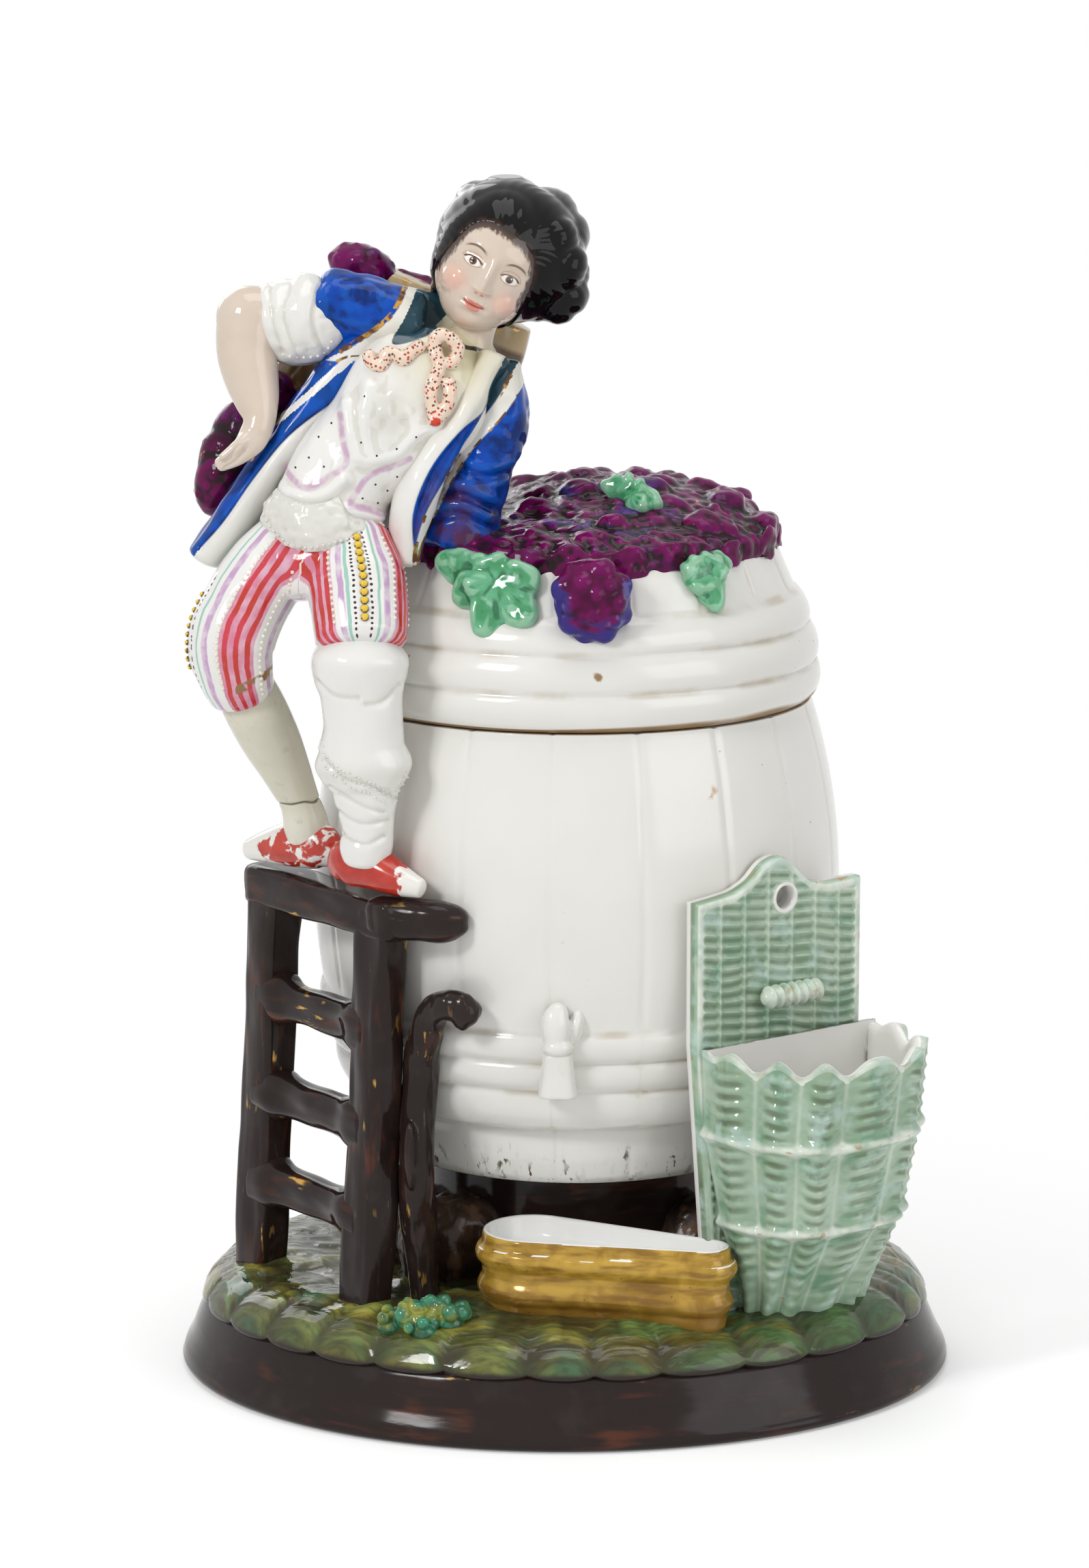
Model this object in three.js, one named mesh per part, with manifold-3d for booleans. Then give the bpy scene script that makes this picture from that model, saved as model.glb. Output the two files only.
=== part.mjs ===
// A glazed porcelain jar: a cooper's barrel on an oval base, whose lid carries a grape picker who
// stands on a short ladder. Beside the barrel are a wall pocket, a low oval tub and a propped branch.
// Millimetres, +Z up, +X to the right of the front view, +Y to the back.
// The origin is the middle of the base's foot ring, on the surface that the jar stands on.
import * as THREE from "three";
import { mergeVertices } from "three/addons/utils/BufferGeometryUtils.js";
import Module from "manifold-3d";

const wasm = await Module();
wasm.setup();

// Clearance between neighbours that are luted together, and round the loose lid.
const GAP = 0.3;
const LID_PLAY = 0.6;

// Oval base: half-axes of the foot and of the upper rim, heights, wall and foot ring.
const BASE_FOOT = [97.8, 81];
const BASE_RIM = [91.5, 75];
const BASE_RIM_Z = 17.5;
const BASE_WALL = 6;
const BASE_DECK = 5;
const BASE_BEAD = 2;
const GROUND_INSET = 1.5;
const GROUND_RISE = 11;
const GROUND_SHOULDER = 5;

// Barrel: a bellied body on a dark drum, its lid's three hoops and its lower three.
const BARREL_AT = [3, 12];
const DRUM_RADIUS = 39;
const DRUM_HEIGHT = 26.5;
const BARREL_HEIGHT = 115;
const BELLY_RADIUS = 66.5;
const BELLY_ABOVE_FOOT = 67;
const STAVE_ARC = 147;
const BARREL_WALL = 4.5;
const BARREL_FLOOR = 5;
const HOOP_PROUD = 1.7;
const LOWER_HOOPS = [16, 26.2, 33.8, 41.6];

// Lid: hoops as heights above the seam and radii in the grooves, a stave ring that tapers to the
// top, a roof, and the flange that drops into the barrel's mouth.
const LID_HOOPS = [0.6, 9.4, 18.8, 27.2];
const LID_GROOVES = [59.3, 59.8, 58, 54.6];
const LID_HEIGHT = 39;
const LID_TOP_RADIUS = 49.7;
const LID_WALL = 4.5;
const LID_ROOF = 4;
const LID_RECESS = 1.2;
const FLANGE_DEPTH = 6;
const FLANGE_WALL = 3.6;

// Heap of grapes on the lid.
const HEAP_RADIUS = 51.5;
const HEAP_HEIGHT = 17.6;
const HEAP_SHIFT = 9;
const HEAP_SHAPE = { lump: 1.1, waves: 7, segments: 21 };
const BUNCH_RADII = [10, 7.5, 10.8];

// Tap low on the barrel's front.
const TAP_X = -2;
const TAP_SPOUT_Z = [82, 94];
const TAP_SPOUT_HALF = [4.9, 4];
const TAP_KEY_HALF = [3.4, 3.2, 6.4];
const TAP_STAND_OFF = 5;

// Ladder: feet of the two stiles, section, rungs and the beam on top, which carries the figure.
const SOLE_BELOW_SEAM = 40;
const STILE_LEFT_FOOT = [-77.3, -5];
const STILE_RIGHT_FOOT = [-49.3, -41.5];
const STILE_LEAN = [5, -2.5];
const STILE_HALF = [6.5, 5.2];
const BEAM_HALF = [5.6, 5.4];
const RUNG_HALF = [4.4, 5.6];
const RUNGS_BELOW_BEAM = [34, 58.6, 81.8];
const LUG_HALF = 4.9;
const BRANCH_HALF = 3.9;

// Wall pocket, on a plane that is tangent to the belly.
const POCKET_NORMAL_DEG = -53;
const PLATE_THICK = 4.4;
const PLATE_SHIFT = 8;
const PLATE_HALF = 26;
const PLATE_TOP = 130;
const PLATE_PEAK = 8.5;
const HANG_HOLE_RADIUS = 2.6;
const HANG_HOLE_BELOW_PEAK = 10.5;
const CUP_RIM_Z = 94.5;
const CUP_WALL = 3;
const CUP_FLOOR = 5;
const CUP_FLUTES = 9;
const CUP_FLUTE_DEPTH = 0.8;
const CUP_SCALLOP = 1.5;
const CUP_SQUARENESS = 2.7;
const BAR_RADIUS = 2.5;
const BAR_LENGTH = 19;
const BAR_Z = 104.5;

// Low oval tub: a big round end, a small one and a straight run between.
const TUB_BIG = [-8, -42.5, 13];
const TUB_SMALL = [34, -57.5, 6.5];
const TUB_HEIGHT = 17;
const TUB_WALL = 2.6;
const TUB_FLOOR = 3.5;
const TUB_BAND = 1.1;

// Berries on the ground.
const BERRY_RADIUS = 3.4;

const GROUND_Z = BASE_RIM_Z + GROUND_RISE;
const BARREL_Z = GROUND_Z + DRUM_HEIGHT;
const SEAM_Z = BARREL_Z + BARREL_HEIGHT;
const BELLY_Z = BARREL_Z + BELLY_ABOVE_FOOT;
const SOLE_Z = SEAM_Z - SOLE_BELOW_SEAM;
const BEAM_TOP = SOLE_Z - GAP;
const FIGURE_Z = SOLE_Z - 2;

// Finishes of the fired porcelain.
const paint = (colour, roughness = 0.18, metalness = 0) =>
  new THREE.MeshStandardMaterial({ color: new THREE.Color(...colour), roughness, metalness });
const glaze = {
  white: paint([0.87, 0.86, 0.83]),
  brownBlack: paint([0.045, 0.025, 0.02]),
  ground: paint([0.16, 0.15, 0.04]),
  greenBerry: paint([0.03, 0.2, 0.12]),
  rock: paint([0.06, 0.035, 0.028], 0.35),
  celadon: paint([0.36, 0.6, 0.5]),
  ochre: paint([0.46, 0.25, 0.05]),
  grape: paint([0.13, 0.01, 0.09]),
  leaf: paint([0.16, 0.45, 0.27]),
  cobalt: paint([0.01, 0.04, 0.38]),
  skin: paint([0.86, 0.75, 0.66]),
  hair: paint([0.01, 0.01, 0.01], 0.12),
  dotted: paint([0.85, 0.5, 0.42]),
  striped: paint([0.75, 0.35, 0.4]),
  redShoe: paint([0.55, 0.04, 0.02], 0.4),
  wicker: paint([0.42, 0.29, 0.1], 0.3),
  cream: paint([0.72, 0.7, 0.6]),
};

// A closed geometry as a solid, turned the right way out.
function solidFrom(geometry) {
  const bare = geometry.clone();
  bare.deleteAttribute("normal");
  bare.deleteAttribute("uv");
  const merged = mergeVertices(bare, 1e-4);
  const triVerts = new Uint32Array(merged.index.array);
  const vertProperties = new Float32Array(merged.attributes.position.array);
  const make = () => new wasm.Manifold(new wasm.Mesh({ numProp: 3, vertProperties, triVerts }));
  const first = make();
  if (first.volume() > 0) return first;
  for (let i = 0; i < triVerts.length; i += 3) {
    [triVerts[i + 1], triVerts[i + 2]] = [triVerts[i + 2], triVerts[i + 1]];
  }
  return make();
}

const join = (...solids) => solids.reduce((a, b) => a.add(b));

// The largest body of a cut solid, which drops the slivers that a cut leaves behind.
function mainBody(solid) {
  const bodies = solid.decompose();
  return bodies.reduce((a, b) => (a.volume() > b.volume() ? a : b));
}

// A shape at its own size, cleared of its neighbours by the gap. Shapes are functions of growth.
const clearOf = (shape, ...neighbours) =>
  mainBody(neighbours.reduce((left, n) => left.subtract(n(GAP)), shape(0)));

// Rings of points, all of one count, as a closed skin with a fan at each end.
function skin(rings) {
  const n = rings[0].length;
  const points = rings.flat();
  const middle = (ring) =>
    ring.reduce((sum, p) => sum.add(p), new THREE.Vector3()).divideScalar(n);
  points.push(middle(rings[0]), middle(rings.at(-1)));
  const faces = [];
  for (let k = 0; k < n; k++) {
    const next = (k + 1) % n;
    for (let i = 0; i + 1 < rings.length; i++) {
      const a = i * n + k;
      const b = i * n + next;
      faces.push(a, b, b + n, a, b + n, a + n);
    }
    const last = (rings.length - 1) * n;
    faces.push(points.length - 2, next, k);
    faces.push(points.length - 1, last + k, last + next);
  }
  const geometry = new THREE.BufferGeometry().setFromPoints(points);
  geometry.setIndex(faces);
  return solidFrom(geometry);
}

// A point of a superellipse: power 2 is an ellipse, higher powers are squarer.
function squareRound(angle, power) {
  const c = Math.cos(angle);
  const s = Math.sin(angle);
  return [
    Math.sign(c) * Math.abs(c) ** (2 / power),
    Math.sign(s) * Math.abs(s) ** (2 / power),
  ];
}

// A limb: sections across a path. A station is [x, y, z, half across, half deep].
function limb(stations, { grow = 0, sides = 10, power = 2, across = [1, 0, 0] } = {}) {
  const points = stations.map((s) => new THREE.Vector3(s[0], s[1], s[2]));
  const last = points.length - 1;
  const tangent = (i) =>
    points[Math.min(i + 1, last)].clone().sub(points[Math.max(i - 1, 0)]).normalize();
  const ring = (i, shift) => {
    const t = tangent(i);
    const a = new THREE.Vector3(...across);
    a.addScaledVector(t, -a.dot(t)).normalize();
    const d = new THREE.Vector3().crossVectors(t, a);
    const centre = points[i].clone().addScaledVector(t, shift);
    return Array.from({ length: sides }, (_, k) => {
      const [c, s] = squareRound((2 * Math.PI * (k + 0.5)) / sides, power);
      return centre
        .clone()
        .addScaledVector(a, c * (stations[i][3] + grow))
        .addScaledVector(d, s * (stations[i][4] + grow));
    });
  };
  return skin(points.map((_, i) => ring(i, i === 0 ? -grow : i === last ? grow : 0)));
}

// An ellipsoid, tilted about the view axis and lumpy if asked.
function blob([x, y, z], radii, { grow = 0, tilt = 0, lump = 0, waves = 6, segments = 11 } = {}) {
  const geometry = new THREE.SphereGeometry(1, segments, Math.max(6, segments * 0.6));
  geometry.rotateX(Math.PI / 2);
  const at = geometry.attributes.position;
  for (let i = 0; i < at.count; i++) {
    const p = new THREE.Vector3().fromBufferAttribute(at, i);
    const around = Math.atan2(p.y, p.x);
    const swell = lump * Math.sin(waves * around + 2 * p.z) * Math.cos(waves * p.z) * (1 - p.z ** 4);
    const radius = (axis) => radii[axis] + grow + swell;
    at.setXYZ(i, p.x * radius(0), p.y * radius(1), p.z * radius(2));
  }
  geometry.rotateY(THREE.MathUtils.degToRad(tilt));
  geometry.translate(x, y, z);
  return solidFrom(geometry);
}

// A turned shape about the barrel's axis. The profile is [radius, height] and starts at the axis.
function turned(profile, segments = 32) {
  const geometry = new THREE.LatheGeometry(profile.map(([r, z]) => new THREE.Vector2(r, z)), segments);
  geometry.rotateX(Math.PI / 2);
  geometry.translate(BARREL_AT[0], BARREL_AT[1], 0);
  return solidFrom(geometry);
}

// An oval ring of the base, by its half-axes.
const oval = ([a, b], z, sides = 40) =>
  Array.from({ length: sides }, (_, k) => {
    const angle = (2 * Math.PI * k) / sides;
    return new THREE.Vector3(a * Math.cos(angle), b * Math.sin(angle), z);
  });
const inset = ([a, b], by) => [a - by, b - by];

// Radius of the barrel's staves at a height: one arc from chime to chime.
const staveRadius = (z) => BELLY_RADIUS - (z - BELLY_Z) ** 2 / (2 * STAVE_ARC);

// Profile of hoops that stand one on the next: a groove, then a rounded crest, and so on.
const hoops = (heights, radii, from) =>
  heights.flatMap((low, i) => {
    const groove = [[radii[i], from + low]];
    if (i + 1 === heights.length) return groove;
    const tall = heights[i + 1] - low;
    const crest = [[0.16, 0.75], [0.5, 1], [0.84, 0.75]].map(([t, swell]) => [
      radii[i] + (radii[i + 1] - radii[i]) * t + HOOP_PROUD * swell,
      from + low + tall * t,
    ]);
    return [...groove, ...crest];
  });

// Base and ground.
function basePlinth() {
  const rings = [
    oval(inset(BASE_FOOT, BASE_WALL), 0),
    oval(BASE_FOOT, 0),
    oval(BASE_FOOT, BASE_BEAD),
    oval(inset(BASE_FOOT, BASE_BEAD), BASE_BEAD * 2),
    oval(BASE_RIM, BASE_RIM_Z - 1),
    oval(inset(BASE_RIM, 1), BASE_RIM_Z),
  ];
  const outside = skin([oval(inset(BASE_FOOT, 0), 0), ...rings.slice(2)]);
  const hollow = skin([
    oval(inset(BASE_FOOT, BASE_WALL), -1),
    oval(inset(BASE_RIM, BASE_WALL), BASE_RIM_Z - BASE_DECK),
  ]);
  return outside.subtract(hollow);
}

// The ground rises steeply behind the rim and then domes gently.
function ground(grow) {
  const size = inset(BASE_RIM, GROUND_INSET);
  const steps = [
    [0, GAP - grow],
    [0, 2],
    [2.4, 7],
    [GROUND_SHOULDER, 8.8],
    [GROUND_SHOULDER * 2.4, 9.8],
    [GROUND_SHOULDER * 6, GROUND_RISE],
  ];
  return skin(
    steps.map(([by, rise], i) => oval(inset(size, by - grow), BASE_RIM_Z + rise + (i > 1 ? grow : 0))),
  );
}

const drum = (grow) => {
  const r = DRUM_RADIUS + grow;
  const low = GROUND_Z - 4 - grow;
  const high = BARREL_Z - GAP + grow;
  return turned([[0, low], [r + 1, low], [r + 1, GROUND_Z + 4], [r, high - 3], [r, high], [0, high]], 32);
};

// Barrel body and lid.
function barrelBody(grow) {
  const foot = BARREL_Z - grow;
  const mouth = SEAM_Z - GAP + grow;
  const outside = [
    [0, foot],
    [staveRadius(foot) - 1.5, foot],
    [staveRadius(foot) + grow, foot + 1.5],
    ...hoops(LOWER_HOOPS, LOWER_HOOPS.map((h) => staveRadius(BARREL_Z + h)), BARREL_Z).map(
      ([r, z]) => [r + grow, z],
    ),
    ...[0.3, 0.6, 0.82].map((t) => {
      const from = BARREL_Z + LOWER_HOOPS.at(-1);
      const z = from + (mouth - from) * t;
      return [staveRadius(z) + grow, z];
    }),
    [staveRadius(mouth) + grow, mouth],
  ];
  if (grow > 0) return turned([...outside, [0, mouth]]);
  const floor = BARREL_Z + BARREL_FLOOR;
  const inside = [0, 0.35, 0.7, 1].map((t) => {
    const z = mouth - (mouth - floor - 4) * t;
    return [staveRadius(z) - BARREL_WALL, z];
  });
  return turned([...outside, ...inside, [staveRadius(floor) - BARREL_WALL - 5, floor], [0, floor]]);
}

const LID_TOP = SEAM_Z + LID_HEIGHT;

function lidShell(grow) {
  const bands = hoops(LID_HOOPS, LID_GROOVES, SEAM_Z);
  const outside = [
    [0, LID_TOP - LID_RECESS + grow],
    [LID_TOP_RADIUS - 4, LID_TOP - LID_RECESS + grow],
    [LID_TOP_RADIUS - 2.5, LID_TOP + grow],
    [LID_TOP_RADIUS + grow, LID_TOP + grow],
    ...bands.map(([r, z]) => [r + grow, z]).reverse(),
    [staveRadius(SEAM_Z) + grow, SEAM_Z - grow],
  ];
  if (grow > 0) return turned([...outside, [0, SEAM_Z - grow]]);
  const flange = staveRadius(SEAM_Z) - BARREL_WALL - LID_PLAY;
  const inner = flange - FLANGE_WALL;
  const roof = LID_TOP - LID_RECESS - LID_ROOF;
  return turned([
    ...outside,
    [flange, SEAM_Z],
    [flange, SEAM_Z - FLANGE_DEPTH],
    [inner, SEAM_Z - FLANGE_DEPTH],
    [inner, SEAM_Z + FLANGE_DEPTH],
    [LID_TOP_RADIUS - LID_WALL * 1.4, roof - 3],
    [LID_TOP_RADIUS - LID_WALL * 2.2, roof],
    [0, roof],
  ]);
}

// Grapes and vine leaves on the lid. Heights are above the lid's top edge.
const onLid = (x, y, rise) => [BARREL_AT[0] + x, BARREL_AT[1] + y, LID_TOP + rise];
const heap = (grow) => {
  const level = LID_TOP - LID_RECESS - grow;
  const under = turned([[0, 100], [90, 100], [90, level], [0, level]], 6);
  return join(
    blob(onLid(0, 0, 1.5), [HEAP_RADIUS, HEAP_RADIUS, HEAP_HEIGHT * 0.55], { grow, ...HEAP_SHAPE }),
    blob(onLid(HEAP_SHIFT, 2, 0), [HEAP_RADIUS - HEAP_SHIFT - 1, 42, HEAP_HEIGHT], { grow, ...HEAP_SHAPE }),
  ).subtract(under);
};
const hangingBunch = (grow) => blob(onLid(3.5, -57, -7), BUNCH_RADII, { grow, lump: 0.5, segments: 14 });

// A vine leaf: a middle lobe and side lobes, flattened against the staves it lies on.
function vineLeaf(lobes, grow) {
  return join(...lobes.map(([x, y, rise, wide, high]) => blob(onLid(x, y, rise), [wide, 5, high], { grow, segments: 8 })));
}
const LEAF_LEFT_LOBES = [
  [-22, -54, -5.5, 10, 6],
  [-31, -49, -3.5, 6, 5],
  [-13, -56, -6.5, 6, 7],
  [-23, -56, -12, 6, 5.5],
  [-30, -51, -10, 5, 5],
];
const LEAF_RIGHT_LOBES = [
  [29.5, -47.5, -0.8, 6, 4.6],
  [33, -46, -5.5, 4.6, 6.6],
  [26, -50, -4.5, 3.2, 4.4],
];
const leafLeft = (grow) => vineLeaf(LEAF_LEFT_LOBES, grow);
const leafRight = (grow) => vineLeaf(LEAF_RIGHT_LOBES, grow);
const leafTop = (grow) =>
  join(
    blob(onLid(11, -20, 14), [6, 6, 3], { grow, segments: 9 }),
    blob(onLid(17, -19, 13.8), [6, 4.5, 3], { grow, segments: 9 }),
  );

// Tap.
const tapSpout = (grow) => {
  const front = BARREL_AT[1] - staveRadius(TAP_SPOUT_Z[0]) - TAP_STAND_OFF;
  const [low, high] = TAP_SPOUT_Z;
  const [wide, deep] = TAP_SPOUT_HALF;
  const upright = [[TAP_X, front, low, wide, deep], [TAP_X, front, high, wide - 1.2, deep]];
  const neck = [[TAP_X, front - 2, high - 4, 3.4, 3.2], [TAP_X, front + 9, high - 4, 3.8, 3.4]];
  return join(limb(upright, { grow, power: 3 }), limb(neck, { grow }));
};
const tapKey = (grow) => {
  const front = BARREL_AT[1] - staveRadius(TAP_SPOUT_Z[1]) - TAP_STAND_OFF + 1;
  const middle = TAP_SPOUT_Z[1] + TAP_KEY_HALF[2] - 0.6;
  const stem = [[TAP_X + 1, front, middle - 1, 3, 3], [TAP_X + 4.5, front + 10, middle - 2.5, 3.6, 4.4]];
  return join(blob([TAP_X, front, middle], TAP_KEY_HALF, { grow }), limb(stem, { grow }));
};

// Ladder, lug and branch.
const beamDirection = new THREE.Vector3(
  STILE_RIGHT_FOOT[0] - STILE_LEFT_FOOT[0],
  STILE_RIGHT_FOOT[1] - STILE_LEFT_FOOT[1],
  0,
).normalize();
const ladderFace = { across: beamDirection.toArray(), power: 5 };
const stileTop = ([x, y]) => [x + STILE_LEAN[0], y + STILE_LEAN[1]];
const between = (a, b, t) => a + (b - a) * t;
const stileAt = (foot, z) => {
  const t = (z - GROUND_Z) / (BEAM_TOP - GROUND_Z);
  const top = stileTop(foot);
  return [between(foot[0], top[0], t), between(foot[1], top[1], t), z];
};
const stile = (foot) => (grow) => {
  const low = GROUND_Z - 7;
  const high = BEAM_TOP - 2 * BEAM_HALF[1] - GAP + (grow > 0 ? 2 * GAP : 0);
  const section = STILE_HALF;
  return limb([[...stileAt(foot, low), ...section], [...stileAt(foot, high), ...section]], {
    grow,
    ...ladderFace,
  });
};
const stileLeft = stile(STILE_LEFT_FOOT);
const stileRight = stile(STILE_RIGHT_FOOT);
const beam = (grow) => {
  const z = BEAM_TOP - BEAM_HALF[1];
  const reach = STILE_HALF[0];
  const [lx, ly] = stileTop(STILE_LEFT_FOOT);
  const [rx, ry] = stileTop(STILE_RIGHT_FOOT);
  const [dx, dy] = beamDirection.toArray();
  const section = [BEAM_HALF[0], BEAM_HALF[1]];
  return limb(
    [[lx - dx * reach, ly - dy * reach, z, ...section], [rx + dx * reach, ry + dy * reach, z, ...section]],
    { grow, power: 5, across: [-dy, dx, 0] },
  );
};
const rung = (below) => (grow) => {
  const z = BEAM_TOP - below;
  const section = [RUNG_HALF[0], RUNG_HALF[1]];
  const [dx, dy] = beamDirection.toArray();
  return limb(
    [[...stileAt(STILE_LEFT_FOOT, z), ...section], [...stileAt(STILE_RIGHT_FOOT, z), ...section]],
    { grow, power: 3, across: [-dy, dx, 0] },
  );
};
const barrelFront = (x, z, off) => {
  const out = staveRadius(z) + off;
  return BARREL_AT[1] - Math.sqrt(out ** 2 - (x - BARREL_AT[0]) ** 2);
};
const lug = (grow) => {
  const z = BEAM_TOP - LUG_HALF;
  const [rx, ry] = stileTop(STILE_RIGHT_FOOT);
  return limb(
    [
      [rx - 1, ry - 1, z, LUG_HALF, LUG_HALF],
      [rx + 9, ry - 5, z - 0.3, LUG_HALF, LUG_HALF],
      [rx + 15, ry - 6, z - 0.8, LUG_HALF, LUG_HALF],
      [rx + 19, ry - 4.5, z - 1.2, LUG_HALF * 0.6, LUG_HALF * 0.8],
    ],
    { grow, power: 3, across: [0, 0, 1] },
  );
};
const branch = (grow) => {
  const foot = [-34.5, -40];
  const clear = BRANCH_HALF + 2;
  const up = (x, z) => [x, barrelFront(x, z, clear), z];
  return limb(
    [
      [foot[0], foot[1], GROUND_Z - 7, 3, BRANCH_HALF * 0.75],
      [foot[0] - 0.8, foot[1] - 1, GROUND_Z + 6, 3.1, BRANCH_HALF * 0.8],
      [foot[0] - 1.8, foot[1] - 2.5, GROUND_Z + 18, BRANCH_HALF, BRANCH_HALF * 0.95],
      [foot[0] - 2, foot[1] - 6, BARREL_Z + 8, BRANCH_HALF, BRANCH_HALF * 0.95],
      [...up(foot[0] - 1.2, BARREL_Z + 28), BRANCH_HALF, BRANCH_HALF * 1.05],
      [...up(foot[0] + 0.4, BARREL_Z + 40), BRANCH_HALF, BRANCH_HALF],
      [...up(foot[0] + 3.5, BARREL_Z + 48), BRANCH_HALF, BRANCH_HALF * 0.95],
      [...up(foot[0] + 8, BARREL_Z + 49.5), BRANCH_HALF, BRANCH_HALF * 0.95],
      [...up(foot[0] + 10.5, BARREL_Z + 47.5), BRANCH_HALF * 0.8, BRANCH_HALF * 0.8],
    ],
    { grow, sides: 10, across: [0, 1, 0] },
  );
};

// Wall pocket. Its own frame: s along the plate, d out from its face, z up.
const pocketNormal = new THREE.Vector3(1, 0, 0).applyAxisAngle(
  new THREE.Vector3(0, 0, 1),
  THREE.MathUtils.degToRad(POCKET_NORMAL_DEG),
);
const pocketAlong = new THREE.Vector3(-pocketNormal.y, pocketNormal.x, 0);
const plateFace = new THREE.Vector3(...BARREL_AT, 0)
  .addScaledVector(pocketNormal, BELLY_RADIUS + GAP + PLATE_THICK)
  .addScaledVector(pocketAlong, PLATE_SHIFT);
const pocketPoint = (s, d, z) =>
  plateFace
    .clone()
    .addScaledVector(pocketAlong, s)
    .addScaledVector(pocketNormal, d)
    .setZ(z);
// Half-width, depth and sideways drift of the cup at its heights.
const CUP_LEVELS = [
  [GROUND_Z - 5, 18, 9.5, 6],
  [GROUND_Z + 2, 19, 12.5, 6.3],
  [50, 23.5, 26, 4],
  [73, 26.8, 33, 2],
  [CUP_RIM_Z, 27.5, 36.5, 1.6],
];
function pocketPlate(grow) {
  const low = CUP_LEVELS[0];
  const side = (sign) => (z) => [sign * (PLATE_HALF - (z < CUP_RIM_Z ? (CUP_RIM_Z - z) / 12 : 0)), z];
  const outline = new THREE.Shape();
  outline.moveTo(...side(-1)(low[0]));
  outline.lineTo(...side(1)(low[0]));
  outline.lineTo(...side(1)(PLATE_TOP));
  outline.lineTo(15, PLATE_TOP + 0.5);
  outline.quadraticCurveTo(8, PLATE_TOP, 5, PLATE_TOP + PLATE_PEAK * 0.65);
  outline.quadraticCurveTo(2, PLATE_TOP + PLATE_PEAK, 0, PLATE_TOP + PLATE_PEAK);
  outline.quadraticCurveTo(-4, PLATE_TOP + PLATE_PEAK, -8, PLATE_TOP + PLATE_PEAK * 0.5);
  outline.quadraticCurveTo(-14, PLATE_TOP + 1, -PLATE_HALF, PLATE_TOP);
  if (grow === 0) {
    const holeZ = PLATE_TOP + PLATE_PEAK - HANG_HOLE_BELOW_PEAK;
    outline.holes.push(new THREE.Path().absarc(1.5, holeZ, HANG_HOLE_RADIUS, 0, 2 * Math.PI));
  }
  const geometry = new THREE.ExtrudeGeometry(outline, {
    depth: PLATE_THICK + 2 * grow,
    bevelEnabled: false,
    curveSegments: 5,
  });
  const frame = new THREE.Matrix4().makeBasis(pocketAlong, new THREE.Vector3(0, 0, 1), pocketNormal);
  geometry.translate(0, 0, -PLATE_THICK - grow).applyMatrix4(frame);
  geometry.translate(plateFace.x, plateFace.y, 0);
  return solidFrom(geometry);
}

// One D-shaped ring of the cup, straight at the back and fluted round the front.
function cupRing(z, half, deep, drift, off, scallop) {
  const steps = CUP_FLUTES * 2;
  return Array.from({ length: steps + 1 }, (_, k) => {
    const angle = (Math.PI * k) / steps;
    const [c, s] = squareRound(angle, CUP_SQUARENESS);
    const flute = Math.cos(Math.PI * k);
    const front = Math.sin(angle) > 0.05 ? 1 : 0;
    const swell = off - CUP_FLUTE_DEPTH * 0.5 * flute * front;
    const back = GAP + Math.max(-off, 0);
    return pocketPoint(
      drift + c * (half + swell),
      Math.max(back, s * (deep + swell)),
      z - (scallop * (1 + flute) * front) / 2,
    );
  });
}
function pocketCup(grow) {
  const levels = CUP_LEVELS.map(([z, half, deep, drift], i) =>
    cupRing(z, half, deep, drift, grow, i === CUP_LEVELS.length - 1 ? CUP_SCALLOP : 0));
  if (grow > 0) return skin(levels);
  const floor = GROUND_Z + CUP_FLOOR;
  const inside = CUP_LEVELS.slice(2).map(([z, half, deep, drift]) =>
    cupRing(z, half, deep, drift, -CUP_WALL, 0));
  const hollow = [
    cupRing(floor, CUP_LEVELS[1][1], CUP_LEVELS[1][2], CUP_LEVELS[1][3], -CUP_WALL - 1, 0),
    ...inside,
    cupRing(CUP_RIM_Z + 3, 28, 37, 1.6, -CUP_WALL, 0),
  ];
  return skin(levels).subtract(skin(hollow));
}
const pocketBar = (grow) => {
  const end = (s) => pocketPoint(s, BAR_RADIUS + GAP, BAR_Z).toArray();
  const reach = BAR_LENGTH / 2;
  return limb(
    [-1, -0.85, 0.85, 1].map((t) => {
      const r = Math.abs(t) === 1 ? BAR_RADIUS * 0.7 : BAR_RADIUS;
      return [...end(1.7 + reach * t), r, r];
    }),
    { grow, across: [0, 0, 1], sides: 10 },
  );
};

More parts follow.
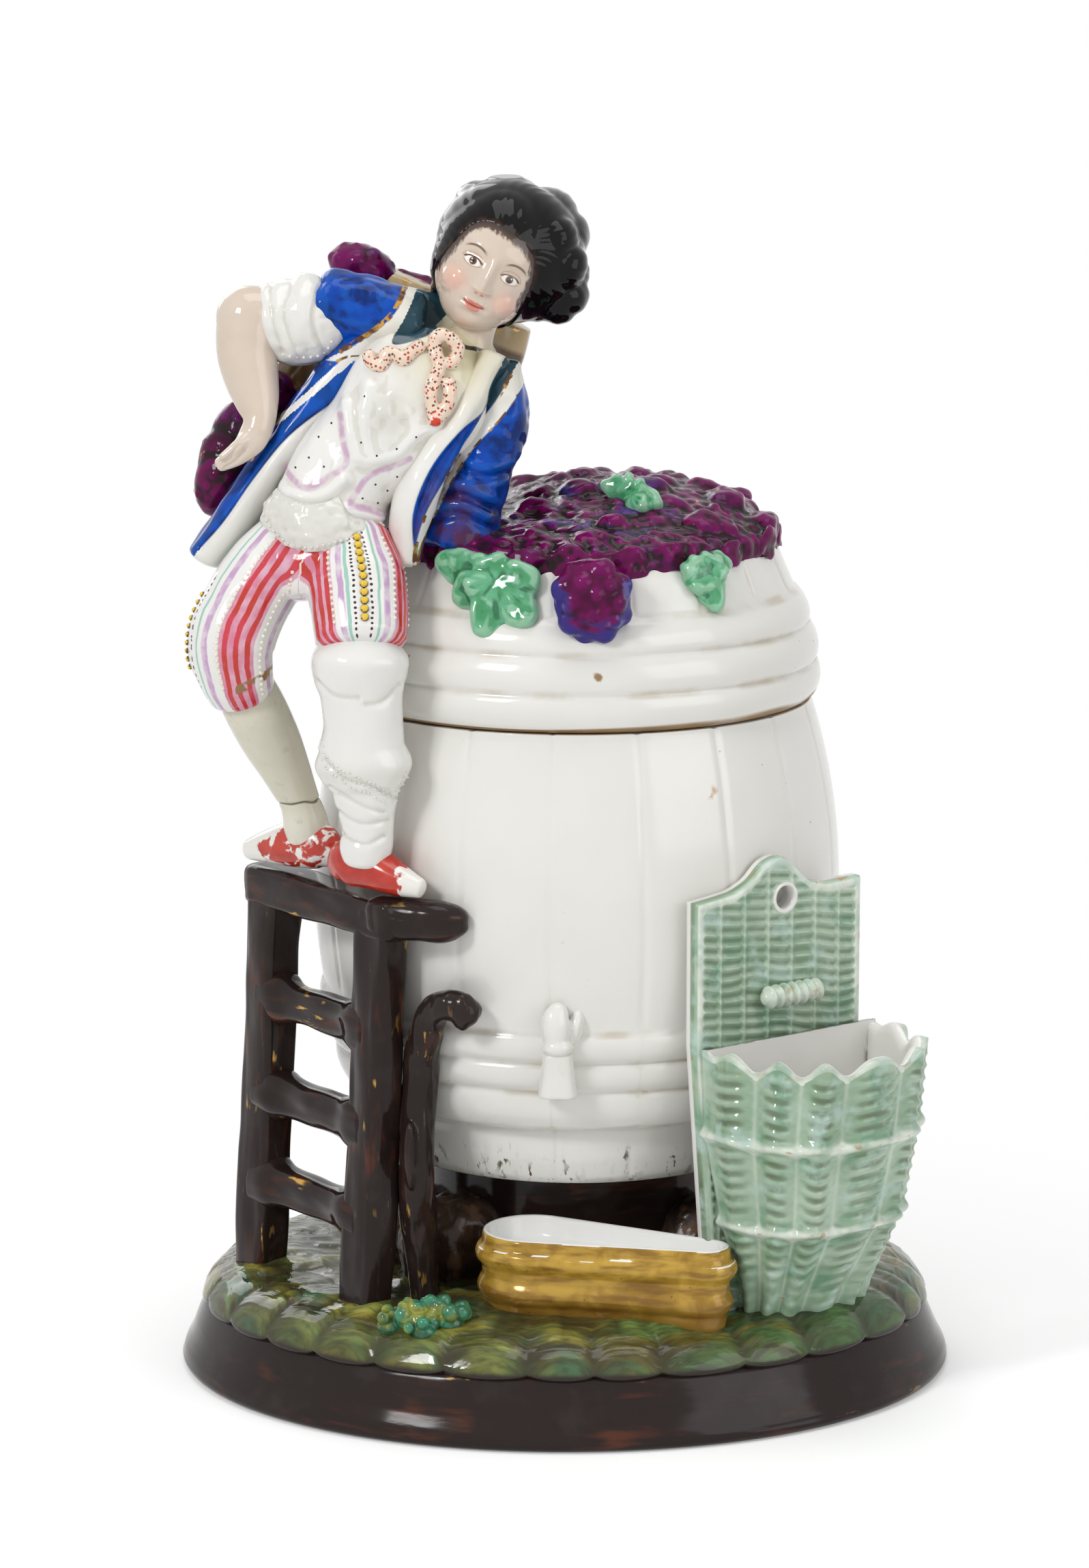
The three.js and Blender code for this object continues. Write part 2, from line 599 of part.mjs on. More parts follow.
// Tub: a ring round the two ends at an offset from the outline.
function tubRing(off, z) {
  const [bx, by, br] = TUB_BIG;
  const [sx, sy, sr] = TUB_SMALL;
  const span = Math.hypot(sx - bx, sy - by);
  const heading = Math.atan2(sy - by, sx - bx);
  const spread = Math.acos((br - sr) / span);
  const arc = (x, y, r, from, to) =>
    Array.from({ length: 10 }, (_, k) => {
      const angle = from + ((to - from) * k) / 9;
      return new THREE.Vector3(x + (r + off) * Math.cos(angle), y + (r + off) * Math.sin(angle), z);
    });
  return [
    ...arc(bx, by, br, heading + spread, heading + 2 * Math.PI - spread),
    ...arc(sx, sy, sr, heading - spread, heading + spread),
  ];
}
function ovalTub(grow) {
  const low = GROUND_Z - 4;
  const rim = GROUND_Z + TUB_HEIGHT;
  const wall = [
    [-1.2, low],
    [-0.6, GROUND_Z],
    [TUB_BAND * 0.6, GROUND_Z + 2],
    [TUB_BAND * 0.6, GROUND_Z + 4.4],
    [-TUB_BAND * 0.4, GROUND_Z + 5.8],
    [-TUB_BAND * 0.4, GROUND_Z + 8.6],
    [TUB_BAND, GROUND_Z + 10.4],
    [TUB_BAND, GROUND_Z + 12.6],
    [-0.6, rim],
  ].map(([off, z]) => tubRing(off + grow, z + (z === rim ? grow : 0)));
  if (grow > 0) return skin(wall);
  const hollow = skin([
    tubRing(-TUB_WALL - 1.6, GROUND_Z + TUB_FLOOR),
    tubRing(-TUB_WALL, rim - 3),
    tubRing(-TUB_WALL + 0.4, rim + 1),
  ]);
  return skin(wall).subtract(hollow);
}

// Rocks beside the drum, and berries.
const rockLeft = (grow) =>
  join(
    blob([-27, -18, GROUND_Z + 5], [16, 12, 15], { grow, tilt: 12 }),
    blob([-38, 2, GROUND_Z + 3], [12, 16, 12], { grow }),
  );
const rockRight = (grow) =>
  join(
    blob([34, -17, GROUND_Z + 5], [15, 11, 14], { grow, tilt: -12 }),
    blob([47, 4, GROUND_Z + 3], [12, 15, 12], { grow }),
  );
const berries = (grow) => {
  const places = [[-43, -58, 1.4], [-38.5, -59.5, 3.4], [-34.5, -62.5, 1.4], [-33, -58, 4], [-28, -60, 2.8]];
  return join(...places.map(([x, y, rise]) =>
    blob([x, y, GROUND_Z - 3 + rise], [BERRY_RADIUS, BERRY_RADIUS, BERRY_RADIUS], { grow, segments: 7 })));
};

// The figure. Stations are given from the barrel's axis and from a level just under the soles.
const figure = (stations) =>
  stations.map(([x, y, z, ...rest]) => [BARREL_AT[0] + x, BARREL_AT[1] + y, FIGURE_Z + z, ...rest]);
const LEAN = [0.77, 0, -0.64];
const TORSO = figure([
  [-62, -37, 89, 11, 9],
  [-57, -34, 101, 12.8, 10.5],
  [-48, -32, 110, 15.5, 12],
  [-39, -30, 120, 17.5, 12],
  [-32, -28, 127, 15, 10.5],
  [-27.5, -26, 132, 7, 6],
]);
const torso = (grow) => limb(TORSO, { grow, across: LEAN, sides: 14 });
const HEAD_TILT = 28;
const HEAD_AT = figure([[-20.5, -25, 152.5]])[0];
const HEAD_HALF = [13.6, 14.5, 17];
const NECK = figure([[-27, -26, 127, 7, 6.4], [-26, -26, 134, 5.4, 5.2], [-23.5, -25, 142, 5.6, 5.4]]);
const head = (grow) => {
  const tilted = (x, y, z) => {
    const turn = THREE.MathUtils.degToRad(HEAD_TILT);
    return [
      HEAD_AT[0] + x * Math.cos(turn) + z * Math.sin(turn),
      HEAD_AT[1] + y,
      HEAD_AT[2] - x * Math.sin(turn) + z * Math.cos(turn),
    ];
  };
  return join(
    blob(HEAD_AT, HEAD_HALF, { grow, tilt: HEAD_TILT, segments: 16 }),
    blob(tilted(0, -4, -8.5), [9.5, 9.5, 9], { grow, tilt: HEAD_TILT }),
    blob(tilted(0, -15, -2.5), [1.9, 1.6, 3], { grow, tilt: HEAD_TILT, segments: 10 }),
    limb(NECK, { grow }),
  );
};
const HAIR_AT = figure([[-16.5, -19.5, 154.5]])[0];
const HAIR_HALF = [19.4, 17.5, 17.6];
const hair = (grow) => {
  const cap = blob(HAIR_AT, HAIR_HALF, { grow, tilt: HEAD_TILT, segments: 16 });
  const curls = join(
    blob(figure([[-3.8, -24, 142]])[0], [6.6, 8, 6.6], { grow }),
    blob(figure([[-31, -22, 146]])[0], [4.4, 7, 9], { grow, tilt: 10 }),
  );
  const face = limb(figure([[-21.5, -80, 147, 12, 15], [-21.5, -30, 147, 12, 15]]), { across: [0.88, 0, -0.47] });
  return grow > 0 ? join(cap, curls) : join(cap, curls).subtract(face);
};
const kerchief = (grow) =>
  join(
    limb(figure([[-46, -36, 128, 2.6, 3], [-41, -40, 131, 3, 3], [-36, -42, 130, 2.6, 3], [-31, -41, 133, 3.2, 3], [-27, -38, 135, 3, 3]]), { grow, across: [0, 0, 1], sides: 8 }),
    limb(figure([[-29, -40, 134, 3.2, 3], [-31, -43, 124, 3.4, 3], [-34, -44, 115, 4, 3]]), { grow, sides: 8 }),
  );
const coat = (grow) =>
  join(
    limb(figure([
      [-25, -18, 135, 9, 5.5],
      [-33, -18, 129, 21, 7],
      [-43, -20, 116, 19, 7],
      [-58, -24, 99, 16.5, 7],
      [-72, -25, 80, 19, 6],
    ]), { grow, across: LEAN, sides: 14 }),
    limb(figure([
      [-46, -24, 142, 5, 7],
      [-55, -25, 129, 5.4, 8],
      [-66, -27, 116, 5.2, 8],
      [-78, -30, 100, 5, 7],
      [-89, -31, 85, 5, 5],
    ]), { grow, across: LEAN, sides: 10 }),
    limb(figure([
      [-21, -29, 129, 4.5, 8],
      [-28, -34, 116, 4.2, 8],
      [-35, -38, 104, 4, 7],
      [-39, -40, 93, 3.6, 6],
      [-40.5, -41, 80, 2.6, 4],
    ]), { grow, across: LEAN, sides: 10 }),
  );
const sleeveRight = (grow) =>
  limb(figure([[-40, -26, 137, 8, 8], [-50, -26, 140, 8.3, 8.5], [-56, -25, 141.3, 8.6, 8.6], [-61, -24, 142, 8.6, 8.6]]), {
    grow,
    across: [0, 0, 1],
  });
const rolledSleeve = (grow) =>
  limb(figure([
    [-59.5, -24, 140, 8.4, 8.4],
    [-62.5, -24, 139.3, 10.4, 10],
    [-68, -24, 138.2, 11.5, 11],
    [-73, -24, 139.3, 10.2, 10],
    [-77, -24, 141, 7.4, 7.6],
  ]), { grow, across: [0, 0, 1] });
const armRight = (grow) =>
  join(
    limb(figure([[-69, -24, 139.5, 7.6, 7.6], [-74.5, -24, 139.3, 7.8, 7.8], [-80, -25, 137.5, 6.8, 7]]), {
      grow,
      across: [0, 0, 1],
    }),
    blob(figure([[-80.4, -25.4, 136]])[0], [7.9, 7.8, 7.9], { grow }),
    limb(figure([
      [-80.4, -25.5, 137, 6, 6],
      [-80.6, -27, 130.7, 7.3, 7.2],
      [-79.5, -29, 124.7, 6.8, 6.6],
      [-78, -32, 118.7, 5.4, 5.2],
      [-77.4, -34, 114.8, 4, 4.2],
      [-78.2, -35.5, 111.5, 3.6, 3.6],
    ]), { grow }),
    limb(figure([[-77.6, -34, 114, 3.6, 3.8], [-78.9, -36, 110.7, 3.7, 3], [-82.3, -37, 107, 2.6, 2.4], [-87.4, -38, 104, 1.1, 1.4]]), { grow, sides: 10 }),
    limb(figure([[-79.5, -37, 111.5, 1.8, 1.8], [-82, -39, 109.5, 1.5, 1.6], [-86.5, -40, 106.2, 0.9, 1]]), { grow, sides: 8 }),
  );
const sleeveLeft = (grow) =>
  limb(figure([
    [-17, -27, 128, 3, 5],
    [-18.5, -27.5, 122, 6.4, 8],
    [-19.5, -28, 113, 7.4, 8.6],
    [-24, -30, 102, 8.2, 8.8],
    [-28, -31, 91, 9, 9],
    [-30, -32, 84, 9.2, 9],
  ]), { grow });
const sash = (grow) =>
  limb(figure([[-58, -36, 98, 10, 9], [-60, -38, 93.5, 14.6, 12], [-61.5, -40, 88, 15.6, 13], [-62, -40, 84, 12.5, 11]]), { grow, across: [0.95, 0, -0.3] });
const breeches = (grow) =>
  join(
    limb(figure([[-62, -39, 87, 12, 10], [-62, -40, 81, 15.5, 12], [-61, -41, 76, 13, 11]]), { grow }),
    limb(figure([
      [-70, -38, 88, 7, 8],
      [-75, -39, 80, 9.6, 10],
      [-81.5, -41, 69, 10.6, 10.4],
      [-84.5, -42.5, 60, 10.8, 10],
      [-83.5, -42, 54, 9.6, 9],
      [-82, -40, 49, 8.2, 8],
    ]), { grow }),
    limb(figure([
      [-55, -42, 88, 9, 8],
      [-54, -46, 79, 12, 10.4],
      [-53, -51, 71, 11.8, 10.6],
      [-52.5, -55, 64, 11.2, 10.4],
    ]), { grow }),
  );
const stockingRight = (grow) =>
  limb(figure([[-82.5, -39.5, 52, 7.2, 7], [-79, -37, 44, 7.6, 7.6], [-75, -34, 35, 7.2, 7.2], [-71, -32, 26, 5.8, 6], [-68.5, -31, 19.5, 5, 5.2], [-67, -31, 13, 5.6, 5.6], [-66.8, -31, 10, 5, 5]]), { grow });
const shoeRight = (grow) =>
  limb(figure([
    [-59.5, -35, 7, 2.4, 3.6],
    [-62.5, -33, 8.6, 4.8, 5.6],
    [-70, -28, 8.4, 5, 5.8],
    [-77, -22.5, 6.6, 4, 4.2],
    [-82, -18.5, 5, 2.4, 2.6],
  ]), { grow, across: [0.7, 0.7, 0] }).subtract(belowSole(grow));
const bootLeft = (grow) =>
  join(
    limb(figure([
      [-52.5, -55, 64, 9, 8],
      [-52.6, -55, 60.5, 11.6, 10.4],
      [-52.6, -55, 56, 11.6, 10],
      [-52.3, -55, 51, 10, 9],
      [-52, -55, 43, 9.8, 9],
      [-52.3, -55, 37, 10.6, 9.4],
    ]), { grow }),
    limb(figure([[-52.3, -55, 38.5, 10.2, 9.2], [-52, -55, 34, 11.8, 9.8], [-51.8, -55, 29.5, 10, 9.2]]), { grow, across: [0.97, 0, -0.25] }),
    limb(figure([[-51.8, -55, 32, 9, 8.6], [-51.4, -55, 26, 8, 7.8], [-51.2, -55, 18, 6.4, 6.8], [-51.4, -55, 13, 6.4, 6.6], [-51.5, -55, 10, 5.6, 6]]), { grow }),
  );
const shoeLeft = (grow) =>
  limb(figure([
    [-59, -49, 7, 3, 3.6],
    [-56.5, -50.5, 8.6, 5.2, 5.6],
    [-50, -54.5, 8.2, 5.4, 5.4],
    [-43.5, -59, 6, 4, 4],
    [-38, -62.5, 4.6, 2.2, 2.4],
  ]), { grow, across: [0.7, 0.7, 0] }).subtract(belowSole(grow));

// Everything under the soles, so that a shoe's underside is flat.
function belowSole(grow) {
  const box = new THREE.BoxGeometry(80, 90, 20);
  box.translate(-60, -30, SOLE_Z - 10 - grow);
  return solidFrom(box);
}

// Carrying basket on the back, with its grapes.
const BASKET_ACROSS = [0.88, 0, -0.48];
const BASKET = figure([
  [-53.5, -3, 102, 15.5, 8.5],
  [-48, -3, 112, 17, 9],
  [-40, -3, 127, 19.5, 10],
  [-32, -3, 141.5, 21.5, 10.5],
]);
const basket = (grow) => limb(BASKET, { grow, across: BASKET_ACROSS, power: 3, sides: 16 });
const basketGrapes = (grow) =>
  join(
    blob(figure([[-54.5, -4, 150.3]])[0], [8.5, 6.5, 5.4], { grow, lump: 0.4, tilt: 20 }),
    blob(figure([[-48, -4, 150]])[0], [5, 5.5, 3.4], { grow, tilt: 28, segments: 8 }),
    blob(figure([[-33.2, -3, 139.2]])[0], [20, 9, 5.4], { grow, lump: 0.4, tilt: 28 }),
  );
const lowerBunch = (grow) =>
  join(
    blob(figure([[-82, -15, 110]])[0], [8, 7, 9], { grow, lump: 0.5, tilt: 30 }),
    blob(figure([[-88, -19, 99]])[0], [7, 6.5, 10], { grow, lump: 0.5, tilt: 15 }),
    blob(figure([[-76, -10, 117]])[0], [8, 7, 6], { grow, lump: 0.4, tilt: 30 }),
  );

// The finished pieces: what each is, its glaze, and the neighbours that it is cleared of.
const stand = {
  base_plinth: [basePlinth(), glaze.brownBlack],
  ground_mound: [ground(0), glaze.ground],
  barrel_pedestal: [clearOf(drum, ground), glaze.brownBlack],
  barrel_body: [barrelBody(0), glaze.white],
  tap_spout: [clearOf(tapSpout, barrelBody, tapKey), glaze.white],
  tap_key: [clearOf(tapKey, barrelBody), glaze.white],
  ladder_stile_left: [clearOf(stileLeft, ground), glaze.brownBlack],
  ladder_stile_right: [clearOf(stileRight, ground, barrelBody), glaze.brownBlack],
  ladder_top_beam: [clearOf(beam, barrelBody), glaze.brownBlack],
  ladder_lug: [clearOf(lug, beam, stileRight, barrelBody), glaze.brownBlack],
  prop_branch: [clearOf(branch, ground, barrelBody, stileRight), glaze.brownBlack],
  pocket_back_plate: [clearOf(pocketPlate, ground, barrelBody, drum, ovalTub), glaze.celadon],
  pocket_cup: [clearOf(pocketCup, ground), glaze.celadon],
  pocket_bar: [clearOf(pocketBar, pocketPlate), glaze.celadon],
  oval_tub: [clearOf(ovalTub, ground), glaze.ochre],
  rock_mound_left: [clearOf(rockLeft, ground, drum, barrelBody, stileRight, branch, ovalTub), glaze.rock],
  rock_mound_right: [clearOf(rockRight, ground, drum, barrelBody, pocketPlate, pocketCup, ovalTub), glaze.rock],
  green_berries: [clearOf(berries, ground, ovalTub), glaze.greenBerry],
};
RUNGS_BELOW_BEAM.forEach((below, i) => {
  const made = clearOf(rung(below), stileLeft, stileRight);
  stand["ladder_rung_" + (i + 1)] = [made, glaze.brownBlack];
});

const lidParts = [lidShell, heap];
const cover = {
  lid_shell: [lidShell(0), glaze.white],
  grape_heap: [clearOf(heap, lidShell), glaze.grape],
  hanging_bunch: [clearOf(hangingBunch, ...lidParts), glaze.grape],
  leaf_left: [clearOf(leafLeft, ...lidParts, hangingBunch), glaze.leaf],
  leaf_right: [clearOf(leafRight, ...lidParts), glaze.leaf],
  leaf_top: [clearOf(leafTop, heap), glaze.leaf],
  waistcoat: [clearOf(torso, ...lidParts), glaze.white],
  head: [clearOf(head, torso), glaze.skin],
  hair: [clearOf(hair, head, torso), glaze.hair],
  neckerchief: [clearOf(kerchief, torso, head, hair), glaze.dotted],
  coat: [clearOf(coat, torso, head, hair, kerchief, ...lidParts), glaze.cobalt],
  sleeve_left: [clearOf(sleeveLeft, torso, coat, head, hair, ...lidParts), glaze.cobalt],
  sleeve_right: [clearOf(sleeveRight, torso, coat, head, hair), glaze.cobalt],
  rolled_sleeve: [clearOf(rolledSleeve, sleeveRight, coat, torso), glaze.white],
  arm_right: [clearOf(armRight, rolledSleeve, coat), glaze.skin],
  sash: [clearOf(sash, torso, coat), glaze.white],
  breeches: [clearOf(breeches, sash, torso, coat, sleeveLeft, ...lidParts), glaze.striped],
  stocking_right: [clearOf(stockingRight, breeches), glaze.cream],
  shoe_right: [clearOf(shoeRight, stockingRight), glaze.redShoe],
  boot_left: [clearOf(bootLeft, breeches, ...lidParts, barrelBody, stockingRight), glaze.white],
  shoe_left: [clearOf(shoeLeft, bootLeft, shoeRight, barrelBody), glaze.redShoe],
  basket: [clearOf(basket, torso, coat, head, hair, sleeveRight, rolledSleeve, heap), glaze.wicker],
  basket_grapes: [clearOf(basketGrapes, basket, head, hair, coat, sleeveRight, rolledSleeve), glaze.grape],
  lower_bunch: [clearOf(lowerBunch, basket, coat, armRight, rolledSleeve, breeches, sash), glaze.grape],
};

function meshOf(name, [solid, material]) {
  const { numProp, vertProperties, triVerts } = solid.getMesh();
  const geometry = new THREE.BufferGeometry();
  const places = new Float32Array((vertProperties.length / numProp) * 3);
  for (let i = 0; i < places.length / 3; i++) {
    places.set(vertProperties.subarray(i * numProp, i * numProp + 3), i * 3);
  }
  geometry.setAttribute("position", new THREE.BufferAttribute(places, 3));
  geometry.setIndex(new THREE.BufferAttribute(new Uint32Array(triVerts), 1));
  geometry.computeVertexNormals();
  const mesh = new THREE.Mesh(geometry, material);
  mesh.name = name;
  return mesh;
}

const group = new THREE.Group();
for (const half of [stand, cover]) {
  const side = new THREE.Group();
  Object.entries(half).forEach(([name, made]) => side.add(meshOf(name, made)));
  group.add(side);
}
export default group;
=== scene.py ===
# %% [markdown]
# A lidded porcelain jar: a cooper's barrel with a grape picker on its lid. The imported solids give
# every place and size, and this script dresses them. Each piece is shaped in code, given one of the
# glazes, and set on the half of the jar that it is fired to, so that it moves with the lid or stays.

# %% Load the frame
import math

import bpy
import numpy as np
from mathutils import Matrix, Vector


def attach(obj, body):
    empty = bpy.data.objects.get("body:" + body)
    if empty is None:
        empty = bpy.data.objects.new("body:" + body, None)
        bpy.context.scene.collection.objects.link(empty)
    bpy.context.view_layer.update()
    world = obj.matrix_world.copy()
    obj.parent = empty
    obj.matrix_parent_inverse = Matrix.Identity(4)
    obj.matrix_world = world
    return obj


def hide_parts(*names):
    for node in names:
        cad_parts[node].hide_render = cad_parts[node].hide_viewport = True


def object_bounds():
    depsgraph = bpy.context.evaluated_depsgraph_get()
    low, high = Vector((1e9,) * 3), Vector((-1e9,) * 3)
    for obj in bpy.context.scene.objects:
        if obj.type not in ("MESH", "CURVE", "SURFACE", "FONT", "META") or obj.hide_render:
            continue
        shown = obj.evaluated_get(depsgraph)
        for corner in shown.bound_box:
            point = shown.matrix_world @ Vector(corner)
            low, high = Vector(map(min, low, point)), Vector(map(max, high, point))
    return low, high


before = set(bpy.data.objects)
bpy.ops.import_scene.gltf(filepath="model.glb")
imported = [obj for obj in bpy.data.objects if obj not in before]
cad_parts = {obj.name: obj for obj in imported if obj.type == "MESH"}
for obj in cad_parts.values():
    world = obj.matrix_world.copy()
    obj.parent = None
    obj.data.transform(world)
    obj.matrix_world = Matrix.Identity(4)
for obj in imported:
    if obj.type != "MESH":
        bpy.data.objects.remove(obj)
CAD_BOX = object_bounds()

# %% [markdown]
# Porcelain is modelled wet, so its forms run into each other. The simplest way to get that in Blender
# is to think like the modeller: roll limbs and balls of clay, press them together, and smooth the
# joins. A limb is a row of oval sections along a path, and a ball is an ellipsoid. Both are kept as
# plain points and faces in millimetres until they are pressed into one mesh.

# %% Paths and sections
MM = 0.001


def run_of(path):
    """How far along a path each of its points lies."""
    return np.r_[0, np.cumsum(np.linalg.norm(np.diff(path, axis=0), axis=1))]


def places_on(path, at):
    """The places on a path at the given lengths along it."""
    return np.stack([np.interp(at, run_of(path), column) for column in path.T], 1)


def eased(stations, steps):
    """A smooth row of sections through the given ones."""
    given = np.array(stations, float)
    along = run_of(given[:, :3])
    slope = np.gradient(given, along, axis=0)
    row = []
    for i, reach in enumerate(np.diff(along)):
        for t in np.linspace(0, 1, steps, endpoint=False):
            start = (2 * t**3 - 3 * t**2 + 1) * given[i] + (t**3 - 2 * t**2 + t) * reach * slope[i]
            end = (3 * t**2 - 2 * t**3) * given[i + 1] + (t**3 - t**2) * reach * slope[i + 1]
            row.append(start + end)
    return np.array(row + [given[-1]])


def bearings(path, across):
    """At each point of a path: the ways ahead, across and to the front."""
    across = np.array(across, float)
    heading = np.gradient(path, axis=0)
    heading /= np.linalg.norm(heading, axis=1, keepdims=True)
    side = across - heading * (heading @ across)[:, None]
    side /= np.linalg.norm(side, axis=1, keepdims=True)
    return heading, side, np.cross(heading, side)


def squared(angle, power):
    """Cosine and sine of a superellipse: power 2 is round, higher powers are squarer."""
    c, s = np.cos(angle), np.sin(angle)
    return np.sign(c) * abs(c) ** (2 / power), np.sign(s) * abs(s) ** (2 / power)


def tilted(x, z, degrees):
    """A front view turned clockwise."""
    c, s = math.cos(math.radians(degrees)), math.sin(math.radians(degrees))
    return x * c + z * s, z * c - x * s


# %% Limbs and balls of clay
def skin(rings):
    """Rings of equally many points as quads, with a fan over each end."""
    rings = np.asarray(rings, float)
    rows, n, _ = rings.shape
    faces = []
    for a in range(0, (rows - 1) * n, n):
        b = a + n
        faces += [(a + k, a + (k + 1) % n, b + (k + 1) % n, b + k) for k in range(n)]
    first, end = rows * n, (rows - 1) * n
    faces += [(first, (k + 1) % n, k) for k in range(n)]
    faces += [(first + 1, end + k, end + (k + 1) % n) for k in range(n)]
    return np.vstack([rings.reshape(-1, 3), rings[0].mean(0), rings[-1].mean(0)]), faces


def limb(stations, across=(1, 0, 0), power=2, sides=36, steps=6, dome=0.35):
    """A limb with domed ends. A station is x, y, z, half width across, half depth."""
    row = eased(stations, steps)
    path, wide, deep = row[:, :3], row[:, 3:4], row[:, 4:5]
    heading, side, front = bearings(path, across)
    c, s = squared(2 * np.pi * (np.arange(sides) + 0.5) / sides, power)

    def ring(i, shrink=1.0, ahead=0.0):
        section = np.outer(c, side[i] * wide[i]) + np.outer(s, front[i] * deep[i])
        return path[i] + heading[i] * ahead + shrink * section

    rings = [ring(i) for i in range(len(row))]
    for turn in (0.5, 1.0, 1.35):
        for end, way in ((0, -1), (len(row) - 1, 1)):
            bulge = way * dome * min(wide[end][0], deep[end][0]) * math.sin(turn)
            cap = ring(end, math.cos(turn), bulge)
            rings = [cap] + rings if end == 0 else rings + [cap]
    return skin(rings)


def ball(centre, radii, tilt=0, sides=28):
    """An ellipsoid, tilted about the front-to-back line."""
    angle = 2 * np.pi * np.arange(sides) / sides
    lift = np.linspace(-np.pi / 2, np.pi / 2, sides // 2 + 1)[1:-1, None]
    unit = [np.cos(lift) * np.cos(angle), np.cos(lift) * np.sin(angle), np.sin(lift) + 0 * angle]
    x, y, z = (way * radius for way, radius in zip(unit, radii))
    x, z = tilted(x, z, tilt)
    return skin(np.stack([x, y, z], -1) + np.array(centre, float))


def pressed(*clays):
    """Several lumps of clay as one list of points and faces."""
    points, faces, start = [], [], 0
    for spots, sides in clays:
        points.append(spots)
        faces += [tuple(i + start for i in face) for face in sides]
        start += len(spots)
    return np.vstack(points), faces


print("a test ball has", len(ball((0, 0, 0), (1, 1, 1))[1]), "faces")

# %% [markdown]
# To turn clay into a piece, its lumps are joined and Blender's voxel remesh draws one even skin round
# them, which works like a damp sponge: anything smaller than a voxel is lost. Finer marks, such as the
# grooves between staves, are then carved by moving each point along its normal. A smooth random
# grain does for the slight unevenness that every hand-pressed surface has.

# %% Press and smooth
def make_object(name, clay):
    points, faces = clay
    mesh = bpy.data.meshes.new(name)
    mesh.from_pydata((points * MM).tolist(), [], faces)
    mesh.validate()
    piece = bpy.data.objects.new(name, mesh)
    bpy.context.collection.objects.link(piece)
    return piece


def worked(piece, tool, **settings):
    """Runs one of Blender's modifiers over a piece and keeps the result as its mesh."""
    modifier = piece.modifiers.new("tool", tool)
    for key, value in settings.items():
        setattr(modifier, key, value)
    made = piece.evaluated_get(bpy.context.evaluated_depsgraph_get())
    mesh = bpy.data.meshes.new_from_object(made)
    piece.modifiers.clear()
    piece.data = mesh
    return piece


def sponge(piece, times, strength=0.5):
    return worked(piece, "SMOOTH", iterations=times, factor=strength)


def fuse(name, clay, voxel=0.5, soften=4):
    """One even skin round all the lumps. The voxel is in millimetres."""
    piece = worked(make_object(name, clay), "REMESH", mode="VOXEL", voxel_size=voxel * MM)
    return sponge(piece, soften)


# %% Carve and keep values
def rows_of(items, field):
    flat = np.empty(len(items) * 3, np.float32)
    items.foreach_get(field, flat)
    return flat.reshape(-1, 3).astype(float)


def spots_of(piece):
    """The piece's points in millimetres."""
    return rows_of(piece.data.vertices, "co") / MM


def normals_of(piece):
    return rows_of(piece.data.vertex_normals, "vector")


def put_spots(piece, spots):
    piece.data.vertices.foreach_set("co", (spots * MM).astype(np.float32).ravel())
    piece.data.update()


def carve(piece, rule):
    """Moves each point along its normal by rule(points, normals), in millimetres."""
    spots, normals = spots_of(piece), normals_of(piece)
    put_spots(piece, spots + normals * np.asarray(rule(spots, normals))[:, None])


def keep(piece, **values):
    """Stores one number per point under each name, for the glaze to read."""
    for name, numbers in values.items():
        layer = piece.data.attributes.new(name, "FLOAT", "POINT")
        row = np.zeros(len(piece.data.vertices), np.float32)
        row += np.asarray(numbers, np.float32)
        layer.data.foreach_set("value", row)


def grain(spots, size, seed=0):
    """Smooth noise from -1 to 1. The size is that of its lumps, one number or one per axis."""
    place = spots / np.array(size, float) + seed * 17.31
    cell = np.floor(place).astype(np.int64)
    part = place - cell
    part = part * part * (3 - 2 * part)
    total = np.zeros(len(spots))
    for corner in np.ndindex(2, 2, 2):
        at = cell + corner
        code = (at[:, 0] * 73856093) ^ (at[:, 1] * 19349663) ^ (at[:, 2] * 83492791)
        code = (code ^ (code >> 13)) * 1274126177 & 0x7FFFFFFF
        weight = np.prod(np.where(corner, part, 1 - part), axis=1)
        total += weight * (code % 20011 / 10005.5 - 1)
    return total


def hump(distance, width):
    """A soft ridge, 1 on its crest and 0 a few widths away."""
    return np.exp(-((distance / width) ** 2))


def fire(piece, node, body, glaze):
    """Finishes a piece: its glaze, the body that carries it and the node that it stands for."""
    piece.data.materials.clear()
    piece.data.materials.append(glaze.made)
    piece.data.polygons.foreach_set("use_smooth", [True] * len(piece.data.polygons))
    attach(piece, body)
    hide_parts(node)
    print(piece.name, len(piece.data.polygons), "faces")


# %% [markdown]
# A glaze is glass melted over coloured paint, so every finish here is one glossy Principled shader
# whose colour is laid on in coats: a ground colour, clouds, spots, and marks painted by hand. One
# small class keeps the node calls short. It measures places in millimetres on the object itself, so a
# pattern stays put when the camera or the lid moves.

# %% A recipe for glazes
def wired(tree, kind, inputs=(), **settings):
    """A new shader node. Its inputs, a list in order or a dictionary, are linked or set."""
    node = tree.nodes.new(kind)
    for key, value in settings.items():
        setattr(node, key, value)
    for key, value in inputs.items() if isinstance(inputs, dict) else enumerate(inputs):
        socket = node.inputs[key]
        if isinstance(value, bpy.types.NodeSocket):
            tree.links.new(value, socket)
        else:
            socket.default_value = (*value, 1) if socket.type == "RGBA" else value
    return node


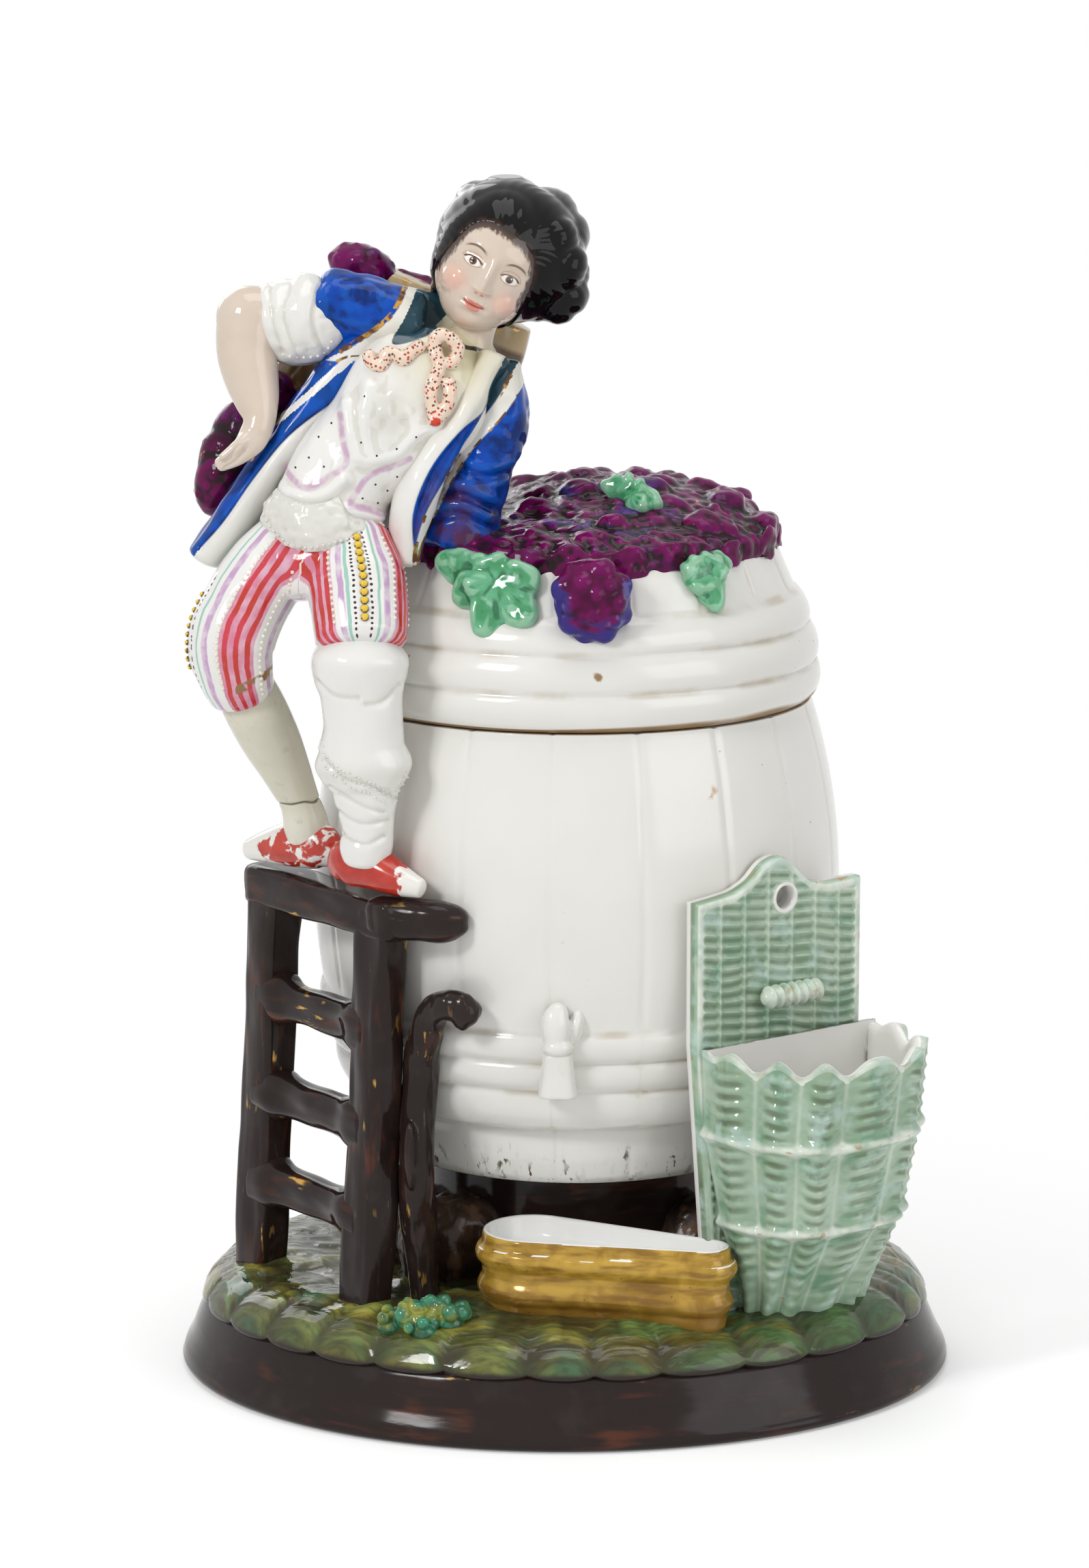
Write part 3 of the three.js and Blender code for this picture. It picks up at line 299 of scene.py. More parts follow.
class Glaze:
    def __init__(self, name, roughness=0.12, gloss=0.5, slot=None):
        self.slot = slot or name.replace(" ", "_")
        self.made = bpy.data.materials.new(name)
        self.made.use_nodes = True
        self.tree = self.made.node_tree
        self.shader = self.tree.nodes["Principled BSDF"]
        self.shader.inputs["Roughness"].default_value = roughness
        self.shader.inputs["Specular IOR Level"].default_value = gloss
        coords = self.add("ShaderNodeTexCoord").outputs["Object"]
        scaled = self.add("ShaderNodeVectorMath", {0: coords, "Scale": 1 / MM}, operation="SCALE")
        self.place = scaled.outputs[0]

    def add(self, kind, inputs=(), **settings):
        return wired(self.tree, kind, inputs, **settings)

    def math(self, operation, *values):
        return self.add("ShaderNodeMath", values, operation=operation).outputs[0]

    def stretched(self, stretch, shift=(0, 0, 0)):
        kept = {"Vector": self.place, "Scale": stretch, "Location": shift}
        return self.add("ShaderNodeMapping", kept).outputs[0]

    def cloud(self, size, detail=3, stretch=(1, 1, 1), seed=0, twist=0.0):
        """Soft noise from 0 to 1, with lumps of about the given size."""
        place = self.stretched(stretch, (seed * 37.1, seed * 11.7, seed * 5.3))
        kept = {"Vector": place, "Scale": 1 / size, "Detail": detail, "Distortion": twist}
        return self.add("ShaderNodeTexNoise", kept).outputs["Fac"]

    def cells(self, size, seed=0):
        """Distance to the nearest of many scattered points, in cells."""
        place = self.stretched((1, 1, 1), (seed * 3.7, seed * 9.1, seed))
        return self.add("ShaderNodeTexVoronoi", {"Vector": place, "Scale": 1 / size}).outputs["Distance"]

    def axis(self, index):
        return self.add("ShaderNodeSeparateXYZ", [self.place]).outputs[index]

    def value(self, name):
        return self.add("ShaderNodeAttribute", attribute_name=name).outputs["Fac"]

    def step(self, value, low, high, end=1.0, start=0.0):
        """A soft step: start below low, end above high."""
        kept = [value, low, high, start, end]
        return self.add("ShaderNodeMapRange", kept, interpolation_type="SMOOTHSTEP").outputs[0]

    def within(self, value, low, high):
        """The other way round: 1 below low, 0 above high."""
        return self.step(value, low, high, 0, 1)

    def patches(self, size, low, high, end=1.0, start=0.0, **kind):
        """A cloud sharpened into patches."""
        return self.step(self.cloud(size, **kind), low, high, end, start)

    def mark(self, name, low, high, end=1.0, start=0.0):
        """A soft step in one of the values that the points keep."""
        return self.step(self.value(name), low, high, end, start)

    def band(self, value, middle, half, soft):
        """1 within half of the middle, fading to 0 over soft."""
        away = self.math("ABSOLUTE", self.math("SUBTRACT", value, middle))
        return self.within(away, half, half + soft)

    def both(self, *masks):
        result = masks[0]
        for mask in masks[1:]:
            result = self.math("MULTIPLY", result, mask)
        return result

    def over(self, mask, under, paint):
        """Paint laid over a colour where the mask is 1."""
        return self.add("ShaderNodeMix", {0: mask, 6: under, 7: paint}, data_type="RGBA").outputs[2]

    def coat(self, paint, *masks):
        """Lays on the next coat, where all its masks are 1. The first coat has none."""
        self.colour = self.over(self.both(*masks), self.colour, paint) if masks else paint

    def done(self, roughness=None, height=None, depth=0.05, metal=None):
        """Joins the colour and, if given, roughness, metal and a fine bump to the shader."""
        if height is not None:
            height = self.add("ShaderNodeBump", {"Distance": depth * MM, "Height": height}).outputs[0]
        ends = {"Base Color": self.colour, "Roughness": roughness, "Metallic": metal, "Normal": height}
        for name, value in ends.items():
            if value is not None:
                self.tree.links.new(value, self.shader.inputs[name])
        return self


# %% [markdown]
# The camera stands in front and a little above, with a long lens so that the jar keeps its
# proportions. Four lamps are large and soft, and a small one gives the glaze its sparks.
# The camera and the gloss see a white room, while most of the light on the jar comes from the lamps.

# %% Camera
EYE = (-0.0052, -1.25, 0.397)
LOOK_DOWN = math.radians(11.25)
LENS_IN_FRAMES = 7453 / 2297
SENSOR = 36.0


def set_up(name, data, place, turn):
    item = bpy.data.objects.new(name, data)
    item.location = place
    item.rotation_euler = turn
    bpy.context.collection.objects.link(item)
    return item


camera_data = bpy.data.cameras.new("camera")
camera_data.sensor_width = SENSOR
camera_data.lens = SENSOR * LENS_IN_FRAMES
camera_data.clip_start = 0.05
bpy.context.scene.camera = set_up("camera", camera_data, EYE, (math.pi / 2 - LOOK_DOWN, 0, 0))
bpy.context.scene.view_settings.view_transform = "Standard"
print("camera at", EYE, "with a lens of", round(camera_data.lens, 1), "mm")

# %% Lamps
# Each lamp: its name, its place, and then its size and its power.
LAMPS = [
    ("key", (-0.75, -0.85, 0.85), 0.30, 6.1),
    ("spark", (-0.70, -0.95, 0.90), 0.05, 1.1),
    ("fill", (0.95, -0.75, 0.55), 0.8, 3.7),
    ("top", (0.05, -0.1, 1.15), 0.6, 2.7),
    ("rear", (-0.5, 0.95, 0.7), 0.7, 3.0),
]
AIM = (0, 0, 0.15)
for name, place, size, power in LAMPS:
    lamp_data = bpy.data.lights.new(name, "AREA")
    lamp_data.size = size
    lamp_data.energy = power
    x, y, z = np.array(AIM) - place
    set_up(name, lamp_data, place, (math.atan2(math.hypot(x, y), -z), 0, math.atan2(y, x) - math.pi / 2))
print(len(LAMPS), "lamps")

# %% White room and floor
WHITE_LIGHT = (1, 1, 1)
ROOM_LIGHT = 0.42
FLOOR_HALF = 3000
FLOOR_DROP = 0.2
PAPER = (0.93, 0.93, 0.93)
SHADOW_FADES = (0.10, 0.26)


def white_to_the_eye(tree, surface, seen_white):
    """Shows one shader to rays from the eye, gloss or glass, and keeps the surface otherwise."""
    path = tree.nodes.new("ShaderNodeLightPath")
    most = path.outputs["Is Camera Ray"]
    for name in ("Is Glossy Ray", "Is Transmission Ray"):
        most = wired(tree, "ShaderNodeMath", [most, path.outputs[name]], operation="MAXIMUM").outputs[0]
    return wired(tree, "ShaderNodeMixShader", [most, surface, seen_white]).outputs[0]


world = bpy.data.worlds.new("studio")
bpy.context.scene.world = world
world.use_nodes = True
room = world.node_tree
dim = room.nodes["Background"]
dim.inputs[0].default_value = (*WHITE_LIGHT, 1)
dim.inputs[1].default_value = ROOM_LIGHT
seen = wired(room, "ShaderNodeBackground", [WHITE_LIGHT])
room.links.new(white_to_the_eye(room, dim.outputs[0], seen.outputs[0]), room.nodes["World Output"].inputs[0])

corners = np.array([[-1, -1, 0], [1, -1, 0], [1, 1, 0], [-1, 1, 0]]) * FLOOR_HALF
floor = make_object("floor", (corners, [(0, 1, 2, 3)]))
floor.location.z = -FLOOR_DROP * MM
floor_paint = bpy.data.materials.new("pale floor")
floor_paint.use_nodes = True
floor_tree = floor_paint.node_tree
paper = floor_tree.nodes["Principled BSDF"]
paper.inputs["Base Color"].default_value = (*PAPER, 1)
paper.inputs["Roughness"].default_value = 0.9
paper.inputs["Specular IOR Level"].default_value = 0.0

# Near the jar the paper keeps its shadow, only lifted a little. Further out it is plain white.
faint, plain = (
    wired(floor_tree, "ShaderNodeEmission", {"Strength": power}).outputs[0] for power in (0.22, 1.0)
)
lifted = wired(floor_tree, "ShaderNodeAddShader", [paper.outputs[0], faint])
spot = floor_tree.nodes.new("ShaderNodeTexCoord").outputs["Object"]
reach = wired(floor_tree, "ShaderNodeVectorMath", [spot], operation="LENGTH").outputs["Value"]
far = wired(floor_tree, "ShaderNodeMapRange", [reach, *SHADOW_FADES], interpolation_type="SMOOTHSTEP")
seen_floor = wired(floor_tree, "ShaderNodeMixShader", [far.outputs[0], lifted.outputs[0], plain])
shown = white_to_the_eye(floor_tree, paper.outputs[0], seen_floor.outputs[0])
floor_tree.links.new(shown, floor_tree.nodes["Material Output"].inputs[0])
floor.data.materials.append(floor_paint)
print("a floor", 2 * FLOOR_HALF, "mm wide")

# %% [markdown]
# White porcelain is never one white. The glaze pools a little warmer and greyer in the grooves, dust
# and iron leave yellow stains there, and small brown pinholes show where it was touched. The same
# glaze covers the barrel, the lid and the tap, and reads how deep in a groove each point lies.

# %% White glaze
UPRIGHT = (1, 1, 0.35)
glaze = Glaze("white glaze", 0.13)
glaze.coat((0.80, 0.79, 0.755))
glaze.coat((0.71, 0.70, 0.655), glaze.cloud(28, 2))
stain = glaze.patches(14, 0.42, 0.72, detail=4, seed=3)
glaze.coat((0.45, 0.35, 0.21), glaze.mark("groove", 0.15, 0.9), stain, 0.55)
pinholes = glaze.within(glaze.cells(7.5, seed=5), 0.02, 0.055)
glaze.coat((0.16, 0.10, 0.055), pinholes, glaze.patches(30, 0.5, 0.62, detail=2, seed=8))
rust = glaze.patches(5, 0.66, 0.76, detail=5, seed=11)
glaze.coat((0.45, 0.25, 0.09), rust, glaze.patches(34, 0.6, 0.7, detail=2, seed=13))
specks = glaze.patches(1.5, 0.55, 0.60, detail=4, stretch=UPRIGHT, seed=17)
glaze.coat((0.085, 0.045, 0.022), glaze.value("foot"), specks)
brown = glaze.mark("brown", 0.35, 0.65)
glaze.coat(glaze.over(glaze.cloud(6), (0.40, 0.26, 0.12), (0.20, 0.11, 0.045)), brown)
WHITE = glaze.done(roughness=glaze.step(brown, 0, 1, 0.5, 0.13), height=glaze.cloud(3.5), depth=0.03)
print("mixed", WHITE.made.name)

# %% [markdown]
# The ladder, the branch, the drum and the base share one glaze: a brown so dark that it looks black,
# brushed on in streaks that show reddish where the brush ran dry. Gold was rubbed on after the firing
# and has worn off all but a few edges, so it is a broken mask of small metallic flecks.

# %% Brown-black glaze with worn gold
GOLD = (0.62, 0.36, 0.09)


def dark_glaze(way, streaks):
    """The dark glaze, with its brush strokes stretched by the given amounts."""
    glaze = Glaze("brown-black glaze, brushed " + way, gloss=0.19, slot="brown_black_glaze")
    glaze.coat((0.020, 0.0125, 0.011))
    streak = glaze.patches(3.2, 0.5, 0.72, detail=4, stretch=streaks, seed=2, twist=0.4)
    glaze.coat((0.085, 0.026, 0.014), streak, glaze.patches(19, 0.42, 0.62, detail=2, seed=6))
    glaze.coat((0.040, 0.030, 0.027), glaze.patches(11, 0.5, 0.75, 0.5, seed=7))
    fleck = glaze.patches(1.7, 0.6, 0.66, detail=4, stretch=streaks, seed=9)
    worn = glaze.both(
        fleck, glaze.patches(13, 0.55, 0.66, detail=2, seed=4), glaze.mark("edge", 0.3, 0.8), 0.99
    )
    glaze.coat(GOLD, worn)
    return glaze.done(metal=worn, height=glaze.cloud(4.5, 4, streaks), depth=0.12)


DARK_UPRIGHT = dark_glaze("upright", (1, 1, 0.16))
DARK_ROUND = dark_glaze("round", (0.16, 0.16, 1))
print("mixed", DARK_UPRIGHT.made.name, "and", DARK_ROUND.made.name)

# %% [markdown]
# The base is a flared oval slab with a rounded foot, open underneath like every fired base. A turned
# shape won't do, because it is oval, so the outline is a ring of points that shrinks by an even amount
# as it rises. Rings are set close together at the rim, where light catches the edge.

# %% Ovals and rounded profiles
def oval(middle, wide, deep, z, sides):
    """A level ring of points, given its middle and half its width and depth."""
    angle = 2 * np.pi * np.arange(sides) / sides
    return np.stack(
        [middle[0] + wide * np.cos(angle), middle[1] + deep * np.sin(angle), np.full(sides, z)], 1
    )


def curve_through(points, step):
    """Points along straight runs whose corners are rounded by about the given step."""
    points = np.array(points, float)
    row = [points[0]]
    for before, at, after in zip(points, points[1:], points[2:]):
        start = at + (before - at) * min(0.5, step / np.linalg.norm(at - before))
        end = at + (after - at) * min(0.5, step / np.linalg.norm(after - at))
        row += [(1 - t) ** 2 * start + 2 * t * (1 - t) * at + t**2 * end for t in (0, 0.25, 0.5, 0.75, 1)]
    return filled([*row, points[-1]], 1.6 * step)


def filled(row, gap):
    """The same points with more of them set between, about a gap apart."""
    spaced = [row[0]]
    for a, b in zip(row, row[1:]):
        count = max(1, int(np.linalg.norm(b - a) / gap))
        spaced += [a + (b - a) * (i + 1) / count for i in range(count)]
    return np.array(spaced)


# %% Base
BASE_FOOT = (97.8, 81.0)
BASE_RIM = (91.5, 75.0)
BASE_RIM_Z = 17.5
BASE_WALL = 6.0
MIDDLE = (0, 0)
slope_in = BASE_FOOT[0] - BASE_RIM[0]
# Each point: how far inside the foot's outline, and its height.
BASE_PROFILE = [
    (40, 12.5), (slope_in + BASE_WALL, 12.5), (BASE_WALL, 0), (1.2, 0), (0, 1.5), (0.6, 4.2), (2.6, 8),
]
BASE_PROFILE += [(slope_in - 0.3, BASE_RIM_Z - 1.4), (slope_in + 1.2, BASE_RIM_Z), (40, BASE_RIM_Z)]


def drawn_in(half, profile, step, sides):
    """An oval that is drawn in by a distance at each height of a profile."""
    return skin(
        [oval(MIDDLE, half[0] - by, half[1] - by, z, sides) for by, z in curve_through(profile, step)]
    )


base = make_object("base_plinth", drawn_in(BASE_FOOT, BASE_PROFILE, 0.9, 240))
carve(base, lambda p, n: 0.22 * grain(p, (16, 16, 6), 3) * (p[:, 2] > 2))
heights = spots_of(base)[:, 2]
keep(base, edge=hump(heights - BASE_RIM_Z + 0.6, 1.4) + 0.5 * hump(heights - 2, 1.5))
fire(base, "base_plinth", "stand", DARK_ROUND)

# %% [markdown]
# The ground is a low dome of leaves and earth pressed into wet clay and flooded with running glazes.
# A displaced height map is enough, since nothing overhangs. Overlapping leaves near the front edge
# are ribs that fan outwards, and the glaze is olive brown with yellow and emerald where it pooled.

# %% Ground
GROUND_Z = 28.5
GROUND_PROFILE = [
    (3, 15.8), (0.6, 16.4), (-0.5, 17.4), (-0.3, 19), (0.9, 21.2),
    (3.2, 23.4), (7, 25.4), (13, 27), (28, 28.4), (70, 28.6),
]
LEAVES_ROUND = 30
EVEN_RADIUS = 82


def on_ground(p):
    """Angle round the base, and how far in from its rim."""
    x, y = p[:, 0] / BASE_RIM[0], p[:, 1] / BASE_RIM[1]
    return np.arctan2(y, x), (1 - np.hypot(x, y)) * EVEN_RADIUS


def leaf_row(p, shift):
    """Place across one leaf of a row, from -1 to 1 between its two edges."""
    turns = on_ground(p)[0] / (2 * np.pi) * LEAVES_ROUND + shift + 0.35 * grain(p, (26, 26, 60), 4)
    return 2 * (turns - np.floor(turns)) - 1


def leaf_relief(p):
    """Two rows of overlapping leaves along the rim, then trodden earth."""
    inward = on_ground(p)[1]
    tips, back = leaf_row(p, 0), leaf_row(p, 0.5)
    front_row, back_row = ((0.75 + 0.45 * across) * (1 - abs(across) ** 5) for across in (tips, back))
    leaves = front_row * hump(inward - 3, 7) + 0.8 * back_row * hump(inward - 14, 7)
    veins = 0.12 * np.cos(3.2 * (inward + 2.5 * tips**2)) * hump(inward - 6, 10)
    lumps = 0.9 * grain(p, (9, 9, 40), 1) + 0.45 * grain(p, (3.5, 3.5, 20), 2)
    return 0.9 * leaves + veins + lumps * np.clip(inward / 12, 0.2, 1) - 0.7


ground = make_object("ground_mound", drawn_in(BASE_RIM, GROUND_PROFILE, 0.6, 720))
spots = spots_of(ground)
tip = (1 - leaf_row(spots, 0) ** 2) ** 0.5
overhang = np.clip((21 - spots[:, 2]) / 3.5, 0, 1)
lift = leaf_relief(spots)
lift = np.where(spots[:, 2] > 27.9, np.minimum(lift, 0.4), lift * 0.8)
spots[:, 2] += lift * (1 - overhang) - 1.5 * (tip - 0.6) * overhang
spots[:, :2] *= 1 + (0.011 * (tip - 0.4) * overhang)[:, None]
put_spots(ground, spots)
angle, inward = on_ground(spots)
keep(ground, relief=leaf_relief(spots), around=abs(angle) * 84, inward=inward + 2.5 * leaf_row(spots, 0) ** 2)
keep(ground, side=spots[:, 0] - 0.4 * spots[:, 1] - 20)
print("ground with", LEAVES_ROUND, "leaves round its edge and", len(spots), "points")

# %% Ground glaze
glaze = Glaze("ground glaze", 0.09, 0.35)
lip = glaze.within(glaze.axis(2), 17.2, 18.6)
# From here on the clouds are drawn out along the rim, as the brush went.
brushed = [glaze.value("around"), glaze.value("inward"), glaze.axis(0)]
brushed = [glaze.math("MULTIPLY", item, stretch) for item, stretch in zip(brushed, (0.22, 1, 0.1))]
glaze.place = glaze.add("ShaderNodeCombineXYZ", brushed).outputs[0]
right = glaze.mark("side", -30, 60)
glaze.coat((0.105, 0.085, 0.018))
glaze.coat((0.245, 0.210, 0.045), glaze.patches(5, 0.35, 0.6, detail=4, seed=1))
yellow = glaze.patches(6, 0.46, 0.62, detail=4, seed=5)
glaze.coat((0.420, 0.360, 0.060), yellow, glaze.step(right, 0, 1, 0.5, 0.9))
green = glaze.both(glaze.patches(7, 0.42, 0.58, seed=9, twist=0.5), glaze.step(right, 0, 1, 1, 0.45))
glaze.coat((0.075, 0.225, 0.070), green, 0.85)
glaze.coat((0.220, 0.410, 0.140), glaze.patches(4, 0.52, 0.66, seed=12), green, 0.8)
bluish = glaze.patches(6, 0.52, 0.64, seed=15)
glaze.coat((0.030, 0.150, 0.085), bluish, glaze.step(right, 0, 1, 0.5, 0.75))
glaze.coat((0.050, 0.042, 0.012), glaze.patches(0.9, 0.42, 0.66, 0.5, seed=18))
glaze.coat((0.060, 0.036, 0.016), glaze.patches(4, 0.52, 0.66, 0.8, detail=4, seed=21))
# Painted shade: near black in the hollows between the leaves and lumps.
glaze.coat((0.030, 0.028, 0.014), glaze.mark("relief", -0.7, 0.6, 0, 1), 0.8)
glaze.coat((0.022, 0.013, 0.010), lip)
fire(ground, "ground_mound", "stand", glaze.done(height=glaze.cloud(1.6), depth=0.12))

# %% [markdown]
# The barrel is turned: one profile spun about its axis, as on the jigger that forms such a pot. The
# belly is a single arc, and the hoops are three rounded rings. Grooves between the staves were drawn
# with a tool afterwards, so they are carved here as shallow furrows that stop short of each hoop.

# %% Turned shapes and staves
BARREL_AT = np.array([3.0, 12.0])
BARREL_Z = 55.0
SEAM_Z = 170.0
BELLY_Z = 122.0
BELLY_RADIUS = 66.5
STAVE_ARC = 147.0
STAVES = 18
STAVE_TURN = math.radians(4)
HOOP_PROUD = 1.7
TURN_SIDES = 576


def stave_radius(z):
    return BELLY_RADIUS - (z - BELLY_Z) ** 2 / (2 * STAVE_ARC)


def hoop_profile(heights, radii, start):
    """A groove and then a rounded crest for each hoop, ending in a groove."""
    row = []
    for low, high, r_low, r_high in zip(heights, heights[1:], radii, radii[1:]):
        for t in np.linspace(0, 1, 13)[:-1]:
            swell = HOOP_PROUD * math.sin(math.pi * t) ** 0.6
            row.append((r_low + (r_high - r_low) * t + swell, start + low + (high - low) * t))
    return row + [(radii[-1], start + heights[-1])]


def turned(profile, sides=TURN_SIDES):
    """A closed profile of radius and height, spun about the barrel's axis."""
    return skin([oval(BARREL_AT, r, r, z, sides) for r, z in profile])


def about_axis(p):
    """Angle and radius of points about the barrel's axis."""
    x, y = (p[:, :2] - BARREL_AT).T
    return np.arctan2(y, x), np.hypot(x, y)


def stave_groove(p, width=0.8):
    """1 in the middle of a groove between two staves."""
    angle, radius = about_axis(p)
    turns = (angle - STAVE_TURN) / (2 * np.pi) * STAVES
    away = (turns - np.round(turns)) / STAVES * 2 * np.pi * radius
    return hump(away + 0.35 * grain(p, (30, 30, 14), 5), width)


def hoop_grooves(height, at, width):
    return sum(hump(height - groove, width) for groove in at)


# %% Barrel
BARREL_WALL = 4.5
LOWER_HOOPS = np.array([16, 26.2, 33.8, 41.6])
BARREL_FOOT = [(0, 55), (47.5, 55), (49.6, 55.3), (51.4, 57.2), (52.7, 62), (53.8, 70)]
# Brown marks where the foot was held: x, z and size.
FOOT_MARKS = [
    (-32, 61, 1.5), (-22.5, 59, 1.3), (-15.4, 60, 1.6), (-8.5, 58.5, 0.9),
    (0.3, 56, 1.6), (14, 62.5, 0.8), (26.5, 59.5, 1.5), (32, 62, 1.2),
]
outside = curve_through(BARREL_FOOT, 0.8)
hoops = hoop_profile(LOWER_HOOPS, stave_radius(BARREL_Z + LOWER_HOOPS), BARREL_Z)
arc = [(stave_radius(z), z) for z in np.linspace(BARREL_Z + LOWER_HOOPS[-1], SEAM_Z - 1.1, 46)]
mouth = curve_through([arc[-1], (59.1, SEAM_Z - 0.3), (55, SEAM_Z - 0.3), (54.6, SEAM_Z - 2)], 0.5)
inside = [(stave_radius(z) - BARREL_WALL, z) for z in np.linspace(SEAM_Z - 3, 66, 24)]
bottom = curve_through([inside[-1], (46, 60.6), (40, 60), (0, 60)], 2)
barrel = make_object("barrel_body", turned([*outside, *hoops, *arc[1:], *mouth[1:], *inside, *bottom[1:]]))


def barrel_marks(p, n):
    height = p[:, 2]
    outer = about_axis(p)[1] > stave_radius(height) - 2.5
    plain = np.clip((height - 97.5) / 4, 0, 1) + np.clip((70 - height) / 3, 0, 1)
    furrow = stave_groove(p) * plain * (0.55 + 0.45 * grain(p, (40, 40, 25), 6))
    return outer * (0.16 * grain(p, (24, 24, 30), 7) - 0.5 * furrow)


carve(barrel, barrel_marks)
spots = spots_of(barrel)
height = spots[:, 2]
dust = 0.65 * stave_groove(spots, 0.7) * (0.6 + 0.4 * grain(spots, (9, 9, 22), 3))
marks = 0
ragged = 1 + 0.8 * grain(spots, 1.6, 8)
for x, z, size in FOOT_MARKS:
    marks = marks + hump(np.hypot(spots[:, 0] - x, 0.45 * (height - z)) * ragged, size) * (spots[:, 1] < 0)
foot = np.clip((64 - height) / 9, 0, 1) * (0.15 + 0.6 * stave_groove(spots, 2.2))
keep(barrel, groove=dust + hoop_grooves(height, BARREL_Z + LOWER_HOOPS, 1.0), foot=foot + 1.1 * marks)
keep(barrel, brown=0.7 * hump(height - SEAM_Z, 0.55) * (about_axis(spots)[1] > 56))
fire(barrel, "barrel_body", "stand", WHITE)

# %% [markdown]
# The lid is turned the same way and carries three hoops, a ring of stave ends that leans inwards, and
# below the seam a flange that drops into the barrel. Its lower edge was left bare where it stood in
# the kiln, and shows as a thin brown line.

# %% Lid
LID_HOOPS = np.array([0.6, 9.4, 18.8, 27.2])
LID_GROOVES = [59.3, 59.8, 58, 54.6]
LID_TOP = 209.0
LID_TOP_RADIUS = 49.7
FLANGE_GAP = 0.6
seam_radius = stave_radius(SEAM_Z) - 0.2
flange = stave_radius(SEAM_Z) - BARREL_WALL - FLANGE_GAP
CROWN = [
    (LID_GROOVES[-1], SEAM_Z + LID_HOOPS[-1]), (LID_TOP_RADIUS + 0.2, 207.6), (LID_TOP_RADIUS - 1.2, LID_TOP),
    (46.5, LID_TOP), (45, 207.8), (0, 207.8),
]
UNDER = [
    (0, 203.8), (40, 203.8), (43.5, 200.8), (48.6, 178), (flange - 3.6, 175), (flange - 3.6, 164.8),
    (flange - 1.8, 164), (flange, 165), (flange, SEAM_Z), (58.4, SEAM_Z), (seam_radius, SEAM_Z + 0.5),
]
hoops = hoop_profile(LID_HOOPS, LID_GROOVES, SEAM_Z)
lid = make_object("lid_shell", turned([*curve_through(UNDER, 0.7), *hoops, *curve_through(CROWN, 0.7)[1:]]))


def lid_marks(p, n):
    outer = (about_axis(p)[1] > 48) & (n[:, 2] > -0.7) & (p[:, 2] > 171)
    staves = np.clip((p[:, 2] - 197.6) / 1.5, 0, 1)
    return outer * (0.2 * grain(p, (22, 22, 12), 8) - 0.6 * staves * stave_groove(p))


carve(lid, lid_marks)
spots = spots_of(lid)
x, y, height = spots.T
gaps = hoop_grooves(height, SEAM_Z + LID_HOOPS[1:], 1.1)
wide = 1.0 + 0.022 * np.clip(x, -15, 50)
seam_stain = hump(height - SEAM_Z - 0.45 * wide, wide) * (0.8 + 0.4 * grain(spots, 14, 3))
rust_spot = hump(np.hypot((x - 7.6) * 0.8, height - 184) * (1 + 0.6 * grain(spots, 1.1, 7)), 1.2) * (y < 0)
keep(lid, brown=np.maximum(seam_stain * (about_axis(spots)[1] > 56), 0.8 * rust_spot))
keep(lid, groove=gaps + stave_groove(spots, 0.9) * (height > 198))
fire(lid, "lid_shell", "cover", WHITE)

# %% [markdown]
# The barrel rests on a dark drum between two mounds of rock. Both were built up by hand, so they are
# balls of clay pressed together and roughened with two sizes of grain, the coarse one for lumps and
# the fine one for tool marks. The drum is turned, because it was thrown.

# %% Drum and rocks
DRUM_RADIUS = 39.0
DRUM_PROFILE = [
    (0, 24), (DRUM_RADIUS + 3, 24), (DRUM_RADIUS + 1.4, 31), (DRUM_RADIUS, 38), (DRUM_RADIUS, 54.7),
    (0, 54.7),
]
ROCKS = {
    "rock_mound_left": [((-27, -18, 33.5), (16, 12, 15), 12), ((-38, 2, 31.5), (12, 16, 12), 0)],
    "rock_mound_right": [((34, -17, 33.5), (15, 11, 14), -12), ((47, 4, 31.5), (12, 15, 12), 0)],
}
drum = make_object("barrel_pedestal", turned(curve_through(DRUM_PROFILE, 1.2), 160))
carve(drum, lambda p, n: 0.5 * grain(p, (14, 14, 9), 2))
keep(drum, edge=0)
fire(drum, "barrel_pedestal", "stand", DARK_ROUND)

glaze = Glaze("rock glaze", 0.22, 0.25)
glaze.coat((0.022, 0.014, 0.011))
glaze.coat((0.066, 0.038, 0.026), glaze.patches(9, 0.35, 0.65, detail=4, seed=1))
glaze.coat((0.150, 0.082, 0.050), glaze.patches(4, 0.5, 0.66, 0.85, detail=4, stretch=(1, 1, 0.4), seed=4))
ROCK = glaze.done(height=glaze.cloud(3, 4), depth=0.25)
for name, lumps in ROCKS.items():
    rock = fuse(name, pressed(*[ball(*lump) for lump in lumps]), voxel=0.9, soften=6)
    carve(
        rock,
        lambda p, n: 1.2 * grain(p, 9, 1) + 0.9 * grain(p, (3.5, 3.5, 6), 2) + 0.35 * grain(p, 1.8, 6) - 0.9,
    )
    fire(rock, name, "stand", ROCK)

# %% [markdown]
# The tap is a squarish spout with a hollow end, and above it the key, a drop that leans on a bent
# stem. Both are pinched from clay and luted to the belly, so short limbs and balls are fused and kept
# soft. The bore of the spout is pushed in afterwards where the face looks down.

# %% Tap
TAP_X = -2.0
BORE_DEPTH = 3.0
spout_front = BARREL_AT[1] - stave_radius(82) - 5
key_front = BARREL_AT[1] - stave_radius(94) - 4
SPOUT = [
    [TAP_X, spout_front, z, wide, deep]
    for z, wide, deep in ((82, 4.9, 4), (87, 4.2, 3.9), (92.8, 3.7, 4))
]
SHANK = [[TAP_X, spout_front - 2, 90, 3.4, 3.2], [TAP_X, spout_front + 9, 90, 3.8, 3.4]]
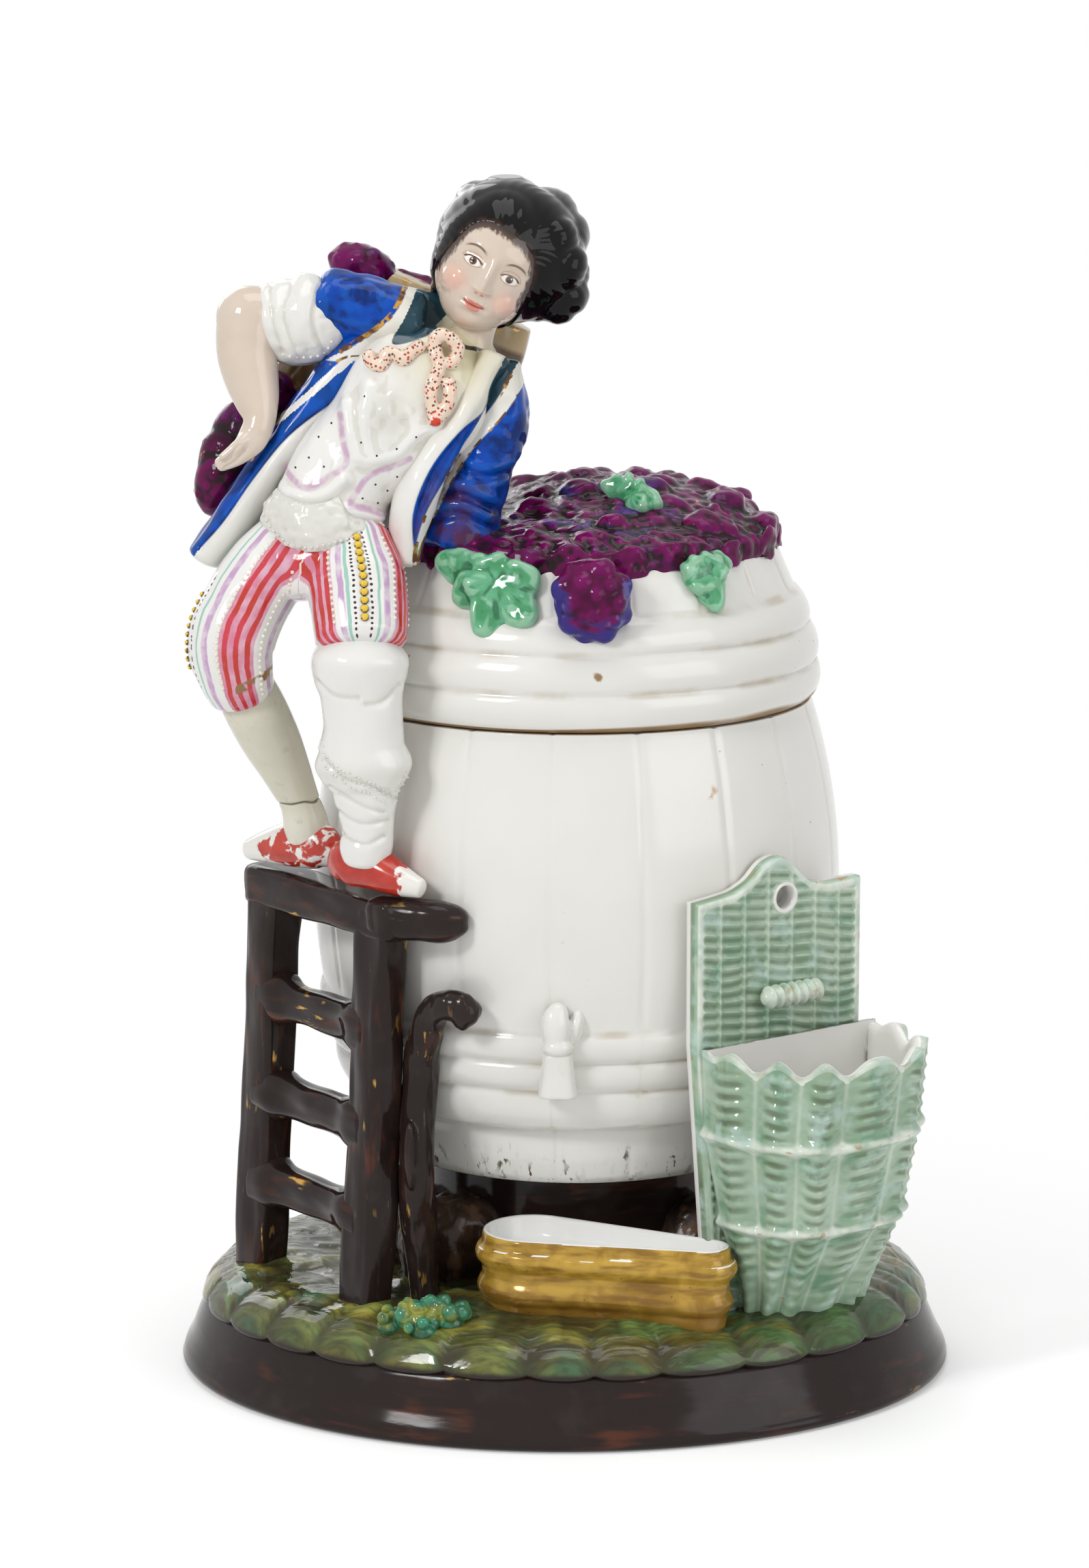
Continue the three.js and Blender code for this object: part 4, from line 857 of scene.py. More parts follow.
# Each lump of the key: its place from the tap's front, its radii and its tilt.
KEY = [
    ((-0.5, 0, 99.2), (3.7, 3.2, 5.8), -3), ((-0.1, 0.4, 102.2), (2.8, 2.7, 3.4), 0),
    ((0, 0, 94.6), (3.9, 3.5, 2.6), 0), ((4.2, 4.5, 98.6), (2.3, 4.6, 5.2), 12),
    ((2.6, 6.5, 95), (4, 5, 3.4), 0),
]
spout = fuse("tap_spout", pressed(limb(SPOUT, power=3, dome=0.1), limb(SHANK)), voxel=0.35, soften=5)


def bore(p, n):
    from_middle = np.hypot(p[:, 0] - TAP_X, p[:, 1] - spout_front)
    return -BORE_DEPTH * (n[:, 2] < -0.6) * np.clip(1.25 - from_middle / 3, 0, 1)


carve(spout, bore)
sponge(spout, 2)
key_clay = [ball((TAP_X + x, key_front + y, z), radii, tilt) for (x, y, z), radii, tilt in KEY]
key = fuse("tap_key", pressed(*key_clay), voxel=0.35, soften=8)
for piece, name in ((spout, "tap_spout"), (key, "tap_key")):
    keep(piece, groove=0.4 * (grain(spots_of(piece), 2.5, 4) > 0.3), brown=0)
    fire(piece, name, "stand", WHITE)

# %% [markdown]
# The ladder is made of rough timbers: two stiles that lean a little, a beam across them, and three
# rungs. A timber is a squared limb with many sections, so that bark and knife cuts can be carved along
# it. The grain is stretched upright on the stiles and lengthwise on the rungs.

# %% Timbers
BEAM_TOP = 129.7
STILE_FEET = {"left": np.array([-77.3, -5.0]), "right": np.array([-49.3, -41.5])}
STILE_LEAN = np.array([5.0, -2.5])
STILE_HALF = (6.5, 5.2)
BEAM_HALF = (5.6, 5.4)
RUNG_HALF = (4.4, 5.6)
RUNGS_BELOW_BEAM = (34, 58.6, 81.8)
# A rung swells where it meets the stiles, because the joint was filled with slip.
RUNG_SWELL = ((0, 1.2), (0.13, 1.25), (0.24, 1), (0.5, 0.93), (0.76, 1), (0.87, 1.25), (1, 1.2))
BARK_UPRIGHT = ((5, 5, 22), (2.2, 2.2, 9))
BARK_LEVEL = ((16, 16, 5), (8, 8, 2))
left_foot, right_foot = STILE_FEET.values()
beam_way = (right_foot - left_foot) / np.linalg.norm(right_foot - left_foot)
beam_side = (-beam_way[1], beam_way[0], 0)


def stile_at(foot, z):
    return [*(foot + STILE_LEAN * (z - GROUND_Z) / (BEAM_TOP - GROUND_Z)), z]


def timber(name, stations, across, power, bark=BARK_LEVEL, glaze=DARK_ROUND, dome=0.25):
    """A squared limb with bark carved along it."""
    piece = make_object(name, limb(stations, across, power, sides=72, steps=24, dome=dome))
    sponge(piece, 4)
    coarse, fine = bark
    carve(piece, lambda p, n: 0.7 * grain(p, coarse, len(name)) + 0.3 * grain(p, fine, 3) - 0.25)
    keep(piece, edge=0.85)
    fire(piece, name, "stand", glaze)


# %% Ladder
for side, foot in STILE_FEET.items():
    row = [[*stile_at(foot, z), *STILE_HALF] for z in (21.5, 50, 75, 100, BEAM_TOP - 3)]
    timber("ladder_stile_" + side, row, (*beam_way, 0), 4.5, BARK_UPRIGHT, DARK_UPRIGHT)
beam_z = BEAM_TOP - BEAM_HALF[1]
ends = [
    foot + STILE_LEAN + way * beam_way * STILE_HALF[0] for foot, way in ((left_foot, -1), (right_foot, 1))
]
timber("ladder_top_beam", [[*end, beam_z, *BEAM_HALF] for end in ends], beam_side, 4.5)
for i, below in enumerate(RUNGS_BELOW_BEAM):
    start, end = (np.array(stile_at(foot, BEAM_TOP - below)) for foot in STILE_FEET.values())
    row = [
        [*(start + (end - start) * t), RUNG_HALF[0] * swell, RUNG_HALF[1] * swell]
        for t, swell in RUNG_SWELL
    ]
    timber(f"ladder_rung_{i + 1}", row, beam_side, 2.5)
lug_x, lug_y = right_foot + STILE_LEAN
# Each point of the lug: x and y from the stile's head, how far below the beam's top, and half sizes.
LUG = [(-1, -1, 4.9, 4.9, 4.9), (9, -5, 5.2, 4.9, 4.9), (15, -6, 5.7, 4.9, 4.9), (17.5, -5.2, 6, 4.4, 4.5)]
lug_row = [[lug_x + x, lug_y + y, BEAM_TOP - below, wide, deep] for x, y, below, wide, deep in LUG]
timber("ladder_lug", lug_row, (0, 0, 1), 2.4, dome=0.8)
print("lug of the ladder from", len(lug_row), "sections, its beam's middle at", round(beam_z, 1), "mm")

# %% [markdown]
# A crooked branch is propped between the ladder and the barrel. It follows the belly upwards and
# hooks over at the top, where it was cut off. A long flat ball fused to it makes the scar of a side shoot.

# %% Branch
BRANCH_OFF = 5.9
BRANCH_LOW = [
    [-34.5, -40, 21.5, 3.4, 3.3], [-35.3, -41, 34.5, 4.1, 3.8], [-36.3, -42.5, 46.5, 5.0, 4.4],
    [-36.5, -46, 63, 5.0, 4.6],
]
BRANCH_HIGH = [
    (-35.7, 83, 4.8, 4.6), (-34.1, 95, 4.1, 4.2), (-31, 103, 4.1, 4), (-26.5, 104.2, 4.1, 4),
    (-23.6, 101.8, 4.1, 4),
]


def on_belly(x, z, off):
    """The point in front of the barrel's axis that lies a distance outside the staves."""
    out = stave_radius(z) + off
    return [x, BARREL_AT[1] - math.sqrt(out**2 - (x - BARREL_AT[0]) ** 2), z]


branch_row = BRANCH_LOW + [[*on_belly(x, z, BRANCH_OFF), wide, deep] for x, z, wide, deep in BRANCH_HIGH]
scar = ball((-38, -50.5, 66), (1.8, 2.4, 9))
branch_clay = pressed(limb(branch_row, (0, 1, 0), sides=40, steps=10, dome=0.6), scar)
branch = fuse("prop_branch", branch_clay)
carve(branch, lambda p, n: 0.45 * grain(p, (3.4, 3.4, 18), 4) + 0.25 * grain(p, (1.6, 1.6, 7), 5) - 0.1)
keep(branch, edge=0.6)
fire(branch, "prop_branch", "stand", DARK_UPRIGHT)

# %% [markdown]
# The wall pocket imitates wickerwork in clay. Celadon is a thin green glaze that runs off every ridge
# and turns white there, and iron shows through as rust on the worn edges. So each point stores how far
# it stands out of the weave, and the glaze reads that to go from green in the hollows to white.

# %% Celadon glaze
glaze = Glaze("celadon glaze", 0.07)
glaze.coat((0.265, 0.395, 0.265))
glaze.coat((0.41, 0.53, 0.40), glaze.patches(16, 0.35, 0.65, seed=2, twist=0.5))
glaze.coat((0.165, 0.335, 0.215), glaze.patches(9, 0.5, 0.68, 0.8, seed=7))
hollow = glaze.mark("raised", 0.0, 0.45, 0, 1)
glaze.coat((0.115, 0.165, 0.085), hollow, glaze.patches(20, 0.3, 0.6, 1, 0.45, detail=2, seed=3))
crest = glaze.mark("raised", 0.62, 1.05)
glaze.coat((0.72, 0.77, 0.68), crest, glaze.patches(5, 0.3, 0.6, 1, 0.45, seed=5))
glaze.coat((0.47, 0.62, 0.55), glaze.patches(7, 0.52, 0.7, 0.7, detail=4, seed=9))
glaze.coat((0.42, 0.22, 0.06), glaze.mark("edge", 0.4, 0.9), glaze.patches(4, 0.58, 0.66, seed=11), 0.8)
unglazed = glaze.over(glaze.cloud(12, 2, seed=13), (0.84, 0.83, 0.80), (0.77, 0.76, 0.72))
glaze.coat(unglazed, glaze.mark("white", 0.4, 0.6))
CELADON = glaze.done(height=glaze.cloud(2.5), depth=0.04)
print("mixed", CELADON.made.name)

# %% [markdown]
# The back plate is a slab with a wavy top. Its front is a height map of seven woven bands, so the
# slab is made as two matching grids, front and back, sewn together round the edge. The edge is
# rounded by sinking the border, and the nail hole is cut through with a cylinder.

# %% A slab from two grids
POCKET_TURN = math.radians(-53)
POCKET_OUT = np.array([math.cos(POCKET_TURN), math.sin(POCKET_TURN), 0])
POCKET_ALONG = np.array([-POCKET_OUT[1], POCKET_OUT[0], 0])
UP = np.array([0, 0, 1.0])
PLATE_THICK = 4.4
PLATE_FACE = np.array([*BARREL_AT, 0]) + POCKET_OUT * (BELLY_RADIUS + 0.3 + PLATE_THICK) + POCKET_ALONG * 8


def pocket_point(s, d, z):
    """s runs along the plate, d out from its face, z upwards. Takes numbers or arrays."""
    s, d, z = (part[..., None] for part in np.broadcast_arrays(np.asarray(s, float), d, z))
    return PLATE_FACE + s * POCKET_ALONG + d * POCKET_OUT + z * UP


def sewn(front, back):
    """Two matching grids of points as one closed shell."""
    rows, cols, _ = front.shape
    count = rows * cols
    faces = []
    for i in range(rows - 1):
        for a in range(i * cols, i * cols + cols - 1):
            b = a + cols
            faces += [(a, a + 1, b + 1, b), (count + a, count + b, count + b + 1, count + a + 1)]
    place = np.arange(count).reshape(rows, cols)
    rim = [*place[0, :-1], *place[:-1, -1], *place[-1, :0:-1], *place[:0:-1, 0]]
    for a, b in zip(rim, rim[1:] + rim[:1]):
        faces.append((b, a, count + a, count + b))
    return np.vstack([front.reshape(-1, 3), back.reshape(-1, 3)]), faces


def wicker(across, z, pitch, bow=0.0):
    """Height of the weave, 0 in the hollows and 1 on the strands. across runs -1 to 1 on each band."""
    strand = 0.5 + 0.5 * np.cos(2 * np.pi * (z - bow * across**2) / pitch)
    return strand**1.5 * (1 - abs(across) ** 5)


# %% Pocket plate
PLATE_HALF = 26
PLATE_FOOT = 23.5
PLATE_COLUMNS = 7
PLATE_PITCH = 2.7
PLATE_ROUNDING = 1.3
PLATE_TOP_LINE = np.array([
    (-26, 129.8), (-20, 130.4), (-14, 131.2), (-9, 133.4), (-5, 137.2), (-1, 138.5),
    (2, 138), (5, 135.2), (9, 131.4), (15, 129.8), (22, 130.2), (26, 130.2),
])
NAIL_HOLE = (1.5, 128)
CUP_RIM_Z = 94.5
cols = np.linspace(-1, 1, 151)
top = np.interp(PLATE_HALF * cols, *PLATE_TOP_LINE.T)
top = np.convolve(np.pad(top, 4, mode="edge"), np.ones(9) / 9, mode="valid")
z = PLATE_FOOT + np.linspace(0, 1, 260)[:, None] * (top - PLATE_FOOT)
half = PLATE_HALF - np.where(z < CUP_RIM_Z, (CUP_RIM_Z - z) / 12, 0)
s = half * cols
band = (s + PLATE_HALF) / (2 * PLATE_HALF) * PLATE_COLUMNS
across = 2 * (band - np.floor(band)) - 1
shift = np.floor(band) * 0.9 + 0.9 * grain(np.stack([s, z, 0 * z], -1).reshape(-1, 3), 9, 3).reshape(s.shape)
weave = wicker(across, z + shift + 0.5 * across, PLATE_PITCH)
edge = np.minimum(half - abs(s), top - z)
from_frame = np.clip((edge - 1.6) / 1.2, 0, 1)
from_frame = from_frame * np.clip((np.hypot(s - NAIL_HOLE[0], z - NAIL_HOLE[1]) - 3.6) / 0.9, 0, 1)
relief = from_frame * (0.65 * weave + 0.6 * hump(1 - abs(across), 0.14) - 0.35) + (1 - from_frame) * 0.35
sunk = np.clip(PLATE_ROUNDING - edge, 0, PLATE_ROUNDING)
fillet = PLATE_ROUNDING - np.sqrt(np.clip(PLATE_ROUNDING**2 - sunk**2, 0, None))
front, back = pocket_point(s, relief - fillet, z), pocket_point(s, -PLATE_THICK + 0.4 * fillet, z)
plate = make_object("pocket_back_plate", sewn(front, back))
print("pocket plate with", len(plate.data.polygons), "faces, still without its hole")

# %% Nail hole and the plate's glaze
middle = pocket_point(NAIL_HOLE[0], -2, NAIL_HOLE[1]) * MM
bpy.ops.mesh.primitive_cylinder_add(vertices=64, radius=3 * MM, depth=14 * MM, location=middle)
drill = bpy.context.object
drill.rotation_euler = (math.pi / 2, 0, POCKET_TURN + math.pi / 2)
worked(plate, "BOOLEAN", object=drill, solver="EXACT")
bpy.data.objects.remove(drill)
spots = spots_of(plate) - PLATE_FACE
along, out, up = spots @ POCKET_ALONG, spots @ POCKET_OUT, spots[:, 2]
rim = np.minimum(np.interp(along, PLATE_HALF * cols, top) - up, PLATE_HALF - abs(along))
keep(plate, raised=np.clip((out + 0.5) / 0.95, 0, 1.2) + 0.5 * hump(rim - 1, 1.1), edge=hump(rim, 1.4))
from_hole = np.hypot(along - NAIL_HOLE[0], up - NAIL_HOLE[1])
keep(plate, white=np.maximum(out < -PLATE_ROUNDING, np.clip(4.3 - from_hole, 0, 1)))
fire(plate, "pocket_back_plate", "stand", CELADON)

# %% [markdown]
# The cup is one skin that climbs the fluted outside, turns over the scalloped rim and goes down the
# smooth inside. Each ring is D-shaped, straight at the back, and its section grows from foot to rim.
# Seven flutes, the rows of weave and two corded bands are added as height outside only.

# %% Rings of the pocket cup
CUP_FLUTES = 7
SCALLOP = 3.5
# Each level: its height, half width, depth, and how far the cup has drifted along the plate.
CUP_LEVELS = np.array([
    [23.5, 18, 9.5, 6], [30.5, 19, 12.5, 6.3], [50, 23.5, 26, 4], [73, 26.8, 33, 2],
    [CUP_RIM_Z, 27.5, 36.5, 1.6],
])
CUP_BANDS = (73.0, 50.0)
CUP_WALL = 3.0
CUP_PITCH = 3.3
CUP_POWER = 2.7
cup_turn = np.linspace(0, np.pi, 271)
straight_share = (np.linspace(-1, 1, 34)[1:-1, None] + 1) / 2
flute_turn = cup_turn / np.pi * CUP_FLUTES
in_flute = 2 * (flute_turn - np.floor(np.clip(flute_turn, 0, CUP_FLUTES - 1e-6))) - 1
inner = np.full(len(straight_share), 0.5)


def cup_relief(z, rim):
    """How far the outside swells at each point of a ring, and its height in the weave."""
    bands = sum(hump(z - at - 0.5 * np.cos(np.pi * in_flute), 1.5) for at in CUP_BANDS)
    woven = np.clip(1.6 * (1 - bands) - 0.6, 0, 1) * np.clip((CUP_RIM_Z - 2.6 - z) / 2, 0, 1)
    woven = woven * np.clip((z - 34) / 6, 0.25, 1) * np.clip(1.7 - 1.7 * abs(in_flute), 0.1, 1)
    woven = woven * (0.15 + 0.85 * np.clip(cup_turn / 0.9, 0, 1) ** 2)
    order = np.floor(flute_turn)
    strands = wicker(
        in_flute, z + 1.1 * order + 0.5 * np.sin(2.6 * in_flute + 2 * order), CUP_PITCH, bow=0.35
    )
    cord = bands * (1.4 + 0.2 * np.cos(flute_turn * 2 * np.pi))
    height = 0.35 + woven * (0.55 * strands - 0.3) + 0.6 * bands + 0.5 * in_flute**2 + 0.5 * (z > rim - 1.2)
    return np.cos(np.pi * in_flute) + 0.7 * woven * (strands - 0.4) + cord, height


def cup_ring(level, off, outside):
    """One ring of the cup at a level from 0 at the foot to 1 at the rim, with its relief."""
    c, s = squared(cup_turn, CUP_POWER)
    soft = np.clip(np.sin(cup_turn) / 0.12, 0, 1)
    rim = CUP_RIM_Z - SCALLOP * np.sin(np.pi / 2 * in_flute) ** 2 * soft - 0.8 * (1 - soft)
    z = PLATE_FOOT + level * (rim - PLATE_FOOT)
    half, deep, drift = (np.interp(z, CUP_LEVELS[:, 0], CUP_LEVELS[:, k]) for k in (1, 2, 3))
    swell, height = cup_relief(z, rim) if outside else (0, 0.9 + 0 * z)
    closest = 0.3 if outside else CUP_WALL
    points = pocket_point(drift + c * (half + off + swell), np.maximum(closest, s * (deep + off + swell)), z)
    straight = points[-1] + (points[0] - points[-1]) * straight_share
    return np.vstack([points, straight]), np.r_[height, inner if outside else inner + 0.4]


# %% Pocket cup
CUP_INSIDE = [(1.006, -0.6), (1.008, -1.3), (1.004, -2.1), (0.992, -2.8)]
CUP_INSIDE += [(level, -CUP_WALL) for level in (0.97, 0.93, 0.86, 0.75, 0.6, 0.45, 0.3, 0.2)]
CUP_INSIDE += [(0.16, -CUP_WALL - 2)]
made = [cup_ring(level, 0, True) for level in np.linspace(0, 1, 170)]
made += [cup_ring(level, off, False) for level, off in CUP_INSIDE]
rings, raised = zip(*made)
white = [0] * 170 + [off < -1 for _, off in CUP_INSIDE]
white = np.repeat(white, len(rings[0]))
cup = make_object("pocket_cup", skin(rings))
height = spots_of(cup)[:, 2]
keep(cup, raised=np.r_[np.concatenate(raised), 0.5, 0.5], white=np.r_[white, 0, 1])
keep(cup, edge=0.8 * hoop_grooves(height, CUP_BANDS, 1.4) + (height > 90) * 0.55 + hump(height - 29.5, 1.2))
fire(cup, "pocket_cup", "stand", CELADON)

# %% [markdown]
# A small ribbed bar sits on the plate like a loop of cord. Its ribs are three swellings along a limb.

# %% Pocket bar
BAR_RADIUS = 3.0
BAR_LENGTH = 19.0
bar_row = []
for t in np.linspace(-1, 1, 41):
    knobbly = 0.86 + 0.14 * math.cos(7 * math.pi * t)
    swell = BAR_RADIUS * knobbly * (0.8 + 0.2 * math.sqrt(1 - abs(t) ** 6 * 0.99))
    bar_row.append([*pocket_point(1.7 + t * (BAR_LENGTH / 2 - 0.8), BAR_RADIUS + 0.1, 104.5), swell, swell])
bar = make_object("pocket_bar", limb(bar_row, (0, 0, 1), steps=2, dome=0.5))
keep(bar, raised=0.95 + 0.3 * grain(spots_of(bar), 3, 2), edge=0.7, white=0)
fire(bar, "pocket_bar", "stand", CELADON)

# %% [markdown]
# The low tub is a cooper's trough with two hoops, glazed a golden ochre outside and white inside. Its
# outline is two round ends, a large and a small one, joined by straight runs, and each ring of the
# wall is that outline moved in or out.

# %% Tub
TUB_BIG = (-8.0, -42.5, 13.0)
TUB_SMALL = (34.0, -57.5, 6.5)
TUB_MIDDLE = (12, -49.5)
TUB_PROFILE = [
    (-6, 24.6), (-1.4, 24.5), (-0.8, 28.6), (0.3, 30), (0.8, 31.6), (0.2, 33.2), (-0.5, 34.4), (-0.5, 36.8),
    (0.9, 38.6), (1.3, 40), (0.9, 41.4), (-0.3, 42.6), (-0.6, 45), (-1.2, 45.5), (-2.0, 45.2), (-2.4, 43.5),
    (-3.2, 40.8), (-4.6, 39.2), (-5.9, 38.6),
]


def tub_ring(off, z, count=220):
    """The tub's outline at a height, moved out by a distance, as evenly spaced points."""
    (bx, by, br), (sx, sy, sr) = TUB_BIG, TUB_SMALL
    heading = math.atan2(sy - by, sx - bx)
    spread = math.acos((br - sr) / math.hypot(sx - bx, sy - by))
    row = []
    for (x, y, r), start in ((TUB_BIG, spread), (TUB_SMALL, -spread)):
        end = 2 * math.pi - spread if start > 0 else spread
        for angle in np.linspace(heading + start, heading + end, 44):
            row.append((x + (r + off) * math.cos(angle), y + (r + off) * math.sin(angle), z))
    closed = filled(np.array([*row, row[0]]), 1.6)
    return places_on(closed, np.linspace(0, run_of(closed)[-1], count + 1)[:-1])


tub_rings = [tub_ring(max(off, -5.9) if z < 33 else off, z) for off, z in curve_through(TUB_PROFILE, 0.5)]
tub = make_object("oval_tub", skin(tub_rings))
carve(tub, lambda p, n: (n[:, 2] < 0.6) * (0.3 * grain(p, (12, 12, 6), 2) + 0.12 * grain(p, 3, 4)))
spots, normals = spots_of(tub), normals_of(tub)
facing_in = np.einsum("ij,ij->i", normals[:, :2], spots[:, :2] - TUB_MIDDLE) < -0.4
height = spots[:, 2]
keep(tub, inside=(facing_in | (normals[:, 2] > 0.75)) & (height > 37))
# Where the glaze takes painted shade: towards the foot and in the two grooves.
keep(tub, low=np.clip((36 - height) / 8, 0, 1) + 0.5 * hump(height - 35.6, 1) + 0.4 * hump(height - 43, 0.8))
print("tub from", len(tub_rings), "rings")

# %% Ochre glaze
glaze = Glaze("ochre glaze", 0.16, 0.35)
glaze.coat((0.33, 0.185, 0.022))
glaze.coat((0.56, 0.35, 0.055), glaze.patches(8, 0.35, 0.65, detail=4, seed=2, twist=0.6))
glaze.coat(
    (0.20, 0.095, 0.014), glaze.patches(4, 0.48, 0.66, 0.75, detail=4, stretch=(0.3, 0.3, 1.6), seed=4)
)
# Painted shade: darker brown towards the foot and in the two grooves.
glaze.coat((0.17, 0.075, 0.012), glaze.mark("low", 0.1, 1.0, 0.65))
glaze.coat((0.09, 0.05, 0.01), glaze.step(glaze.cells(4, seed=6), 0.03, 0.08, 0, 0.8))
glaze.coat((0.88, 0.875, 0.86), glaze.mark("inside", 0.4, 0.6))
OCHRE = glaze.done(metal=glaze.mark("inside", 0.4, 0.6, 0, 0.12), height=glaze.cloud(3))
fire(tub, "oval_tub", "stand", OCHRE)

# %% [markdown]
# A spray of berries and small leaves lies on the ground in front. Balls of one size would look
# bought, so a seeded random draw varies their size and place a little.

# %% Berries
BERRY_ROW = [(-43, -58, 26.9), (-38.5, -59.5, 28.9), (-34.5, -62.5, 26.9), (-33, -58, 29.5), (-28, -60, 28.3)]
berry_draw = np.random.default_rng(4)
berry_clay = []
for x, y, z in BERRY_ROW:
    berry_clay.append(ball((x, y, z - 1.9), (3.2, 3.2, 2.4), sides=16))
    for _ in range(8):
        shift = berry_draw.uniform(-1, 1, 3) * (4.0, 3.0, 1.1)
        radius = berry_draw.uniform(1.2, 2.3)
        berry_clay.append(ball((x, y, z + 0.6) + shift, (radius, radius, radius), sides=14))
berries = fuse("green_berries", pressed(*berry_clay), voxel=0.3, soften=2)
glaze = Glaze("green berry glaze", 0.1)
glaze.coat((0.020, 0.085, 0.040))
glaze.coat((0.035, 0.230, 0.120), glaze.patches(5, 0.35, 0.6, seed=2))
glaze.coat((0.26, 0.29, 0.04), glaze.patches(6, 0.48, 0.64, seed=5))
fire(berries, "green_berries", "stand", glaze.done())

# %% [markdown]
# The heap of grapes was a mound of clay with small knobs pressed over it. A seeded draw scatters balls
# over the mound, mostly small with a few large, and one remesh runs them together as thick glaze does.
# The glaze is magenta on the crowns, blue-violet where cobalt was added, and painted shade near black in the
# creases.

# %% Knobs and crowns
def on_lid(x, y, rise):
    return np.array([BARREL_AT[0] + x, BARREL_AT[1] + y, LID_TOP + rise])


def knobs(mounds, count, sizes, seed, proud, keep_above=-1e9):
    """Balls scattered over the outside of ellipsoids. A mound is (centre, radii, tilt)."""
    draw = np.random.default_rng(seed)
    made, spots, used = [], np.empty((0, 3)), np.empty(0)
    for _ in range(60 * count):
        centre, radii, tilt = mounds[draw.integers(len(mounds))]
        way = draw.normal(size=3)
        way /= np.linalg.norm(way)
        size = sizes[0] + (sizes[1] - sizes[0]) * draw.random() ** 2
        x, y, z = way * (np.array(radii, float) - size * (1 - proud))
        x, z = tilted(x, z, tilt)
        spot = np.array(centre, float) + (x, y, z)
        apart = np.linalg.norm(spots - spot, axis=1) > 0.7 * (size + used)
        if spot[2] > keep_above and apart.all():
            spots = np.vstack([spots, spot])
            used = np.append(used, size)
            wide, deep = draw.uniform(0.85, 1.2, 2)
            made.append(ball(spot, (size * wide, size * deep, size), draw.uniform(-40, 40), sides=12))
        if len(made) == count:
            break
    return made


def crowns(piece, reach=10):
    """1 on the crowns and 0 in the creases, from how far a point stands out of its smoothed place."""
    soft = piece.copy()
    bpy.context.collection.objects.link(soft)
    sponge(soft, reach, 1.0)
    out = np.einsum("ij,ij->i", spots_of(piece) - spots_of(soft), normals_of(soft))
    bpy.data.objects.remove(soft)
    return np.clip(0.5 + out / (2.2 * out.std()), 0, 1.2)


# %% Grape glaze
glaze = Glaze("grape glaze", 0.045, 0.15)
glaze.coat((0.060, 0.002, 0.030))
glaze.coat((0.150, 0.003, 0.078), glaze.patches(6, 0.35, 0.65, seed=1))
glaze.coat((0.190, 0.006, 0.120), glaze.mark("crown", 0.7, 1.15, 0.4))
violet = glaze.both(glaze.patches(9, 0.5, 0.62, seed=4, twist=0.6), glaze.mark("violet", 0.2, 0.9))
glaze.coat((0.040, 0.028, 0.190), glaze.math("MAXIMUM", violet, glaze.mark("violet", 0.95, 1.35)))
glaze.coat((0.15, 0.14, 0.38), glaze.patches(4, 0.56, 0.68, seed=6), glaze.mark("violet", 0.55, 1.0), 0.7)
# Painted shade: near black in the creases between the grapes.
glaze.coat((0.020, 0.011, 0.013), glaze.mark("crown", 0.62, 0.15, 0.96))
worn = glaze.both(
    glaze.patches(5, 0.67, 0.72, detail=4, seed=9), glaze.patches(24, 0.54, 0.62, detail=2, seed=3)
)
glaze.coat((0.50, 0.24, 0.05), worn)
GRAPE = glaze.done(metal=glaze.both(worn, 0.8), height=glaze.cloud(2.2), depth=0.12)
print("mixed", GRAPE.made.name)

# %% Mounds and large lumps of the heap
HEAP_RADIUS = 51.5
HEAP_HEIGHT = 17.6
HEAP_SHIFT = 9.0
low_mound = (on_lid(0, 0, 0), (HEAP_RADIUS, HEAP_RADIUS, HEAP_HEIGHT * 0.62), 0)
high_mound = (on_lid(HEAP_SHIFT, 2, 0), (HEAP_RADIUS - 12, HEAP_RADIUS - 11, HEAP_HEIGHT - 2.6), 0)
# Large lumps that stand out of the front of the mound: x, y, how high they reach, and radius.
LUMPS = [
    (-17, -42, 6.6, 5), (-6, -33, 9, 4.5), (9, -32, 10.8, 5.5), (5.5, -41, 8.2, 6),
    (31.4, -25.4, 10.8, 6.5), (21.7, -43, 6.4, 6), (35.6, -6, 14.2, 7), (45.6, -10.4, 8.6, 6.5),
    (16.6, -9.7, 17.4, 5.5), (2, -12.6, 17, 5.5), (-9.4, -20, 13.6, 5.5), (-1, -48.3, 6, 5),
    (13, -48, 5.4, 5), (28, -41.5, 5.6, 5), (-13.6, -48.5, 4.6, 4.5), (47.6, -19, 5.6, 5.5),
    (38, -34, 5, 5), (51, -2, 4.5, 5), (-27, -38, 5, 6), (24, -18, 13.4, 5),
]
LUMP_COUNT = 60
heap_draw = np.random.default_rng(12)
while len(LUMPS) < LUMP_COUNT:
    x, y = heap_draw.uniform(-48, 50, 2)
    clear = all(math.hypot(x - other[0], y - other[1]) > 8.5 for other in LUMPS)
    if clear and math.hypot(x, y) < 49 and (y > -8 or x < -30):
        LUMPS.append((x, y, None, heap_draw.uniform(4.5, 6.5)))


def mound_height(x, y):
    """How high the two mounds stand above the lid at a place."""
    best = 0.0
    for centre, radii, _ in (low_mound, high_mound):
        aside = (x + BARREL_AT[0] - centre[0]) / radii[0]
        away = (y + BARREL_AT[1] - centre[1]) / radii[1]
        far = aside**2 + away**2
        best = max(best, radii[2] * math.sqrt(max(0, 1 - far)))
    return best


heap_clay = [ball(*low_mound, sides=80), ball(*high_mound, sides=80)]
for i, (x, y, top, size) in enumerate(LUMPS):
    top = mound_height(x, y) + 1.4 if top is None else top - 0.6
    radii = size * (1.15 + 0.2 * math.sin(5 * i)), size * 0.95, size * 0.8
    heap_clay.append(ball(on_lid(x, y, top - size * 0.8), radii, 25 * math.sin(7 * i), sides=24))
print(len(heap_clay), "large lumps")

